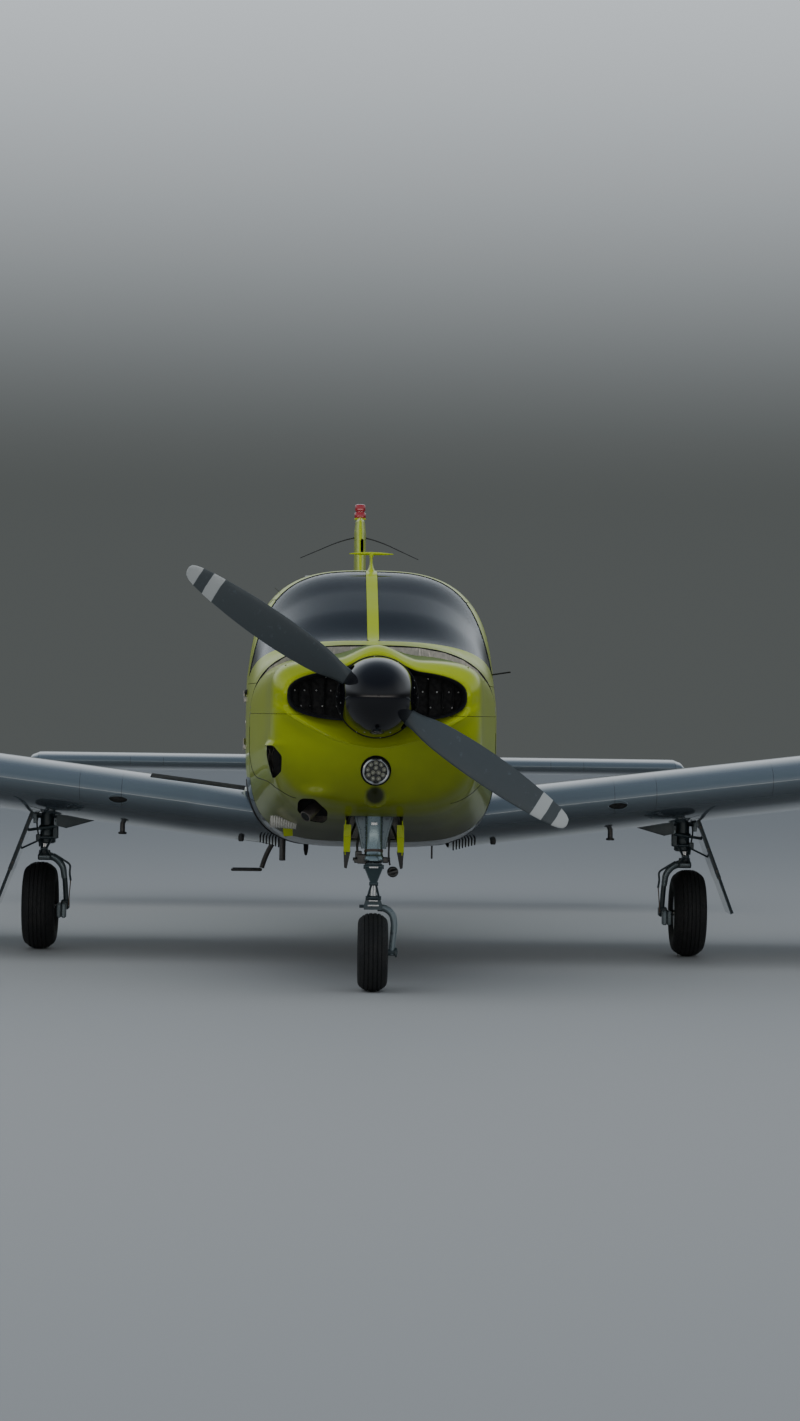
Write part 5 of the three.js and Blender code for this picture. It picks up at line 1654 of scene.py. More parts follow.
@dataclass(frozen=True)
class WingForm(Lifting):
    """The main wing: constant chord, dihedral, and a leading edge that sweeps forward at the root."""

    chord: float = 1.6
    thick: float = 0.15
    camber: float = 0.02
    hinge: float = 0.815
    ends: tuple[tuple[float, float, float], ...] = (
        (4.66, 1, 0), (4.77, 0.92, 0.01), (4.85, 0.72, 0.035),
        (4.896, 0.42, 0.08), (4.909, 0.12, 0.13), (4.91, 0, 0.135),
    )
    side: Side = Side.PORT
    lead: float = 2.17
    lean: float = math.radians(7)
    turn: float = math.radians(2)
    level_x: float = 0.83
    level_z: float = 0.7
    root: float = 0.44
    glove: float = 0.13
    fuller: float = 0.07
    nose_up: Table = (
        (0.0, 0.0175), (0.12, 0.006), (0.25, -0.008), (0.4, -0.0155),
        (0.55, -0.011), (0.68, -0.003), (0.78, 0.0), (1.0, 0.0),
    )

    def mean(self, share: Array) -> Array:
        """The cambered line with its front part turned up about the section's middle."""
        knots, rise = np.array(self.nose_up).T
        return foil_camber(share, self.camber) + cubic(knots, rise[:, None], np.clip(share, 0, 1))[..., 0]

    def half(self, share: Array) -> Array:
        """Half the thickness, a little fuller ahead of the flap."""
        return self.thick * foil_half(share) * (1 + self.fuller * (1 - smoothstep(share, 0.6, 0.77)))

    def place(self, span: Array, aft: Array, up: Array) -> Array:
        """The place of a point of a section, square to the dihedral and turned by the incidence.

        Args:
            span: distance outboard.
            aft: distance behind the leading edge.
            up: height over the chord line.

        Returns:
            The points.
        """
        pivot = 0.3 * self.chord
        glove = np.clip(1 - (span - self.root) / (self.level_x - self.root), 0, 1)
        share = np.maximum(0, 1 - aft / (0.35 * self.chord))
        station = self.lead + pivot + (aft - pivot) * math.cos(self.turn) + up * math.sin(self.turn)
        rise = up * math.cos(self.turn) - (aft - pivot) * math.sin(self.turn)
        z = self.level_z + (span - self.level_x) * math.tan(self.lean) + rise * math.cos(self.lean)
        x = self.side.value * (span - rise * math.sin(self.lean))
        return points_at(x, station - self.glove * glove * share**2, z)


def outside_body(points: Array, inset: float = 0.0) -> Array:
    """Signed distance from the fuselage's skin, negative outside it, by the section's own superellipse.

    Args:
        points: places in space.
        inset: how far inside the skin the border lies.

    Returns:
        One distance for each point.
    """
    station = points[:, 1] + LENGTH / 2
    _, width, bottom, top, middle, upper, lower, _ = np.moveaxis(BODY.row(station), -1, 0)
    high = points[:, 2] >= middle
    power = np.where(high, upper, lower)
    tall = np.where(high, top - middle, middle - bottom) - inset
    width = width - inset
    aside, above = points[:, 0] / width, (points[:, 2] - middle) / tall
    share = (np.abs(aside) ** power + np.abs(above) ** power) ** (1 / power)
    return width * (1 - share)


@dataclass
class Wing:
    """One wing with its flap, aileron, tip, wells and fittings."""

    side: Side
    cell: float = 0.02
    skin: float = 3 * MM
    clear: float = 6 * MM
    flap: Pair = (0.535, 2.784)
    aileron: Pair = (2.796, 4.62)
    flap_hinges: tuple[float, ...] = (0.7, 1.66, 2.62)
    aileron_hinges: tuple[float, ...] = (2.95, 3.71, 4.47)
    wheel_well: tuple[float, float, float] = (1.06, 2.96, 0.235)
    leg_well: tuple[float, float, float, float] = (1.06, 1.65, 2.875, 3.045)
    roof: float = 0.1
    form: WingForm = field(init=False)

    def __post_init__(self) -> None:
        """Sets the wing's form to its side."""
        self.form = WingForm(side=self.side)

    def flap_lip(self) -> float:
        """The station of the lips that the moving surfaces swing behind."""
        nose = self.form.nose()
        lip = math.sqrt((nose + self.clear) ** 2 - nose**2) + self.clear
        return self.form.lead + self.form.hinge * self.form.chord - lip

    def wells(self) -> Region:
        """The holes for the wheel and the leg, seen from below, on the lower skin only.

        Returns:
            The region that is open.
        """
        x, station, radius = self.wheel_well
        inner, outer, front, back = self.leg_well

        def region(points: Array) -> Array:
            """The distance from the nearer of a circle and a rectangle.

            Args:
                points: places in space.

            Returns:
                One distance for each point.
            """
            away = np.abs(points[:, 0])
            along = points[:, 1] + LENGTH / 2
            wheel = np.hypot(away - x, along - station) - radius
            leg = np.max([inner - away, away - outer, front - along, along - back], 0)
            mean = self.form.place(away, along - self.form.lead, np.zeros(len(points)))[:, 2]
            return np.maximum(np.minimum(wheel, leg), points[:, 2] - mean - 0.02)

        return region

    def build(self) -> None:
        """Makes the skin, the surfaces and the fittings."""
        label = self.side.label
        tips = self.form.ends[-1][0]
        lip = self.flap_lip()
        inner, outer = self.flap[0] - self.clear, self.aileron[1] + self.clear
        flat = top_view(Outline(((inner, lip), (inner, 5.0), (outer, 5.0), (outer, lip)), 0.001))

        def trailing(points: Array) -> Array:
            """The room of the flap and aileron, on whichever side."""
            return flat(points * (self.side.value, 1, 1))

        region = without(outside_body, trailing, self.wells())
        fine, coarse = steps(0.42, 2.1, self.cell), steps(2.1, 4.66, 2 * self.cell)
        spans = [fine, coarse[1:], steps(4.66, tips, 0.014)[1:]]
        middle = at(self.side.value * 2.7, 3.0, 0.93)
        skin = wrapped(self.form.point, 0.5, np.concatenate(spans), 132, region, self.skin, middle)
        share = (lip - self.form.lead) / self.form.chord
        cove = self.form.cove((inner, outer), self.clear, 2 * MM)
        ribs = [self.form.rib(inner - 3 * MM, share, 2 * MM), self.form.rib(outer + 1 * MM, share, 2 * MM)]
        solids = [skin, *tagged(2, cove, *ribs), *tagged(3, *self.plates()), *tagged(1, *self.well_walls())]
        dressed = (SILVER, VOID_SHADE, SILVER, DARK_STEEL)
        make(f"wing_skin_{label}", solids, dressed, "wing_silver", f"wing_{label}")
        self.fittings()
        for kind, spans, hinges in (
            ("flap", self.flap, self.flap_hinges), ("aileron", self.aileron, self.aileron_hinges)
        ):
            surface, name = self.form.trailing(spans, hinges, 7 * MM, 0.036), f"{kind}_{label}"
            make(f"{kind}_skin_{label}", [surface], SILVER, "wing_silver", name, body=name)

    def plates(self) -> list[Solid]:
        """The hinge plates of flap and aileron: a disc on each hinge line with its arm ahead of it.

        Returns:
            The plates.
        """
        solids = []
        share = np.array(self.form.hinge)
        along, up = float(share) * self.form.chord, float(self.form.mean(share)) * self.form.chord
        disc = mm((0, 0), (24, 0), (26, 2), (26, 8), (24, 10), (0, 10))
        half = (5 * MM, 0.013)
        for span in self.flap_hinges + self.aileron_hinges:
            places = np.array([span - 5 * MM, span + 5 * MM, span, span])
            ends = self.form.place(places, np.array([along, along, along, along - 0.078]), np.full(4, up))
            axis = ends[1] - ends[0]
            solids += [lathe(disc, ends[0], axis, 36), beam(ends[2], ends[3], half, half, axis)]
        return solids

    def well_walls(self) -> list[Solid]:
        """The wheel's round box and the leg's long box inside the wing, their feet on the lower skin.

        Returns:
            The walls.
        """
        x, station, radius = self.wheel_well
        outer, front, back = self.leg_well[1:]
        turn = np.radians(np.linspace(28, 332, 60))

        def foot(span: Array, along: Array) -> Array:
            """Points of the lower skin, a little inside it."""
            share = (along - self.form.lead) / self.form.chord
            aft, mid, half = self.form.flat(share)
            return self.form.place(span, aft, mid - half) + (0, 0, 4 * MM)

        walls = []
        wall = np.array([0.5 * MM, 2.5 * MM])
        spans = x + (radius + wall[:, None]) * np.cos(turn)
        along = station + (radius + wall[:, None]) * np.sin(turn)
        low = foot(spans, along)
        top = low.copy()
        top[..., 2] = float(low[..., 2].mean()) + self.roof
        walls.append(capped(np.stack([low[0], top[0], top[1], low[1]], 1)))
        run = np.linspace(x + 0.2, outer + 2 * MM, 12)
        for edge, way in ((front, -1), (back, 1)):
            low = foot(np.tile(run, (2, 1)), np.stack([np.full(12, edge + way * w) for w in wall]))
            top = low + (0, 0, 0.075)
            walls.append(capped(np.stack([low[0], top[0], top[1], low[1]], 1)))
        lid = [(0, 0), (radius + 2 * MM, 0), (radius + 2 * MM, 2 * MM), (0, 2 * MM)]
        centre = foot(np.array([x]), np.array([station]))[0]
        walls.append(lathe(lid, (centre[0], centre[1], top[..., 2].mean() + 0.03), (0, 0, 1), 48))
        return walls

    def fittings(self) -> None:
        """The air inlet in the leading edge, jack pad, fuel cap, tip light, and the walkway to the door."""
        label, s = self.side.label, self.side.value
        nose = self.form.place(np.array([1.17]), np.array([5 * MM]), np.array([0.001]))[0]
        turn = circle(40)
        ring = np.stack([0.048 * np.cos(turn), 4 * MM - 0.008 * np.sin(turn), 0.021 * np.sin(turn)], -1)
        lip = nose + ring
        # A near-black ellipsoid fills the inlet: painted shade of the duct behind it.
        inlet = ellipsoid(nose + (0, 0.008, 0), (0.046, 0.01, 0.019))
        pad = mm((0, 0), (18, 0), (20, 3), (20, 9), (12, 12), (12, 100), (0, 100))
        pad = lathe(pad, at(s * 1.172, 2.6, 0.578), (0, 0, 1), 32)
        root = mm((0, 0), (10, 0), (14, 8), (14, 60), (0, 60))
        root = lathe(root, at(s * 0.6, 2.45, 0.556), (0, 0, 1), 24)
        cap = self.form.point(np.array([1.75]), np.array([math.acos(2 * 0.33 - 1)]))[0]
        cover = mm((0, 5), (30, 5), (36, 3), (45, 3), (47, -2), (0, -2))
        cover = lathe(cover, cap, (-0.12 * s, 0.02, 1), 48)
        solids = [tube(lip, 3 * MM, 8, closed=True), inlet.tagged(1), *tagged(2, pad, root), cover]
        make(f"wing_fittings_{label}", solids, (SILVER, VOID_SHADE, DARK_STEEL), "wing_silver")
        tip = self.form.place(np.array([4.78]), np.array([0.1]), np.array([0.02]))[0]
        lamp = TIP_RED if self.side is Side.PORT else TIP_GREEN
        make(f"tip_light_{label}", [ellipsoid(tip, (0.03, 0.06, 0.024))], lamp, "lamp_glass")
        if self.side is Side.STARBOARD:
            shares = np.linspace(0.9, 0.085, 60)
            spans, angles = np.meshgrid(np.linspace(0.6, 1.045, 40), np.arccos(2 * shares - 1), indexing="ij")
            rows = self.form.point(spans.ravel(), angles.ravel()).reshape(40, 60, 3)
            ring = np.concatenate([rows + (0, 0, 1.6 * MM), rows[:, ::-1] - (0, 0, 0.4 * MM)], 1)
            make("wing_walkway", [capped(ring)], GRIT, "panel_black")


@dataclass(frozen=True)
class StabForm(Lifting):
    """The all-moving tailplane."""

    chord: float = 0.76
    thick: float = 0.135
    camber: float = 0.0
    hinge: float = 0.82
    ends: tuple[tuple[float, float, float], ...] = (
        (1.9, 1, 0), (1.942, 0.7, 0.025), (1.9595, 0.25, 0.06), (1.96, 0, 0.065)
    )
    lead: float = 6.55
    level: float = 0.87

    def place(self, span: Array, aft: Array, up: Array) -> Array:
        """The place of a point of a section, all of which stand upright."""
        return points_at(span, self.lead + aft, self.level + up)


@dataclass(frozen=True)
class FinForm(Lifting):
    """The fin and rudder: sections stacked upward, whose edges follow the rows table."""

    chord: float = 1.0
    thick: float = 0.072
    camber: float = 0.0
    hinge: float = 0.6
    ends: tuple[tuple[float, float, float], ...] = ()
    # Height, leading edge, trailing edge, share of thickness
    rows: tuple[tuple[float, float, float, float], ...] = (
        (1.04, 5.06, 7.49, 0.6),
        (1.39, 5.56, 7.5, 0.9),
        (1.5, 5.985, 7.49, 1.0),
        (2.262, 6.6, 7.412, 1.0),
        (2.33, 6.655, 7.402, 0.8),
        (2.357, 6.76, 7.33, 0.3),
        (2.3575, 6.78, 7.31, 0.0),
    )

    def edges(self, z: Array) -> Array:
        """Leading edge, trailing edge and share of thickness at heights."""
        table = np.array(self.rows)
        return np.stack([np.interp(z, table[:, 0], table[:, k]) for k in (1, 2, 3)], -1)

    def point(self, span: Array, angle: Array) -> Array:
        """The skin's points, with span as the height."""
        lead, trail, share = np.moveaxis(self.edges(span), -1, 0)
        u = (1 + np.cos(angle)) / 2
        half = foil_half(u) * self.thick * share * np.where(np.sin(angle) >= 0, 1, -1)
        return points_at(half, lead + u * (trail - lead), span)


@dataclass
class Tail:
    """Fin, rudder, stabilator and its tab."""

    stab: StabForm = StabForm()
    fin: FinForm = FinForm()
    clear: float = 6 * MM
    pivot: float = 6.76
    rudder_low: float = 1.118
    rudder_high: float = 2.262
    arms: float = 0.062
    arm_gap: float = 8 * MM
    tab: float = 1.12
    tab_hinges: tuple[float, ...] = (-0.9, 0.0, 0.9)
    rudder_hinges: tuple[float, ...] = (1.2, 1.69, 2.19)
    # Radius, height, in millimetres
    beacon: Table = (
        (0, 8), (34, 8), (35, 14), (35, 34), (33, 38), (27, 42), (27, 47),
        (31, 51), (31.5, 57), (31.5, 82), (29, 88), (20, 91), (0, 92),
    )

    def hinge_line(self, z: Array) -> Array:
        """The station of the rudder's hinge at a height."""
        return 7.0 + (z - 1.5) * 0.0328

    def nose(self, z: Array) -> Array:
        """The radius of the rudder's nose at a height."""
        lead, trail, _ = np.moveaxis(self.fin.edges(z), -1, 0)
        return foil_half((self.hinge_line(z) - lead) / (trail - lead)) * self.fin.thick

    def build(self) -> None:
        """Makes every piece."""
        self.stabilator()
        self.fin_and_rudder()

    def stabilator(self) -> None:
        """Two halves and a middle, with room between them for the tail cone's bearing arms, and the tab."""
        form = self.stab
        lip = form.lead + form.hinge * form.chord - 0.021
        edge = self.tab + 5 * MM
        cut = top_view(Outline(((-edge, lip), (-edge, 8), (edge, 8), (edge, lip)), 0.001))

        def slots(points: Array) -> Array:
            """The room of the two arms."""
            return np.abs(np.abs(points[:, 0]) - self.arms) - self.arm_gap

        ends = steps(1.9, 1.96, 6 * MM)
        half = np.concatenate([steps(0.136, 1.9, 0.036), ends[1:]])
        spans = np.concatenate([-half[::-1], steps(-0.136, 0.136, 0.016)[1:-1], half])
        region = without(everywhere, cut, slots)
        skin = wrapped(form.point, 0.25, spans, 104, region, 2 * MM, at(0, 6.8, 0.87))
        cove = form.cove((-edge, edge), 5 * MM, 2 * MM)
        share = (lip - form.lead) / form.chord
        ribs = [form.rib(s * (self.tab + 6 * MM), share, s * 2 * MM) for s in (-1, 1)]
        walls = []
        aft, mid, half = form.flat(np.linspace(0.002, share, 24))
        ring_aft = np.concatenate([aft, aft[::-1]])
        ring_up = 0.96 * np.concatenate([mid + half, (mid - half)[::-1]])
        for s in (-1, 1):
            for wall in (self.arms - self.arm_gap - 1 * MM, self.arms + self.arm_gap + 1 * MM):
                rows = [form.place(np.full(48, s * wall + k), ring_aft, ring_up) for k in (-1 * MM, 1 * MM)]
                walls.append(capped(np.array(rows)))
        spar = rod((-0.09, self.pivot - LENGTH / 2, 0.87), (0.09, self.pivot - LENGTH / 2, 0.87), 12 * MM)
        solids = [skin, cove, *ribs, *walls, spar.tagged(1)]
        finishes = (SILVER, STEEL, SILVER)
        make("stabilator_skin", solids, finishes, "wing_silver", "stabilator", body="stabilator")
        tab = form.trailing((-self.tab, self.tab), self.tab_hinges, 5 * MM, 13 * MM)
        make("tab_skin", [tab], SILVER, "wing_silver", "anti_servo_tab", body="anti_servo_tab")

    def fin_and_rudder(self) -> None:
        """The fin's skin with the rudder's room cut out of it, and the rudder."""
        low, high = self.rudder_low - self.clear, self.rudder_high + self.clear
        lips = []
        for z in (low, high):
            nose = float(self.nose(np.array(z)))
            reach = math.sqrt((nose + self.clear) ** 2 - nose**2)
            lips.append(float(self.hinge_line(z)) - reach - self.clear)
        cut = side_view(Outline(((lips[0], low), (8.0, low), (8.0, high), (lips[1], high)), 0.001))
        heights = np.concatenate([steps(1.0, 2.262, 0.014), steps(2.262, 2.3575, 6 * MM)[1:]])
        slot = front_view(Outline(((0.0, 2.125), (0.02, 2.125), (0.02, 2.215), (0.0, 2.215)), 8 * MM))
        region = without(outside_body, cut, common(slot, beyond(1, 6.75 - LENGTH / 2, -1)))
        skin = wrapped(self.fin.point, 0.4, heights, 112, region, 2 * MM, at(0, 6.8, 1.7))
        heights = steps(low, high, 0.05)
        turn = np.linspace(-1.0, 1.0, 25)
        rows = []
        for z in heights:
            nose = float(self.nose(np.array(z)))
            radius = nose + self.clear
            lip = math.sqrt(radius**2 - nose**2) + self.clear
            angle = turn * math.acos(lip / radius)
            hinge = float(self.hinge_line(z))
            arcs = []
            for reach, turned in ((radius, angle), (radius + 2 * MM, angle[::-1])):
                arcs.append(points_at(reach * np.sin(turned), hinge - reach * np.cos(turned), z))
            rows.append(np.concatenate(arcs))
        cove = capped(np.array(rows))
        ribs = []
        for z, lip_station, lift in ((low, lips[0], -2 * MM), (high, lips[1], 2 * MM)):
            lead, trail, share = self.fin.edges(np.array(z))
            along = np.linspace(lip_station, trail - 1 * MM, 20)
            half = foil_half((along - lead) / (trail - lead)) * self.fin.thick * share - 0.5 * MM
            across, aft = np.concatenate([half, -half[::-1]]), np.concatenate([along, along[::-1]])
            ribs.append(capped(np.array([points_at(across, aft, z + k) for k in (0.3 * lift, lift)])))
        plates = []
        for z in self.rudder_hinges:
            hinge = float(self.hinge_line(np.array(z)))
            half = (6 * MM, 4 * MM)
            plates.append(rod(at(0, hinge, z - 4 * MM), at(0, hinge, z + 4 * MM), 11 * MM, 28))
            plates.append(beam(at(0, hinge, z), at(0, hinge - 0.055, z), half, half))
        solids = [skin, *tagged(2, cove, *ribs), *tagged(3, *plates)]
        make("fin_skin", solids, (LIME, VOID_SHADE, LIME, DARK_STEEL), "body_lime", "fin")
        top = at(0, 6.88, 2.348)
        base = lathe(mm((0, -4), (36, -4), (36, 5), (32, 9), (0, 9)), top, (0, 0, 1), 48)
        lamp = lathe(mm(*self.beacon), top, (0, 0, 1), 64)
        rods = []
        whisker = [(0.06, 6.85, 2.228), (0.14, 6.885, 2.205), (0.25, 6.97, 2.162), (0.36, 7.06, 2.118)]
        for s in (-1, 1):
            route = [at(0, 6.84, 2.238), *(at(s * x, station, z) for x, station, z in whisker)]
            rods.append(bent(route, np.linspace(4, 2.5, 40) * MM, 10, 40))
            foot = mm((0, 0), (9, 0), (7, 12), (4, 20))
            rods.append(lathe(foot, at(s * 0.022, 6.843, 2.236), (s, 0, -0.15), 16))
        solids = [base, lamp.tagged(1), *tagged(2, *rods)]
        make("fin_beacon", solids, (LIME, BEACON_RED, DARK_STEEL), "lamp_glass")
        rows = []
        places = [(self.rudder_low, False)]
        for z in self.rudder_hinges:
            places += [(z - 6 * MM, False), (z - 6 * MM, True), (z + 6 * MM, True), (z + 6 * MM, False)]
        places += [(self.rudder_high, False)]
        for z, notched in places:
            radius = float(self.nose(np.array(z)))
            hinge, trail = float(self.hinge_line(z)), float(self.fin.edges(np.array(z))[1])
            angle = np.linspace(90, -90, 23)[1:-1] * math.pi / 180
            flank = np.linspace(trail, hinge, 12)
            wide = 1.5 * MM + (radius - 1.5 * MM) * (trail - flank) / (trail - hinge)
            xs = np.concatenate([wide, radius * np.sin(angle), -wide[::-1]])
            ys = np.concatenate([flank, hinge - radius * np.cos(angle), flank[::-1]])
            if notched:
                limit = hinge + 17 * MM
                room = 1.5 * MM + (radius - 1.5 * MM) * (trail - np.maximum(ys, limit)) / (trail - hinge)
                xs, ys = np.clip(xs, -room, room), np.maximum(ys, limit)
            rows.append(points_at(xs, ys, z))
        make("rudder_skin", [capped(np.array(rows))], LIME, "body_lime", "rudder", body="rudder")


# Parameter, station, half width, bottom, top, widest height, upper power, lower power, hump
NOSE = Sections(
    (
        (0.14, 0.47, 0.356, 1.15, 1.34, 1.245, 2.6, 2.8, 0.05),
        (0.22, 0.40, 0.356, 1.15, 1.34, 1.245, 2.6, 2.8, 0.052),
        (0.27, 0.346, 0.36, 1.147, 1.343, 1.245, 2.6, 2.8, 0.054),
        (0.3, 0.325, 0.368, 1.14, 1.35, 1.245, 2.6, 2.8, 0.056),
        (0.32, 0.32, 0.378, 1.132, 1.357, 1.245, 2.6, 2.8, 0.058),
        (0.335, 0.326, 0.391, 1.108, 1.365, 1.244, 2.7, 2.8, 0.062),
        (0.35, 0.345, 0.404, 1.076, 1.373, 1.242, 2.9, 2.8, 0.064),
        (0.385, 0.385, 0.426, 0.95, 1.388, 1.235, 3.4, 3.0, 0.064),
        (0.44, 0.44, 0.44, 0.838, 1.396, 1.215, 4.2, 3.2, 0.062),
        (0.54, 0.54, 0.45, 0.762, 1.4, 1.185, 4.8, 3.5, 0.058),
        (0.7, 0.7, 0.461, 0.716, 1.403, 1.15, 5.0, 3.8, 0.056),
        (1.0, 1.0, 0.503, 0.662, 1.412, 1.112, 4.2, 4.0, 0.055),
        (1.29, 1.29, 0.544, 0.606, 1.434, 1.1, 3.3, 4.0, 0.042),
    ),
    hump_width=0.19,
)


def locate(
    surface: Surface, targets: Array, guess: Pair, axes: tuple[int, int] = (0, 2)
) -> Array:
    """The two parameters of a surface's points at given places in a view, by Newton steps.

    Args:
        surface: gives points from arrays of two parameters.
        targets: the places, two coordinates each.
        guess: the two parameters to start from.
        axes: which coordinates the view shows.

    Returns:
        The parameters, one row for each place.
    """
    targets = np.array(targets, float)
    a, b = np.full(len(targets), guess[0]), np.full(len(targets), guess[1])
    step = 1e-4
    for _ in range(30):
        here = surface(a, b)
        miss = targets - here[:, axes]
        by_a = (surface(a + step, b) - here)[:, axes] / step
        by_b = (surface(a, b + step) - here)[:, axes] / step
        det = by_a[:, 0] * by_b[:, 1] - by_a[:, 1] * by_b[:, 0]
        det = np.where(np.abs(det) < 1e-4, 1e-4, det)
        da = (miss[:, 0] * by_b[:, 1] - miss[:, 1] * by_b[:, 0]) / det
        db = (by_a[:, 0] * miss[:, 1] - by_a[:, 1] * miss[:, 0]) / det
        a, b = a + np.clip(da, -0.05, 0.05), b + np.clip(db, -0.05, 0.05)
    return np.stack([a, b], -1)


def traced(surface: Surface, route: Array, radius: float, count: int = 60) -> Solid:
    """A thin bead on a surface along a smooth curve of its two parameters."""
    u, v = smooth(route, count).T
    return tube(surface(u, v), radius, 8)


@dataclass
class Cowl:
    """The engine cowl: two halves with the cooling inlets, side inlet and holes for pipe, lamp and leg."""

    cell: float = 8 * MM
    arc: float = 0.42
    seam: float = 1.165
    gap: float = 1.0 * MM
    skin: float = 4 * MM
    lamp: tuple[float, float, float] = (0.0, 0.934, 0.064)
    dimple: tuple[float, float, float, float] = (0.0, 0.824, 0.046, 0.036)
    crease: tuple[float, float, float, float] = (1.03, 0.11, 0.33, 1.8)
    shelf_lean: float = 0.72
    shelf_soft: float = 8 * MM
    lip_forward: float = 13 * MM
    lip_wide: float = 0.03
    rim_raised: float = 4 * MM
    face_end: float = 0.8
    # X, height, half width, half height, depth
    hood: tuple[float, ...] = (-0.255, 0.825, 0.075, 0.032, 0.034)
    # Height, station, half height, half length, swell
    scoop: tuple[float, ...] = (0.99, 0.54, 0.055, 0.07, 0.026)
    brow: tuple[float, ...] = (1.036, 0.48, 0.012, 0.08, 0.012)
    side_inlet: Outline = Outline(
        ((-0.52, 1.03), (-0.43, 1.034), (-0.392, 0.99), (-0.394, 0.925), (-0.43, 0.886), (-0.492, 0.955)),
        0.018,
    )
    pipe_hole: Outline = Outline(
        ((-0.322, 0.812), (-0.255, 0.812), (-0.197, 0.757), (-0.2, 0.702), (-0.262, 0.698), (-0.326, 0.752)),
        0.028,
    )
    bay: Outline = Outline(((-0.117, 0.6), (0.117, 0.6), (0.117, 1.24), (-0.117, 1.24)), 0.01)

    def surface(self, u: Array, v: Array) -> Array:
        """The cowl's outer face: the nose sections, then a shelf above a crease, a dent and two bulges.

        Above the crease the face leans aft by a softened ramp of the height over the crease, which fades
        out over the opening; the crease itself stands a little forward as a bell of the same height.

        Args:
            u: the table's parameter, along the cowl.
            v: the angle round it times the mean radius.

        Returns:
            The points.
        """
        points = NOSE.point(u, v / self.arc)
        x, station, z = points[:, 0], points[:, 1] + LENGTH / 2, points[:, 2]
        over, face = self.over(x, z), station < self.face_end
        ramp = self.shelf_soft * np.logaddexp(0, over / self.shelf_soft)
        fade = (1 - smoothstep(z, 1.14, 1.25)) * (1 - smoothstep(station, 0.4, 0.62))
        shift = fade * (self.shelf_lean * ramp - self.lip_forward * bell(over / self.lip_wide))
        dent_x, dent_z, radius, deep = self.dimple
        away = np.hypot(x - dent_x, z - dent_z) / radius
        dish = np.clip(1 - away**2, 0, 1) ** 0.7
        shift += deep * dish * (1 - smoothstep(away, 0.9, 1.02)) * face
        shift -= self.rim_raised * bell((away - 1.12) / 0.1) * (z < dent_z) * face
        hood_x, hood_z, wide, tall, deep = self.hood
        shift -= deep * bell((x - hood_x) / wide, (z - hood_z) / tall) * face
        points = points + np.stack([0 * shift, shift, 0 * shift], -1)
        scoop, brow = (
            swell * bell((z - level) / tall, (station - middle) / long) * (x < -0.3)
            for level, middle, tall, long, swell in (self.scoop, self.brow)
        )
        return points - np.stack([scoop + brow, brow, 0 * brow], -1)

    def over(self, x: Array, z: Array) -> Array:
        """The height over the crease, which rises to both sides as a power of the distance inboard."""
        base, rise, wide, power = self.crease
        return z - base - rise * (np.abs(x) / wide) ** power

    def ridge(self) -> Solid:
        """A fine bead along the crease, found in every direction where the height over it is nought.

        Returns:
            The bead.
        """
        u = np.linspace(0.335, 0.5, 300)
        v = np.radians(np.linspace(199, 341, 110)) * self.arc
        grid_u, grid_v = np.meshgrid(u, v, indexing="ij")
        points = NOSE.point(grid_u.ravel(), grid_v.ravel() / self.arc)
        over = self.over(points[:, 0], points[:, 2]).reshape(grid_u.shape)
        along = np.array([np.interp(0, over[::-1, k], u[::-1]) for k in range(len(v))])
        fade = np.sin(np.linspace(0, np.pi, len(v))) ** 0.6
        return tube(self.surface(along, v) - (0, 1 * MM, 0), 0.4 * MM + 3 * MM * fade, 10)

    def throat(self) -> Solid:
        """A wall just inside the cooling inlets' lips, near black as painted shade of the engine bay.

        Returns:
            The wall.
        """
        angle = circle(160)
        rows = []
        out, back = np.linspace(0.15, 0.314, 14), np.linspace(0.314, 0.15, 14)
        for inset, run in ((1.5 * MM, out), (2.5 * MM, back)):
            rows += [NOSE.point(np.full(160, u), angle, inset) for u in run]
        return grid(np.array(rows), wrap_rows=True, wrap_columns=True)

    def build(self) -> None:
        """Makes the two halves, the baffle behind the openings, near black as painted shade, and what the
        holes show.
        """
        low = common(beyond(2, self.seam - self.gap, -1), beyond(1, 1.288 - LENGTH / 2, -1))
        high = common(beyond(2, self.seam + self.gap), beyond(1, 1.288 - LENGTH / 2, -1))
        x, z, radius = self.lamp
        holes = [
            common(front_view(self.side_inlet), beyond(1, 0.62 - LENGTH / 2, -1)),
            common(front_view(self.pipe_hole), beyond(1, 0.8 - LENGTH / 2, -1)),
            common(disc_view(x, z, radius), beyond(1, 0.6 - LENGTH / 2, -1)),
            common(top_view(self.bay), beyond(2, 0.85, -1)),
        ]
        spans = [(0.16, 0.3, 0.014), (0.3, 0.37, 0.005), (0.37, 0.7, self.cell), (0.7, 1.295, 0.014)]
        along = np.concatenate([[spans[0][0]], *(steps(*span)[1:] for span in spans)])
        around = circle(324) * self.arc
        middle = at(0, 0.9, 1.05)
        bottom = trimmed(self.surface, along, around, without(low, *holes), self.skin, middle, wrap=True)
        top = trimmed(self.surface, along, around, high, self.skin, middle, wrap=True)
        dressed = (COWL_LIME, VOID_SHADE, VOID_SHADE)
        make("cowl_skin_bottom", [bottom, self.ridge().tagged(0)], dressed, "cowl_lime", "cowl_bottom")
        make("cowl_skin_top", [top], dressed, "cowl_lime", "cowl_top")
        self.light()
        self.pipes()
        self.trim()

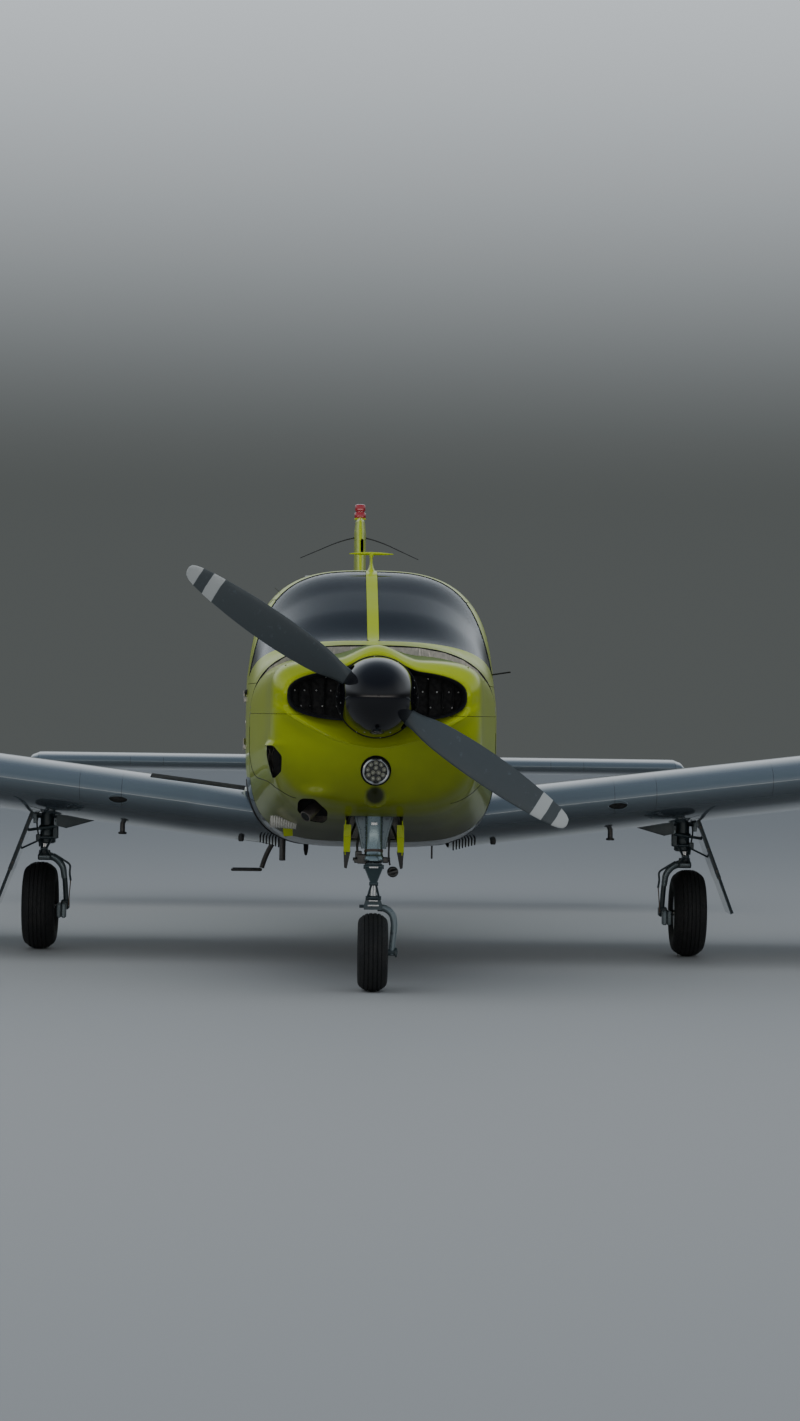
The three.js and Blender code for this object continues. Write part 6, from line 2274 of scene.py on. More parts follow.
    def light(self) -> None:
        """The landing light, tilted down: a dark cup, a bright ring, twelve round cells and a front glass."""
        x, z, radius = self.lamp
        tilt = math.radians(12)
        ahead = np.array([0, -math.cos(tilt), -math.sin(tilt)])
        side, up = np.array([1.0, 0, 0]), np.array([0, -math.sin(tilt), math.cos(tilt)])
        origin = np.array(at(x, 0.382, z))
        wall = radius - 2 * MM
        cup = [(0, -0.05), (wall, -0.05), (wall, -0.01), (0.058, -0.012), (0.056, 2 * MM)]
        cup = lathe([*cup, (0, 2 * MM)], origin, ahead, 64)
        ring = mm((45, 3), (47, 14), (51, 17), (55.5, 14), (56.5, 0), (46, 0))
        ring = lathe(ring, origin, ahead, 72, closed=True)
        spots = []
        for reach, turn in ((0.0345, 90 + 40 * np.arange(9)), (0.0135, 90 + 120 * np.arange(3))):
            turn = np.radians(turn)[:, None]
            spots.append(origin + 3 * MM * ahead + reach * (np.cos(turn) * side + np.sin(turn) * up))
        places, facing = np.concatenate(spots), np.tile(ahead, (12, 1))
        cells = studs(places, facing, 9.5 * MM, 6 * MM, 20)
        cores = studs(places + 5.5 * MM * ahead, facing, 3 * MM, 1.5 * MM, 12)
        solids = [cup, ring.tagged(1), cells.tagged(2), cores.tagged(3)]
        dressed = (VOID_SHADE, CHROME, CELL, MARKS)
        make("landing_light_unit", solids, dressed, "lamp_glass", "landing_light")
        glass = lathe(mm((0, 12.5), (44.5, 12.5), (44.5, 14.5), (0, 15.5)), origin, ahead, 48)
        make("landing_light_glass", [glass], LENS, "lamp_glass")

    def pipes(self) -> None:
        """The exhaust stub, shut by a disc of soot and painted shade in its mouth, the ribbed cooling hose,
        the baffle in painted shade and its screws.
        """
        bends = ((-0.29, 0.635, 0.733), (-0.262, 0.662, 0.76), (-0.236, 0.7, 0.79), (-0.228, 0.76, 0.92))
        route = [at(*bend) for bend in bends]
        outer = bent(route, 0.025, 28)
        mouth = np.array(route[0]) - np.array(route[1])
        lip = mm((21.5, -30), (21.5, 3), (25.5, 3), (26.2, -4), (25, -30))
        lip = lathe(lip, route[0], mouth, 28, closed=True)
        # A dark disc just inside the mouth: soot, with painted shade of the pipe's inside.
        soot_and_shade = lathe(mm((0, 0.5), (21.5, 0.5), (21.5, 1.5), (0, 1.5)), route[0], mouth, 28)
        make("exhaust_stub", [outer, lip, soot_and_shade.tagged(1)], (EXHAUST, VOID_SHADE), "steel_tube", "exhaust_pipe")
        x = np.linspace(-0.445, -0.33, 90)
        ribs = 0.0235 + 0.0035 * np.abs(np.cos(np.pi * (x + 0.445) / 0.0105))
        hose = tube(points_at(x, 1.0, 0.698 - 0.5 * (x + 0.445) ** 2), ribs, 28)
        tab = beam(at(-0.37, 1.09, 0.69), at(-0.366, 1.1, 0.632), (0.022, 3 * MM), (0.02, 2 * MM))
        make("cooling_hose", [hose, tab.tagged(1)], (DUCT, LIME), "panel_black")
        face = block(at(-0.385, 0.452, 1.03), at(0.385, 0.457, 1.37), 2 * MM)
        columns = (-0.34, -0.3, -0.25, -0.19, 0.19, 0.25, 0.3, 0.34)
        spots = [(x, z) for x in columns for z in (1.2, 1.265, 1.32)]
        places = np.array([at(x + 0.4 * (z - 1.26) * np.sign(x), 0.451, z) for x, z in spots])
        screws = studs(places, np.tile([0.0, -1.0, 0.0], (len(places), 1)), 3.5 * MM, 3 * MM)
        fins = []
        for x in (-0.36, -0.32, -0.275, -0.22, 0.22, 0.275, 0.32, 0.36):
            fins.append(block(at(x - 2 * MM, 0.43, 1.17), at(x + 2 * MM, 0.452, 1.33), 1 * MM))
        # Plates behind the side inlet and the pipe hole, near black as painted shade.
        fins.append(block(at(-0.43, 0.645, 0.885), at(-0.36, 0.65, 1.04), 1 * MM))
        fins.append(block(at(-0.33, 0.79, 0.73), at(-0.17, 0.795, 0.9), 1 * MM))
        make("inlet_baffle", [face, *fins, self.throat(), screws.tagged(1)], (BAFFLE_SHADE, ALLOY), "panel_black")

    def trim(self) -> None:
        """Panel seams as thin dark beads on the skin, and the fasteners along the seam of the two halves."""
        arc = self.arc
        beads = []
        for front, way, aft, back in (
            (
                [(-0.332, 0.813), (-0.391, 0.838), (-0.428, 0.86)], 215,
                [(0.66, 0.89), (0.9, 0.95), (1.27, 0.985)], 190,
            ),
            (
                [(0.319, 0.798), (0.378, 0.819), (0.425, 0.848)], -35,
                [(0.66, 0.885), (0.9, 0.94), (1.27, 0.98)], -10,
            ),
        ):
            nose = locate(self.surface, front, (0.5, math.radians(way) * arc))
            flank = locate(self.surface, aft, (0.8, math.radians(back) * arc), (1, 2))
            beads.append(traced(self.surface, np.concatenate([nose, flank]), 1.7 * MM))
        make("cowl_seams", beads, SEAL, "panel_black")
        places, normals = [], []
        for base, way in ((0.0, 1), (math.pi * arc, -1)):
            for z in (1.145, 1.185):
                targets = [(station, z) for station in np.arange(0.6, 1.28, 0.095)]
                found = locate(self.surface, targets, (0.9, base), (1, 2))
                here = self.surface(*found.T)
                places.append(here)
                normals.append(np.tile([way, 0.0, 0.0], (len(here), 1)))
        heads = studs(np.concatenate(places), np.concatenate(normals), 6 * MM, 1.6 * MM, 14)
        make("cowl_fasteners", [heads], STEEL, "bare_metal")


@dataclass
class Propeller:
    """Two blades and their spinner, which turn together."""

    shaft_z: float = 1.24
    plane: float = 0.215
    angle: float = 146.6
    centre: float = 0.44
    # Radius, chord, thickness, pitch in degrees
    sections: tuple[tuple[float, float, float, float], ...] = (
        (0.1, 0.076, 0.07, 50),
        (0.14, 0.078, 0.062, 47),
        (0.18, 0.09, 0.044, 42),
        (0.25, 0.122, 0.028, 35),
        (0.4, 0.146, 0.02, 26),
        (0.55, 0.146, 0.015, 20),
        (0.75, 0.12, 0.011, 15),
        (0.85, 0.096, 0.009, 13.5),
        (0.9, 0.076, 0.008, 13),
        (0.925, 0.056, 0.007, 12.5),
        (0.936, 0.036, 0.006, 12),
        (0.94, 0.014, 0.005, 12),
    )
    # Radius, station
    dome: Table = (
        (0, 0), (0.02, 0.0018), (0.038, 0.007), (0.078, 0.03), (0.112, 0.068),
        (0.14, 0.122), (0.158, 0.19), (0.1665, 0.262), (0.168, 0.3),
    )

    def ring(self, radius: Array) -> Array:
        """One blade's sections, standing up: round ones at the root, wing sections further out.

        Args:
            radius: the sections' distances from the shaft.

        Returns:
            A ring of points for each radius.
        """
        table = np.array(self.sections)
        chord, thick, pitch = np.moveaxis(cubic(table[:, 0], table[:, 1:], radius), -1, 0)
        angle = (np.arange(48) + 0.5) / 48 * 2 * np.pi
        u = (1 + np.cos(angle)) / 2
        sign = np.where(np.sin(angle) >= 0, 1, -1)
        round_half = 0.5 * np.abs(np.sin(angle))
        share = smoothstep(radius, 0.14, 0.3)[:, None]
        half = (1 - share) * round_half + share * (foil_half(u) + 0.04 * u)
        t = -thick[:, None] * half * sign
        c = (self.centre - u) * chord[:, None]
        turn = np.radians(pitch)[:, None]
        x = c * np.cos(turn) + t * np.sin(turn)
        y = t * np.cos(turn) - c * np.sin(turn)
        return np.stack([x, y, np.broadcast_to(radius[:, None], x.shape)], -1)

    def placed(self, solid: Solid, degrees: float) -> Solid:
        """An upright blade's solid turned into the disc."""
        turned = solid.turned((0, 1, 0), 90 - degrees, (0, 0, 0))
        return Solid(turned.points + np.array(at(0, self.plane, self.shaft_z)), turned.quads, turned.tags)

    def build(self) -> None:
        """Makes the blades with their hub and the spinner with its screws."""
        radii = np.concatenate([steps(0.1, 0.9, 0.016), steps(0.9, 0.94, 0.003)[1:]])
        blade = capped(self.ring(radii))
        blades = [self.placed(blade, degrees) for degrees in (self.angle, self.angle - 180)]
        hub = rod(at(0, 0.15, self.shaft_z), at(0, 0.288, self.shaft_z), 0.1, 40)
        make("blade_pair", [*blades, hub], BLADE, "blade_grey", "propeller_blades", body="propeller")
        profile = np.array(self.dome)
        run = run_along(profile)

        def surface(u: Array, angle: Array) -> Array:
            """The dome at arc lengths from its tip and at turns about the shaft."""
            radius, station = np.moveaxis(cubic(run, profile, u), -1, 0)
            return points_at(radius * np.cos(angle), station, self.shaft_z + radius * np.sin(angle))

        slots = []
        for degrees in (self.angle, self.angle - 180):
            a = math.radians(degrees)

            def slot(points: Array, a: float = a) -> Array:
                """The distance from a blade's slot, an oval about the blade's axis.

                Args:
                    points: places in space.
                    a: the angle of the blade.

                Returns:
                    One distance for each point.
                """
                x, z = points[:, 0], points[:, 2] - self.shaft_z
                out = x * math.cos(a) + z * math.sin(a)
                across = x * math.sin(a) - z * math.cos(a)
                along = points[:, 1] + LENGTH / 2 - self.plane
                oval = (np.abs(across / 0.054) ** 2.6 + np.abs(along / 0.056) ** 2.6) ** (1 / 2.6)
                return np.maximum((oval - 1) * 0.05, 0.06 - out)

            slots.append(slot)
        along, middle = steps(0.002, run[-1], 7 * MM), at(0, 0.2, self.shaft_z)
        dome = wrapped(surface, 0.15, along, 112, without(everywhere, *slots), 3 * MM, middle, 0.0)
        tip = lathe([(0, 0), (0.0025, 0.0)], at(0, 0, self.shaft_z), (0, 1, 0), 16)
        plate = mm((100, 292), (170, 292), (172, 296), (172, 306), (170, 310), (100, 310))
        back = lathe(plate, at(0, 0, self.shaft_z), (0, 1, 0), 96, closed=True)
        turns = np.radians([25, 60, 95, 180, 205, 240, 275, 0])
        screws = surface(np.full(len(turns), run[-1] - 0.016), turns)
        more = surface(np.full(6, run[-1] - 0.13), np.radians([15, 70, 110, 190, 250, 290]))
        spots = np.concatenate([screws, more])
        normals = spots - np.array(at(0, 0.25, self.shaft_z))
        heads = studs(spots, normals, 3.2 * MM, 1.4 * MM).tagged(3)
        solids = [dome, tip, back.tagged(1), heads]
        dressed = (BLACK_GLOSS, VOID_SHADE, BLACK_GLOSS, ALLOY)
        make("spinner_dome", solids, dressed, "spinner_black", "spinner", body="propeller")


@dataclass(frozen=True)
class Wheel:
    """A wheel: its centre, the tyre's outer radius and half width, and the radius of its bead."""

    x: float
    station: float
    radius: float
    half: float
    bead: float
    ribs: int = 5
    # Shares of the tyre's radius and half width
    flank: Table = (
        (0.91, 0.74), (0.88, 0.85), (0.84, 0.93), (0.78, 0.985),
        (0.71, 1.0), (0.63, 0.96), (0.56, 0.87), (0.51, 0.76),
    )

    def tyre(self) -> Solid:
        """The tyre: a ring whose section has a crown with grooves, bulging walls and beads.

        Returns:
            The tyre.
        """
        angle = np.linspace(-1.0, 1.0, 85)
        crown = 0.74 * self.half
        across = angle * crown
        drop = 0.09 * self.radius * np.abs(angle) ** 3
        pitch = 2 * crown / (self.ribs + 1)
        off = np.abs((across / pitch) - np.round(across / pitch)) * pitch
        inside = np.abs(across) < (self.ribs / 2) * pitch
        groove = 3.5 * MM * (1 - smoothstep(off, 1.6 * MM, 2.8 * MM)) * inside
        top = np.stack([self.radius - drop - groove, across], -1)
        wall = np.array(self.flank) * (self.radius, self.half)
        wall = smooth(wall, 20)[1:]
        bead = np.array([[self.bead + 4 * MM, 0.66 * self.half], [self.bead, 0.6 * self.half]])
        right = np.concatenate([wall, bead])
        left = right[::-1] * (1, -1)
        profile = np.concatenate([left, top, right])
        return lathe(profile, self.centre(), (1, 0, 0), 100, closed=True)

    def centre(self) -> tuple[float, float, float]:
        """The wheel's centre; the tyre stands on the ground."""
        return at(self.x, self.station, self.radius)

    def rim(self, bore: float, out: int) -> list[Solid]:
        """The rim: a turned drum with a dished face, bolts in a ring, and a bearing cap on the outer side.

        Args:
            bore: the radius of its bore.
            out: the sign of the outer side's x.

        Returns:
            The rim's solids.
        """
        half, bead = self.half, self.bead
        side = [
            (0.42 * bead, 0.5 * half), (0.55 * bead, 0.3 * half),
            (0.82 * bead, 0.34 * half), (0.9 * bead, 0.7 * half),
            (1.1 * bead, 0.76 * half), (1.1 * bead, 0.7 * half), (0.985 * bead, 0.62 * half),
        ]
        other = [(r, -d) for r, d in side]
        profile = [(bore, -0.5 * half), *other, (0.95 * bead, 0), *side[::-1], (bore, 0.5 * half)]
        drum = lathe(profile, self.centre(), (1, 0, 0), 64, closed=True)
        turn = circle(8)
        solids = [drum]
        for face in (-1, 1):
            ring = [np.full(8, face * 0.315 * half), 0.68 * bead * np.cos(turn), 0.68 * bead * np.sin(turn)]
            spots = np.array(self.centre()) + np.stack(ring, -1)
            solids.append(studs(spots, np.tile([face, 0.0, 0.0], (8, 1)), 5 * MM, 6 * MM, 6).tagged(1))
        cap = [
            (0, 0.62 * half), (0.3 * bead, 0.6 * half),
            (0.36 * bead, 0.5 * half), (0.36 * bead, 0.42 * half),
        ]
        solids.append(lathe([(r, out * d) for r, d in cap], self.centre(), (1, 0, 0), 32).tagged(1))
        return solids


def fork_link(knee: Point, foot: Point, near: float, far: float, half: float) -> list[Solid]:
    """Two thin arms that spread from a knee to a foot, and leave the bar behind them in view."""
    ends = [(np.array(knee) + (s * near, 0, 0), np.array(foot) + (s * far, 0, 0)) for s in (-1, 1)]
    return [beam(a, b, (half, 5 * MM), (half, 6 * MM)) for a, b in ends]


@dataclass
class NoseGear:
    """The nose leg in its bay, the steered fork, the wheel and the two doors."""

    wheel: Wheel = Wheel(0.0, 0.59, 0.165, 0.063, 0.08, 4)
    rake: float = math.radians(8)
    tube: float = 0.038
    piston: float = 0.0145
    # Radius, then height, x and distance aft of the leg's line
    hoses: tuple[tuple[float, tuple[Point, ...]], ...] = (
        (5 * MM, ((0.75, -0.055, 0.03), (0.66, -0.062, 0.02), (0.6, -0.07, 0), (0.57, -0.066, -0.008))),
        (4 * MM, ((0.74, 0.06, 0.04), (0.64, 0.066, 0.02), (0.55, 0.066, 0.01), (0.53, 0.07, 0.01))),
    )

    def on(self, z: float, x: float = 0.0, aft: float = 0.0) -> tuple[float, float, float]:
        """A point of the leg's line at a height, moved across and aft."""
        return at(x, self.wheel.station + (z - self.wheel.radius) * math.tan(self.rake) + aft, z)

    def build(self) -> None:
        """Makes every piece."""
        self.leg()
        self.fork()
        make("nose_tyre_skin", [self.wheel.tyre()], RUBBER, "tyre_rubber", "nose_tyre", body="nose_wheel")
        solids = self.wheel.rim(15.5 * MM, -1)
        make("nose_rim_skin", solids, (ALLOY, STEEL), "rim_metal", "nose_rim", body="nose_wheel")
        for side in Side:
            self.door(side)

    def leg(self) -> None:
        """The housing with webs, trunnion, brace, band, steering arms and hoses."""
        axis = np.array(self.on(1.0)) - np.array(self.on(0.0))
        wall = self.tube / MM
        profile = mm(
            (16.5, 0), (34, 0), (45, 4), (45, 22), (42, 27), (40, 30), (wall, 40),
            (wall, 190), (41, 195), (41, 205), (wall, 210), (wall, 350), (16.5, 350),
        )
        solids = [lathe(profile, self.on(0.54), axis, 48, closed=True).tagged(4)]
        web = ((0.026, 0.59), (0.043, 0.6), (0.052, 0.65), (0.074, 0.74), (0.078, 0.86), (0.026, 0.86))
        rib = ((0.046, 0.6), (0.057, 0.66), (0.079, 0.74), (0.083, 0.86))
        for s in (-1, 1):
            edge = np.array([self.on(z, s * x) for x, z in web])
            solids += [
                slab(edge, (0, -5 * MM, 0), (0, 5 * MM, 0)),
                bent([self.on(z, s * x) for x, z in rib], 7 * MM),
                rod(self.on(0.88, s * 0.195), at(s * 0.19, 1.285, 0.85), 11 * MM),
            ]
        solids.append(rod(self.on(0.88, -0.2), self.on(0.88, 0.2), 19 * MM))
        solids.append(beam(self.on(0.69, 0, 0.03), at(0, 1.18, 0.79), (0.02, 0.009), (0.03, 0.009)))
        band = lathe(mm((38, 0), (39.8, 0), (39.8, 11), (38, 11)), self.on(0.584), axis, 48, closed=True)
        plate = block(self.on(0.7, -0.013, -0.0415), self.on(0.712, 0.015, -0.036), 1 * MM)
        dark = []
        for x, z, w in (
            (-0.064, 0.575, 0.014), (-0.05, 0.556, 0.02), (-0.074, 0.548, 0.009), (0.05, 0.552, 0.012)
        ):
            dark.append(block(self.on(z - w, x - w, -0.02), self.on(z + w, x + w, 0.016), 3 * MM))
        dark.append(rod(self.on(0.555, -0.088, -0.002), self.on(0.555, 0.07, -0.002), 7 * MM))
        loop = [self.on(0.502 + 0.015 * math.sin(a), 0.082 + 0.016 * math.cos(a), 0.012) for a in circle(32)]
        dark.append(tube(np.array(loop), 8 * MM, closed=True))
        dark.append(rod(self.on(0.495, 0.06, 0.0), self.on(0.508, 0.102, 0.0), 9 * MM))
        for radius, route in self.hoses:
            dark.append(bent([self.on(*place) for place in route], radius))
        bolts = np.array([self.on(0.552, x, -0.046) for x in (-0.03, 0.03)])
        dark.insert(0, studs(bolts, np.tile([0.0, -1.0, 0.0], (2, 1)), 5 * MM, 5 * MM, 6))
        solids += [band.tagged(2), plate.tagged(3), *tagged(1, *dark)]
        worn = Satin("band_brown", (0.05, 0.035, 0.028), 0.5)
        dressed = (GEAR_LIGHT, DARK_STEEL, worn, ALLOY, LEG_METAL)
        make("nose_leg_housing", solids, dressed, "gear_grey", "nose_gear_leg")
        bay = [
            block(at(-0.121, 0.6, 0.72), at(-0.117, 1.26, 1.0), 0.5 * MM),
            block(at(0.117, 0.6, 0.72), at(0.121, 1.26, 1.0), 0.5 * MM),
            block(at(-0.121, 0.6, 1.0), at(0.121, 1.26, 1.004), 0.5 * MM),
        ]
        make("nose_bay_walls", bay, VOID_SHADE, "gear_grey")

    def fork(self) -> None:
        """The chrome piston, the torque links, the crown block with its stripes and the one-sided fork."""
        axis = np.array(self.on(1.0)) - np.array(self.on(0.0))
        bright = rod(self.on(0.536), self.on(0.39), self.piston, 32)
        collar = lathe(mm((16.5, 0), (37, 0), (37, 14), (16.5, 14)), self.on(0.522), axis, 40, closed=True)
        top, knee, crown = self.on(0.525, 0, -0.05), self.on(0.456, 0.0, -0.1), self.on(0.395, 0, -0.045)
        dark = [
            collar,
            beam(top, knee, (0.04, 0.007), (0.011, 0.006)),
            *fork_link(knee, crown, 0.009, 0.0245, 4 * MM),
            rod(self.on(0.525, -0.043, -0.05), self.on(0.525, 0.043, -0.05), 9 * MM),
            rod(self.on(0.456, -0.019, -0.1), self.on(0.456, 0.019, -0.1), 7.5 * MM),
            rod(self.on(0.395, -0.033, -0.045), self.on(0.395, 0.033, -0.045), 8 * MM),
        ]
        half = ((0.026, 0.402), (0.039, 0.362), (0.039, 0.345))
        outline = (*((-x, z) for x, z in half[::-1]), *half)
        face = np.array([self.on(z, x) for x, z in outline])
        dark.append(slab(face, (0, -0.044, 0), (0, 0.024, 0)))
        dark.append(rod(self.on(0.357, -0.058), self.on(0.357, -0.03), 7 * MM))
        lips = []
        for low, high, wide, front, back in (
            (0.359, 0.367, 0.024, -0.049, -0.04),
            (0.379, 0.386, 0.02, -0.049, -0.04),
            (0.519, 0.528, 0.02, -0.064, -0.056),
        ):
            lips.append(block(self.on(low, -wide, front), self.on(high, wide, back), 1.5 * MM))
        route = (
            (0.352, 0.02), (0.348, 0.052), (0.325, 0.08), (0.29, 0.089),
            (0.25, 0.088), (0.2, 0.083), (0.155, 0.0805),
        )
        arm = bent([self.on(*place) for place in route], np.linspace(0.0155, 0.0125, 36), 16, 36)
        level = self.wheel.radius
        axle = rod(self.on(level, -0.052), self.on(level, 0.1), 14 * MM, 24)
        nut = lathe(mm((0, 0), (20, 0), (20, 8), (12, 11), (0, 12)), self.on(level, 0.094), (1, 0, 0), 6)
        solids = [bright.tagged(2), *dark, *tagged(3, *lips), arm.tagged(1), axle, nut]
        dressed = (GEAR_GREY, GEAR_LIGHT, CHROME, ALLOY)
        make("nose_fork_parts", solids, dressed, "gear_grey", "nose_fork", body="nose_steering")

    def door(self, side: Side) -> None:
        """One bay door: a flat sheet with a return flange and a painted front edge, on black hinge arms.

        Args:
            side: the side on which it hangs.
        """
        s = side.value
        corners = ((0.64, 0.742), (1.12, 0.7), (1.13, 0.56), (0.9, 0.54), (0.7, 0.515), (0.652, 0.58))
        outline = np.array(corners)
        face = np.array([at(s * 0.118, station, z) for station, z in outline])
        sheet = slab(face, (0, 0, 0), (s * 0.005, 0, 0))
        front = [at(s * 0.112, 0.652, 0.7), at(s * 0.113, 0.644, 0.65), at(s * 0.114, 0.648, 0.585)]
        edge = beam(front[0], front[1], (0.0155, 0.004), (0.0155, 0.004))
        low = beam(front[1], front[2], (0.0155, 0.004), (0.014, 0.004))
        tip = ((0.098, 0.655, 0.588), (0.128, 0.655, 0.588), (0.124, 0.67, 0.516), (0.113, 0.67, 0.513))
        tip = slab(np.array([at(s * x, station, z) for x, station, z in tip]), (0, 0, 0), (0, 0.012, 0))
        route = [at(s * 0.112, 0.68, 0.7), at(s * 0.104, 0.665, 0.735), at(s * 0.08, 0.66, 0.75)]
        hinge = bent(route, 8 * MM)
        strut = rod(at(s * 0.114, 0.8, 0.6), at(s * 0.06, 0.84, 0.74), 5 * MM)
        solids = [sheet, edge, low, *tagged(1, tip, hinge, strut)]
        name = f"nose_door_{side.label}"
        make(f"{name}_skin", solids, (LIME, DARK_STEEL), "body_lime", name)


@dataclass
class MainGear:
    """A main leg in the wing: strut, scissor links, trailing arm, brake, wheel and the door on the leg."""

    side: Side
    x: float = 1.56
    station: float = 2.97
    # Radius, then distance from the centre plane, aft of the axle and height
    hoses: tuple[tuple[float, tuple[Point, ...]], ...] = (
        (
            5 * MM,
            (
                (1.524, -0.02, 0.463), (1.475, -0.03, 0.434), (1.446, -0.03, 0.412), (1.446, -0.03, 0.374),
                (1.44, -0.04, 0.336),
            ),
        ),
        (4 * MM, ((1.6, 0.02, 0.68), (1.612, 0.01, 0.62), (1.603, 0, 0.55), (1.595, -0.02, 0.5))),
    )

    def __post_init__(self) -> None:
        """Sets the wheel to its side."""
        self.wheel = Wheel(self.side.value * 1.59, self.station, 0.212, 0.08, 0.094, 5)

    def at(self, x: float, aft: float, z: float) -> tuple[float, float, float]:
        """A point by its distance from the centre plane, aft of the axle and height."""
        return at(self.side.value * x, self.station + aft, z)

    def box(self, low: Point, high: Point, bevel: float = 2 * MM) -> Solid:
        """A box between two such points."""
        a, b = np.array(self.at(*low)), np.array(self.at(*high))
        return block(np.minimum(a, b), np.maximum(a, b), bevel)

    def bar(self, start: Point, end: Point, radius: float, sides: int = 20) -> Solid:
        """A straight round bar between two such points."""
        return rod(self.at(*start), self.at(*end), radius, sides)

    def pipe(self, places: Sequence[Point], radius: float | Array, sides: int = 12) -> Solid:
        """A round bar along a smooth curve through such points."""
        return bent([self.at(*place) for place in places], radius, sides)

    def build(self) -> None:
        """Makes every piece."""
        label = self.side.label
        body = f"main_wheel_{label}"
        tyre = self.wheel.tyre()
        make(f"main_tyre_{label}_skin", [tyre], RUBBER, "tyre_rubber", f"main_tyre_{label}", body=body)
        disc = mm((30, -2), (78, -2), (78, 4), (30, 4))
        disc = lathe(disc, self.at(1.545, 0, 0.212), (1, 0, 0), 64, closed=True)
        rim = [*self.wheel.rim(17.5 * MM, self.side.value), disc.tagged(1)]
        make(f"main_rim_{label}_skin", rim, (ALLOY, STEEL), "rim_metal", f"main_rim_{label}", body=body)
        self.leg()
        self.door()

    def leg(self) -> None:
        """The strut from the wing down, the links, the block, the arm, the calliper and the hoses."""
        up = (0, 0, 1)
        housing = mm(
            (0, 515), (30, 515), (41, 521), (41, 545), (36, 550),
            (34, 580), (42, 585), (42, 600), (34, 606), (34, 720),
            (0, 720),
        )
        knee = self.at(1.567, -0.1, 0.492)
        wedge = ((1.3, 0.64), (1.462, 0.593), (1.506, 0.603), (1.51, 0.66), (1.4, 0.67))
        wide = (0.085, 0.002)
        dark = [
            lathe(housing, self.at(self.x, 0, 0), up, 32),
            self.bar((self.x - 0.07, 0, 0.66), (self.x + 0.06, 0, 0.66), 0.022),
            *fork_link(knee, self.at(1.565, -0.035, 0.545), 0.01, 0.031, 4.5 * MM),
            *fork_link(knee, self.at(1.57, -0.035, 0.458), 0.01, 0.026, 4 * MM),
            self.bar((1.55, -0.1, 0.492), (1.584, -0.1, 0.492), 8 * MM),
            self.bar((1.526, -0.04, 0.545), (1.604, -0.04, 0.545), 9 * MM),
            self.box((1.539, -0.045, 0.434), (1.602, 0.04, 0.464), 5 * MM),
            lathe(mm((0, 460), (30, 460), (27, 482), (0, 482)), self.at(1.572, 0, 0), up, 24),
            self.pipe(((1.472, 0, 0.35), (1.468, 0, 0.3), (1.463, 0, 0.212)), 0.0125),
            self.box((1.45, -0.02, 0.192), (1.488, 0.07, 0.24), 6 * MM),
            *(self.pipe(places, radius) for radius, places in self.hoses),
            self.bar((1.511, -0.06, 0.602), (1.652, -0.04, 0.58), 7 * MM),
            self.bar((1.589, -0.05, 0.535), (1.683, -0.03, 0.49), 4.5 * MM),
            self.box((1.588, -0.05, 0.525), (1.612, -0.01, 0.56), 3 * MM),
            self.box((1.505, -0.05, 0.54), (1.53, 0.0, 0.6), 3 * MM),
            slab(np.array([self.at(x, -0.085, z) for x, z in wedge]), (0, 0, 0), (0, 4 * MM, 0)),
            beam(self.at(1.3, 0.0, 0.641), self.at(1.465, 0.0, 0.594), wide, wide, (0, 1, 0)),
        ]
        arm = ((1.555, 0, 0.456), (1.515, 0, 0.44), (1.485, 0, 0.405), (1.473, 0, 0.345))
        light = [
            self.pipe(arm, np.linspace(0.019, 0.014, 24), 16),
            self.box((1.459, -0.085, 0.155), (1.481, -0.03, 0.226), 5 * MM),
            self.box((1.483, -0.085, 0.155), (1.505, -0.03, 0.226), 5 * MM),
            self.box((1.545, -0.052, 0.446), (1.596, -0.044, 0.455), 1.5 * MM),
            self.box((1.487, -0.07, 0.622), (1.52, -0.045, 0.634)),
            self.box((1.508, -0.07, 0.604), (1.52, -0.045, 0.64)),
            self.box((1.608, -0.06, 0.615), (1.625, -0.04, 0.66)),
        ]
        bright = [
            self.bar((1.572, 0, 0.53), (1.572, 0, 0.44), 0.017, 32),
            self.bar((1.45, 0, 0.212), (1.63, 0, 0.212), 0.0155, 24),
        ]
        line = self.pipe(((1.44, -0.04, 0.34), (1.444, -0.05, 0.28), (1.448, -0.055, 0.215)), 2.5 * MM)
        solids = [*dark, *tagged(1, *light), *tagged(2, *bright), line.tagged(3)]
        pipe = Satin("brake_line_brown", (0.09, 0.05, 0.025), 0.5)
        name = f"main_leg_{self.side.label}"
        make(f"{name}_parts", solids, (GEAR_GREY, GEAR_LIGHT, CHROME, pipe), "gear_grey", name)

    def door(self) -> None:
        """The long door that hangs from the leg: two skins on a frame, thinner below its joint."""
        top, joint, foot = np.array((1.624, 0.672)), np.array((1.7319, 0.389)), np.array((1.798, 0.216))
        solids = []
        for first, last, deep in ((top, joint, 0.009), (joint, foot, 0.0065)):
            along = (last - first) / np.linalg.norm(last - first)
            off = np.array((-along[1], along[0])) * deep
            for shift, thick, half, kind in (
                (off, 0.0015, 0.12, 0), (-off, 0.0015, 0.12, 0), (0 * off, deep, 0.105, 2)
            ):
                a, b = first + shift, last + shift
                start, end = self.at(a[0], 0, a[1]), self.at(b[0], 0, b[1])
                solids.append(beam(start, end, (half, thick), (half * 0.94, thick), (0, 1, 0)).tagged(kind))
        for share in (0.12, 0.5, 0.88, 1.0):
            x, z = top + (joint - top) * share
            solids.append(self.bar((x, -0.118, z), (x, 0.118, z), 6 * MM).tagged(1))
        name = f"leg_door_{self.side.label}"
        make(f"{name}_skin", solids, (SILVER, DARK_STEEL, GEAR_GREY), "wing_silver", name)


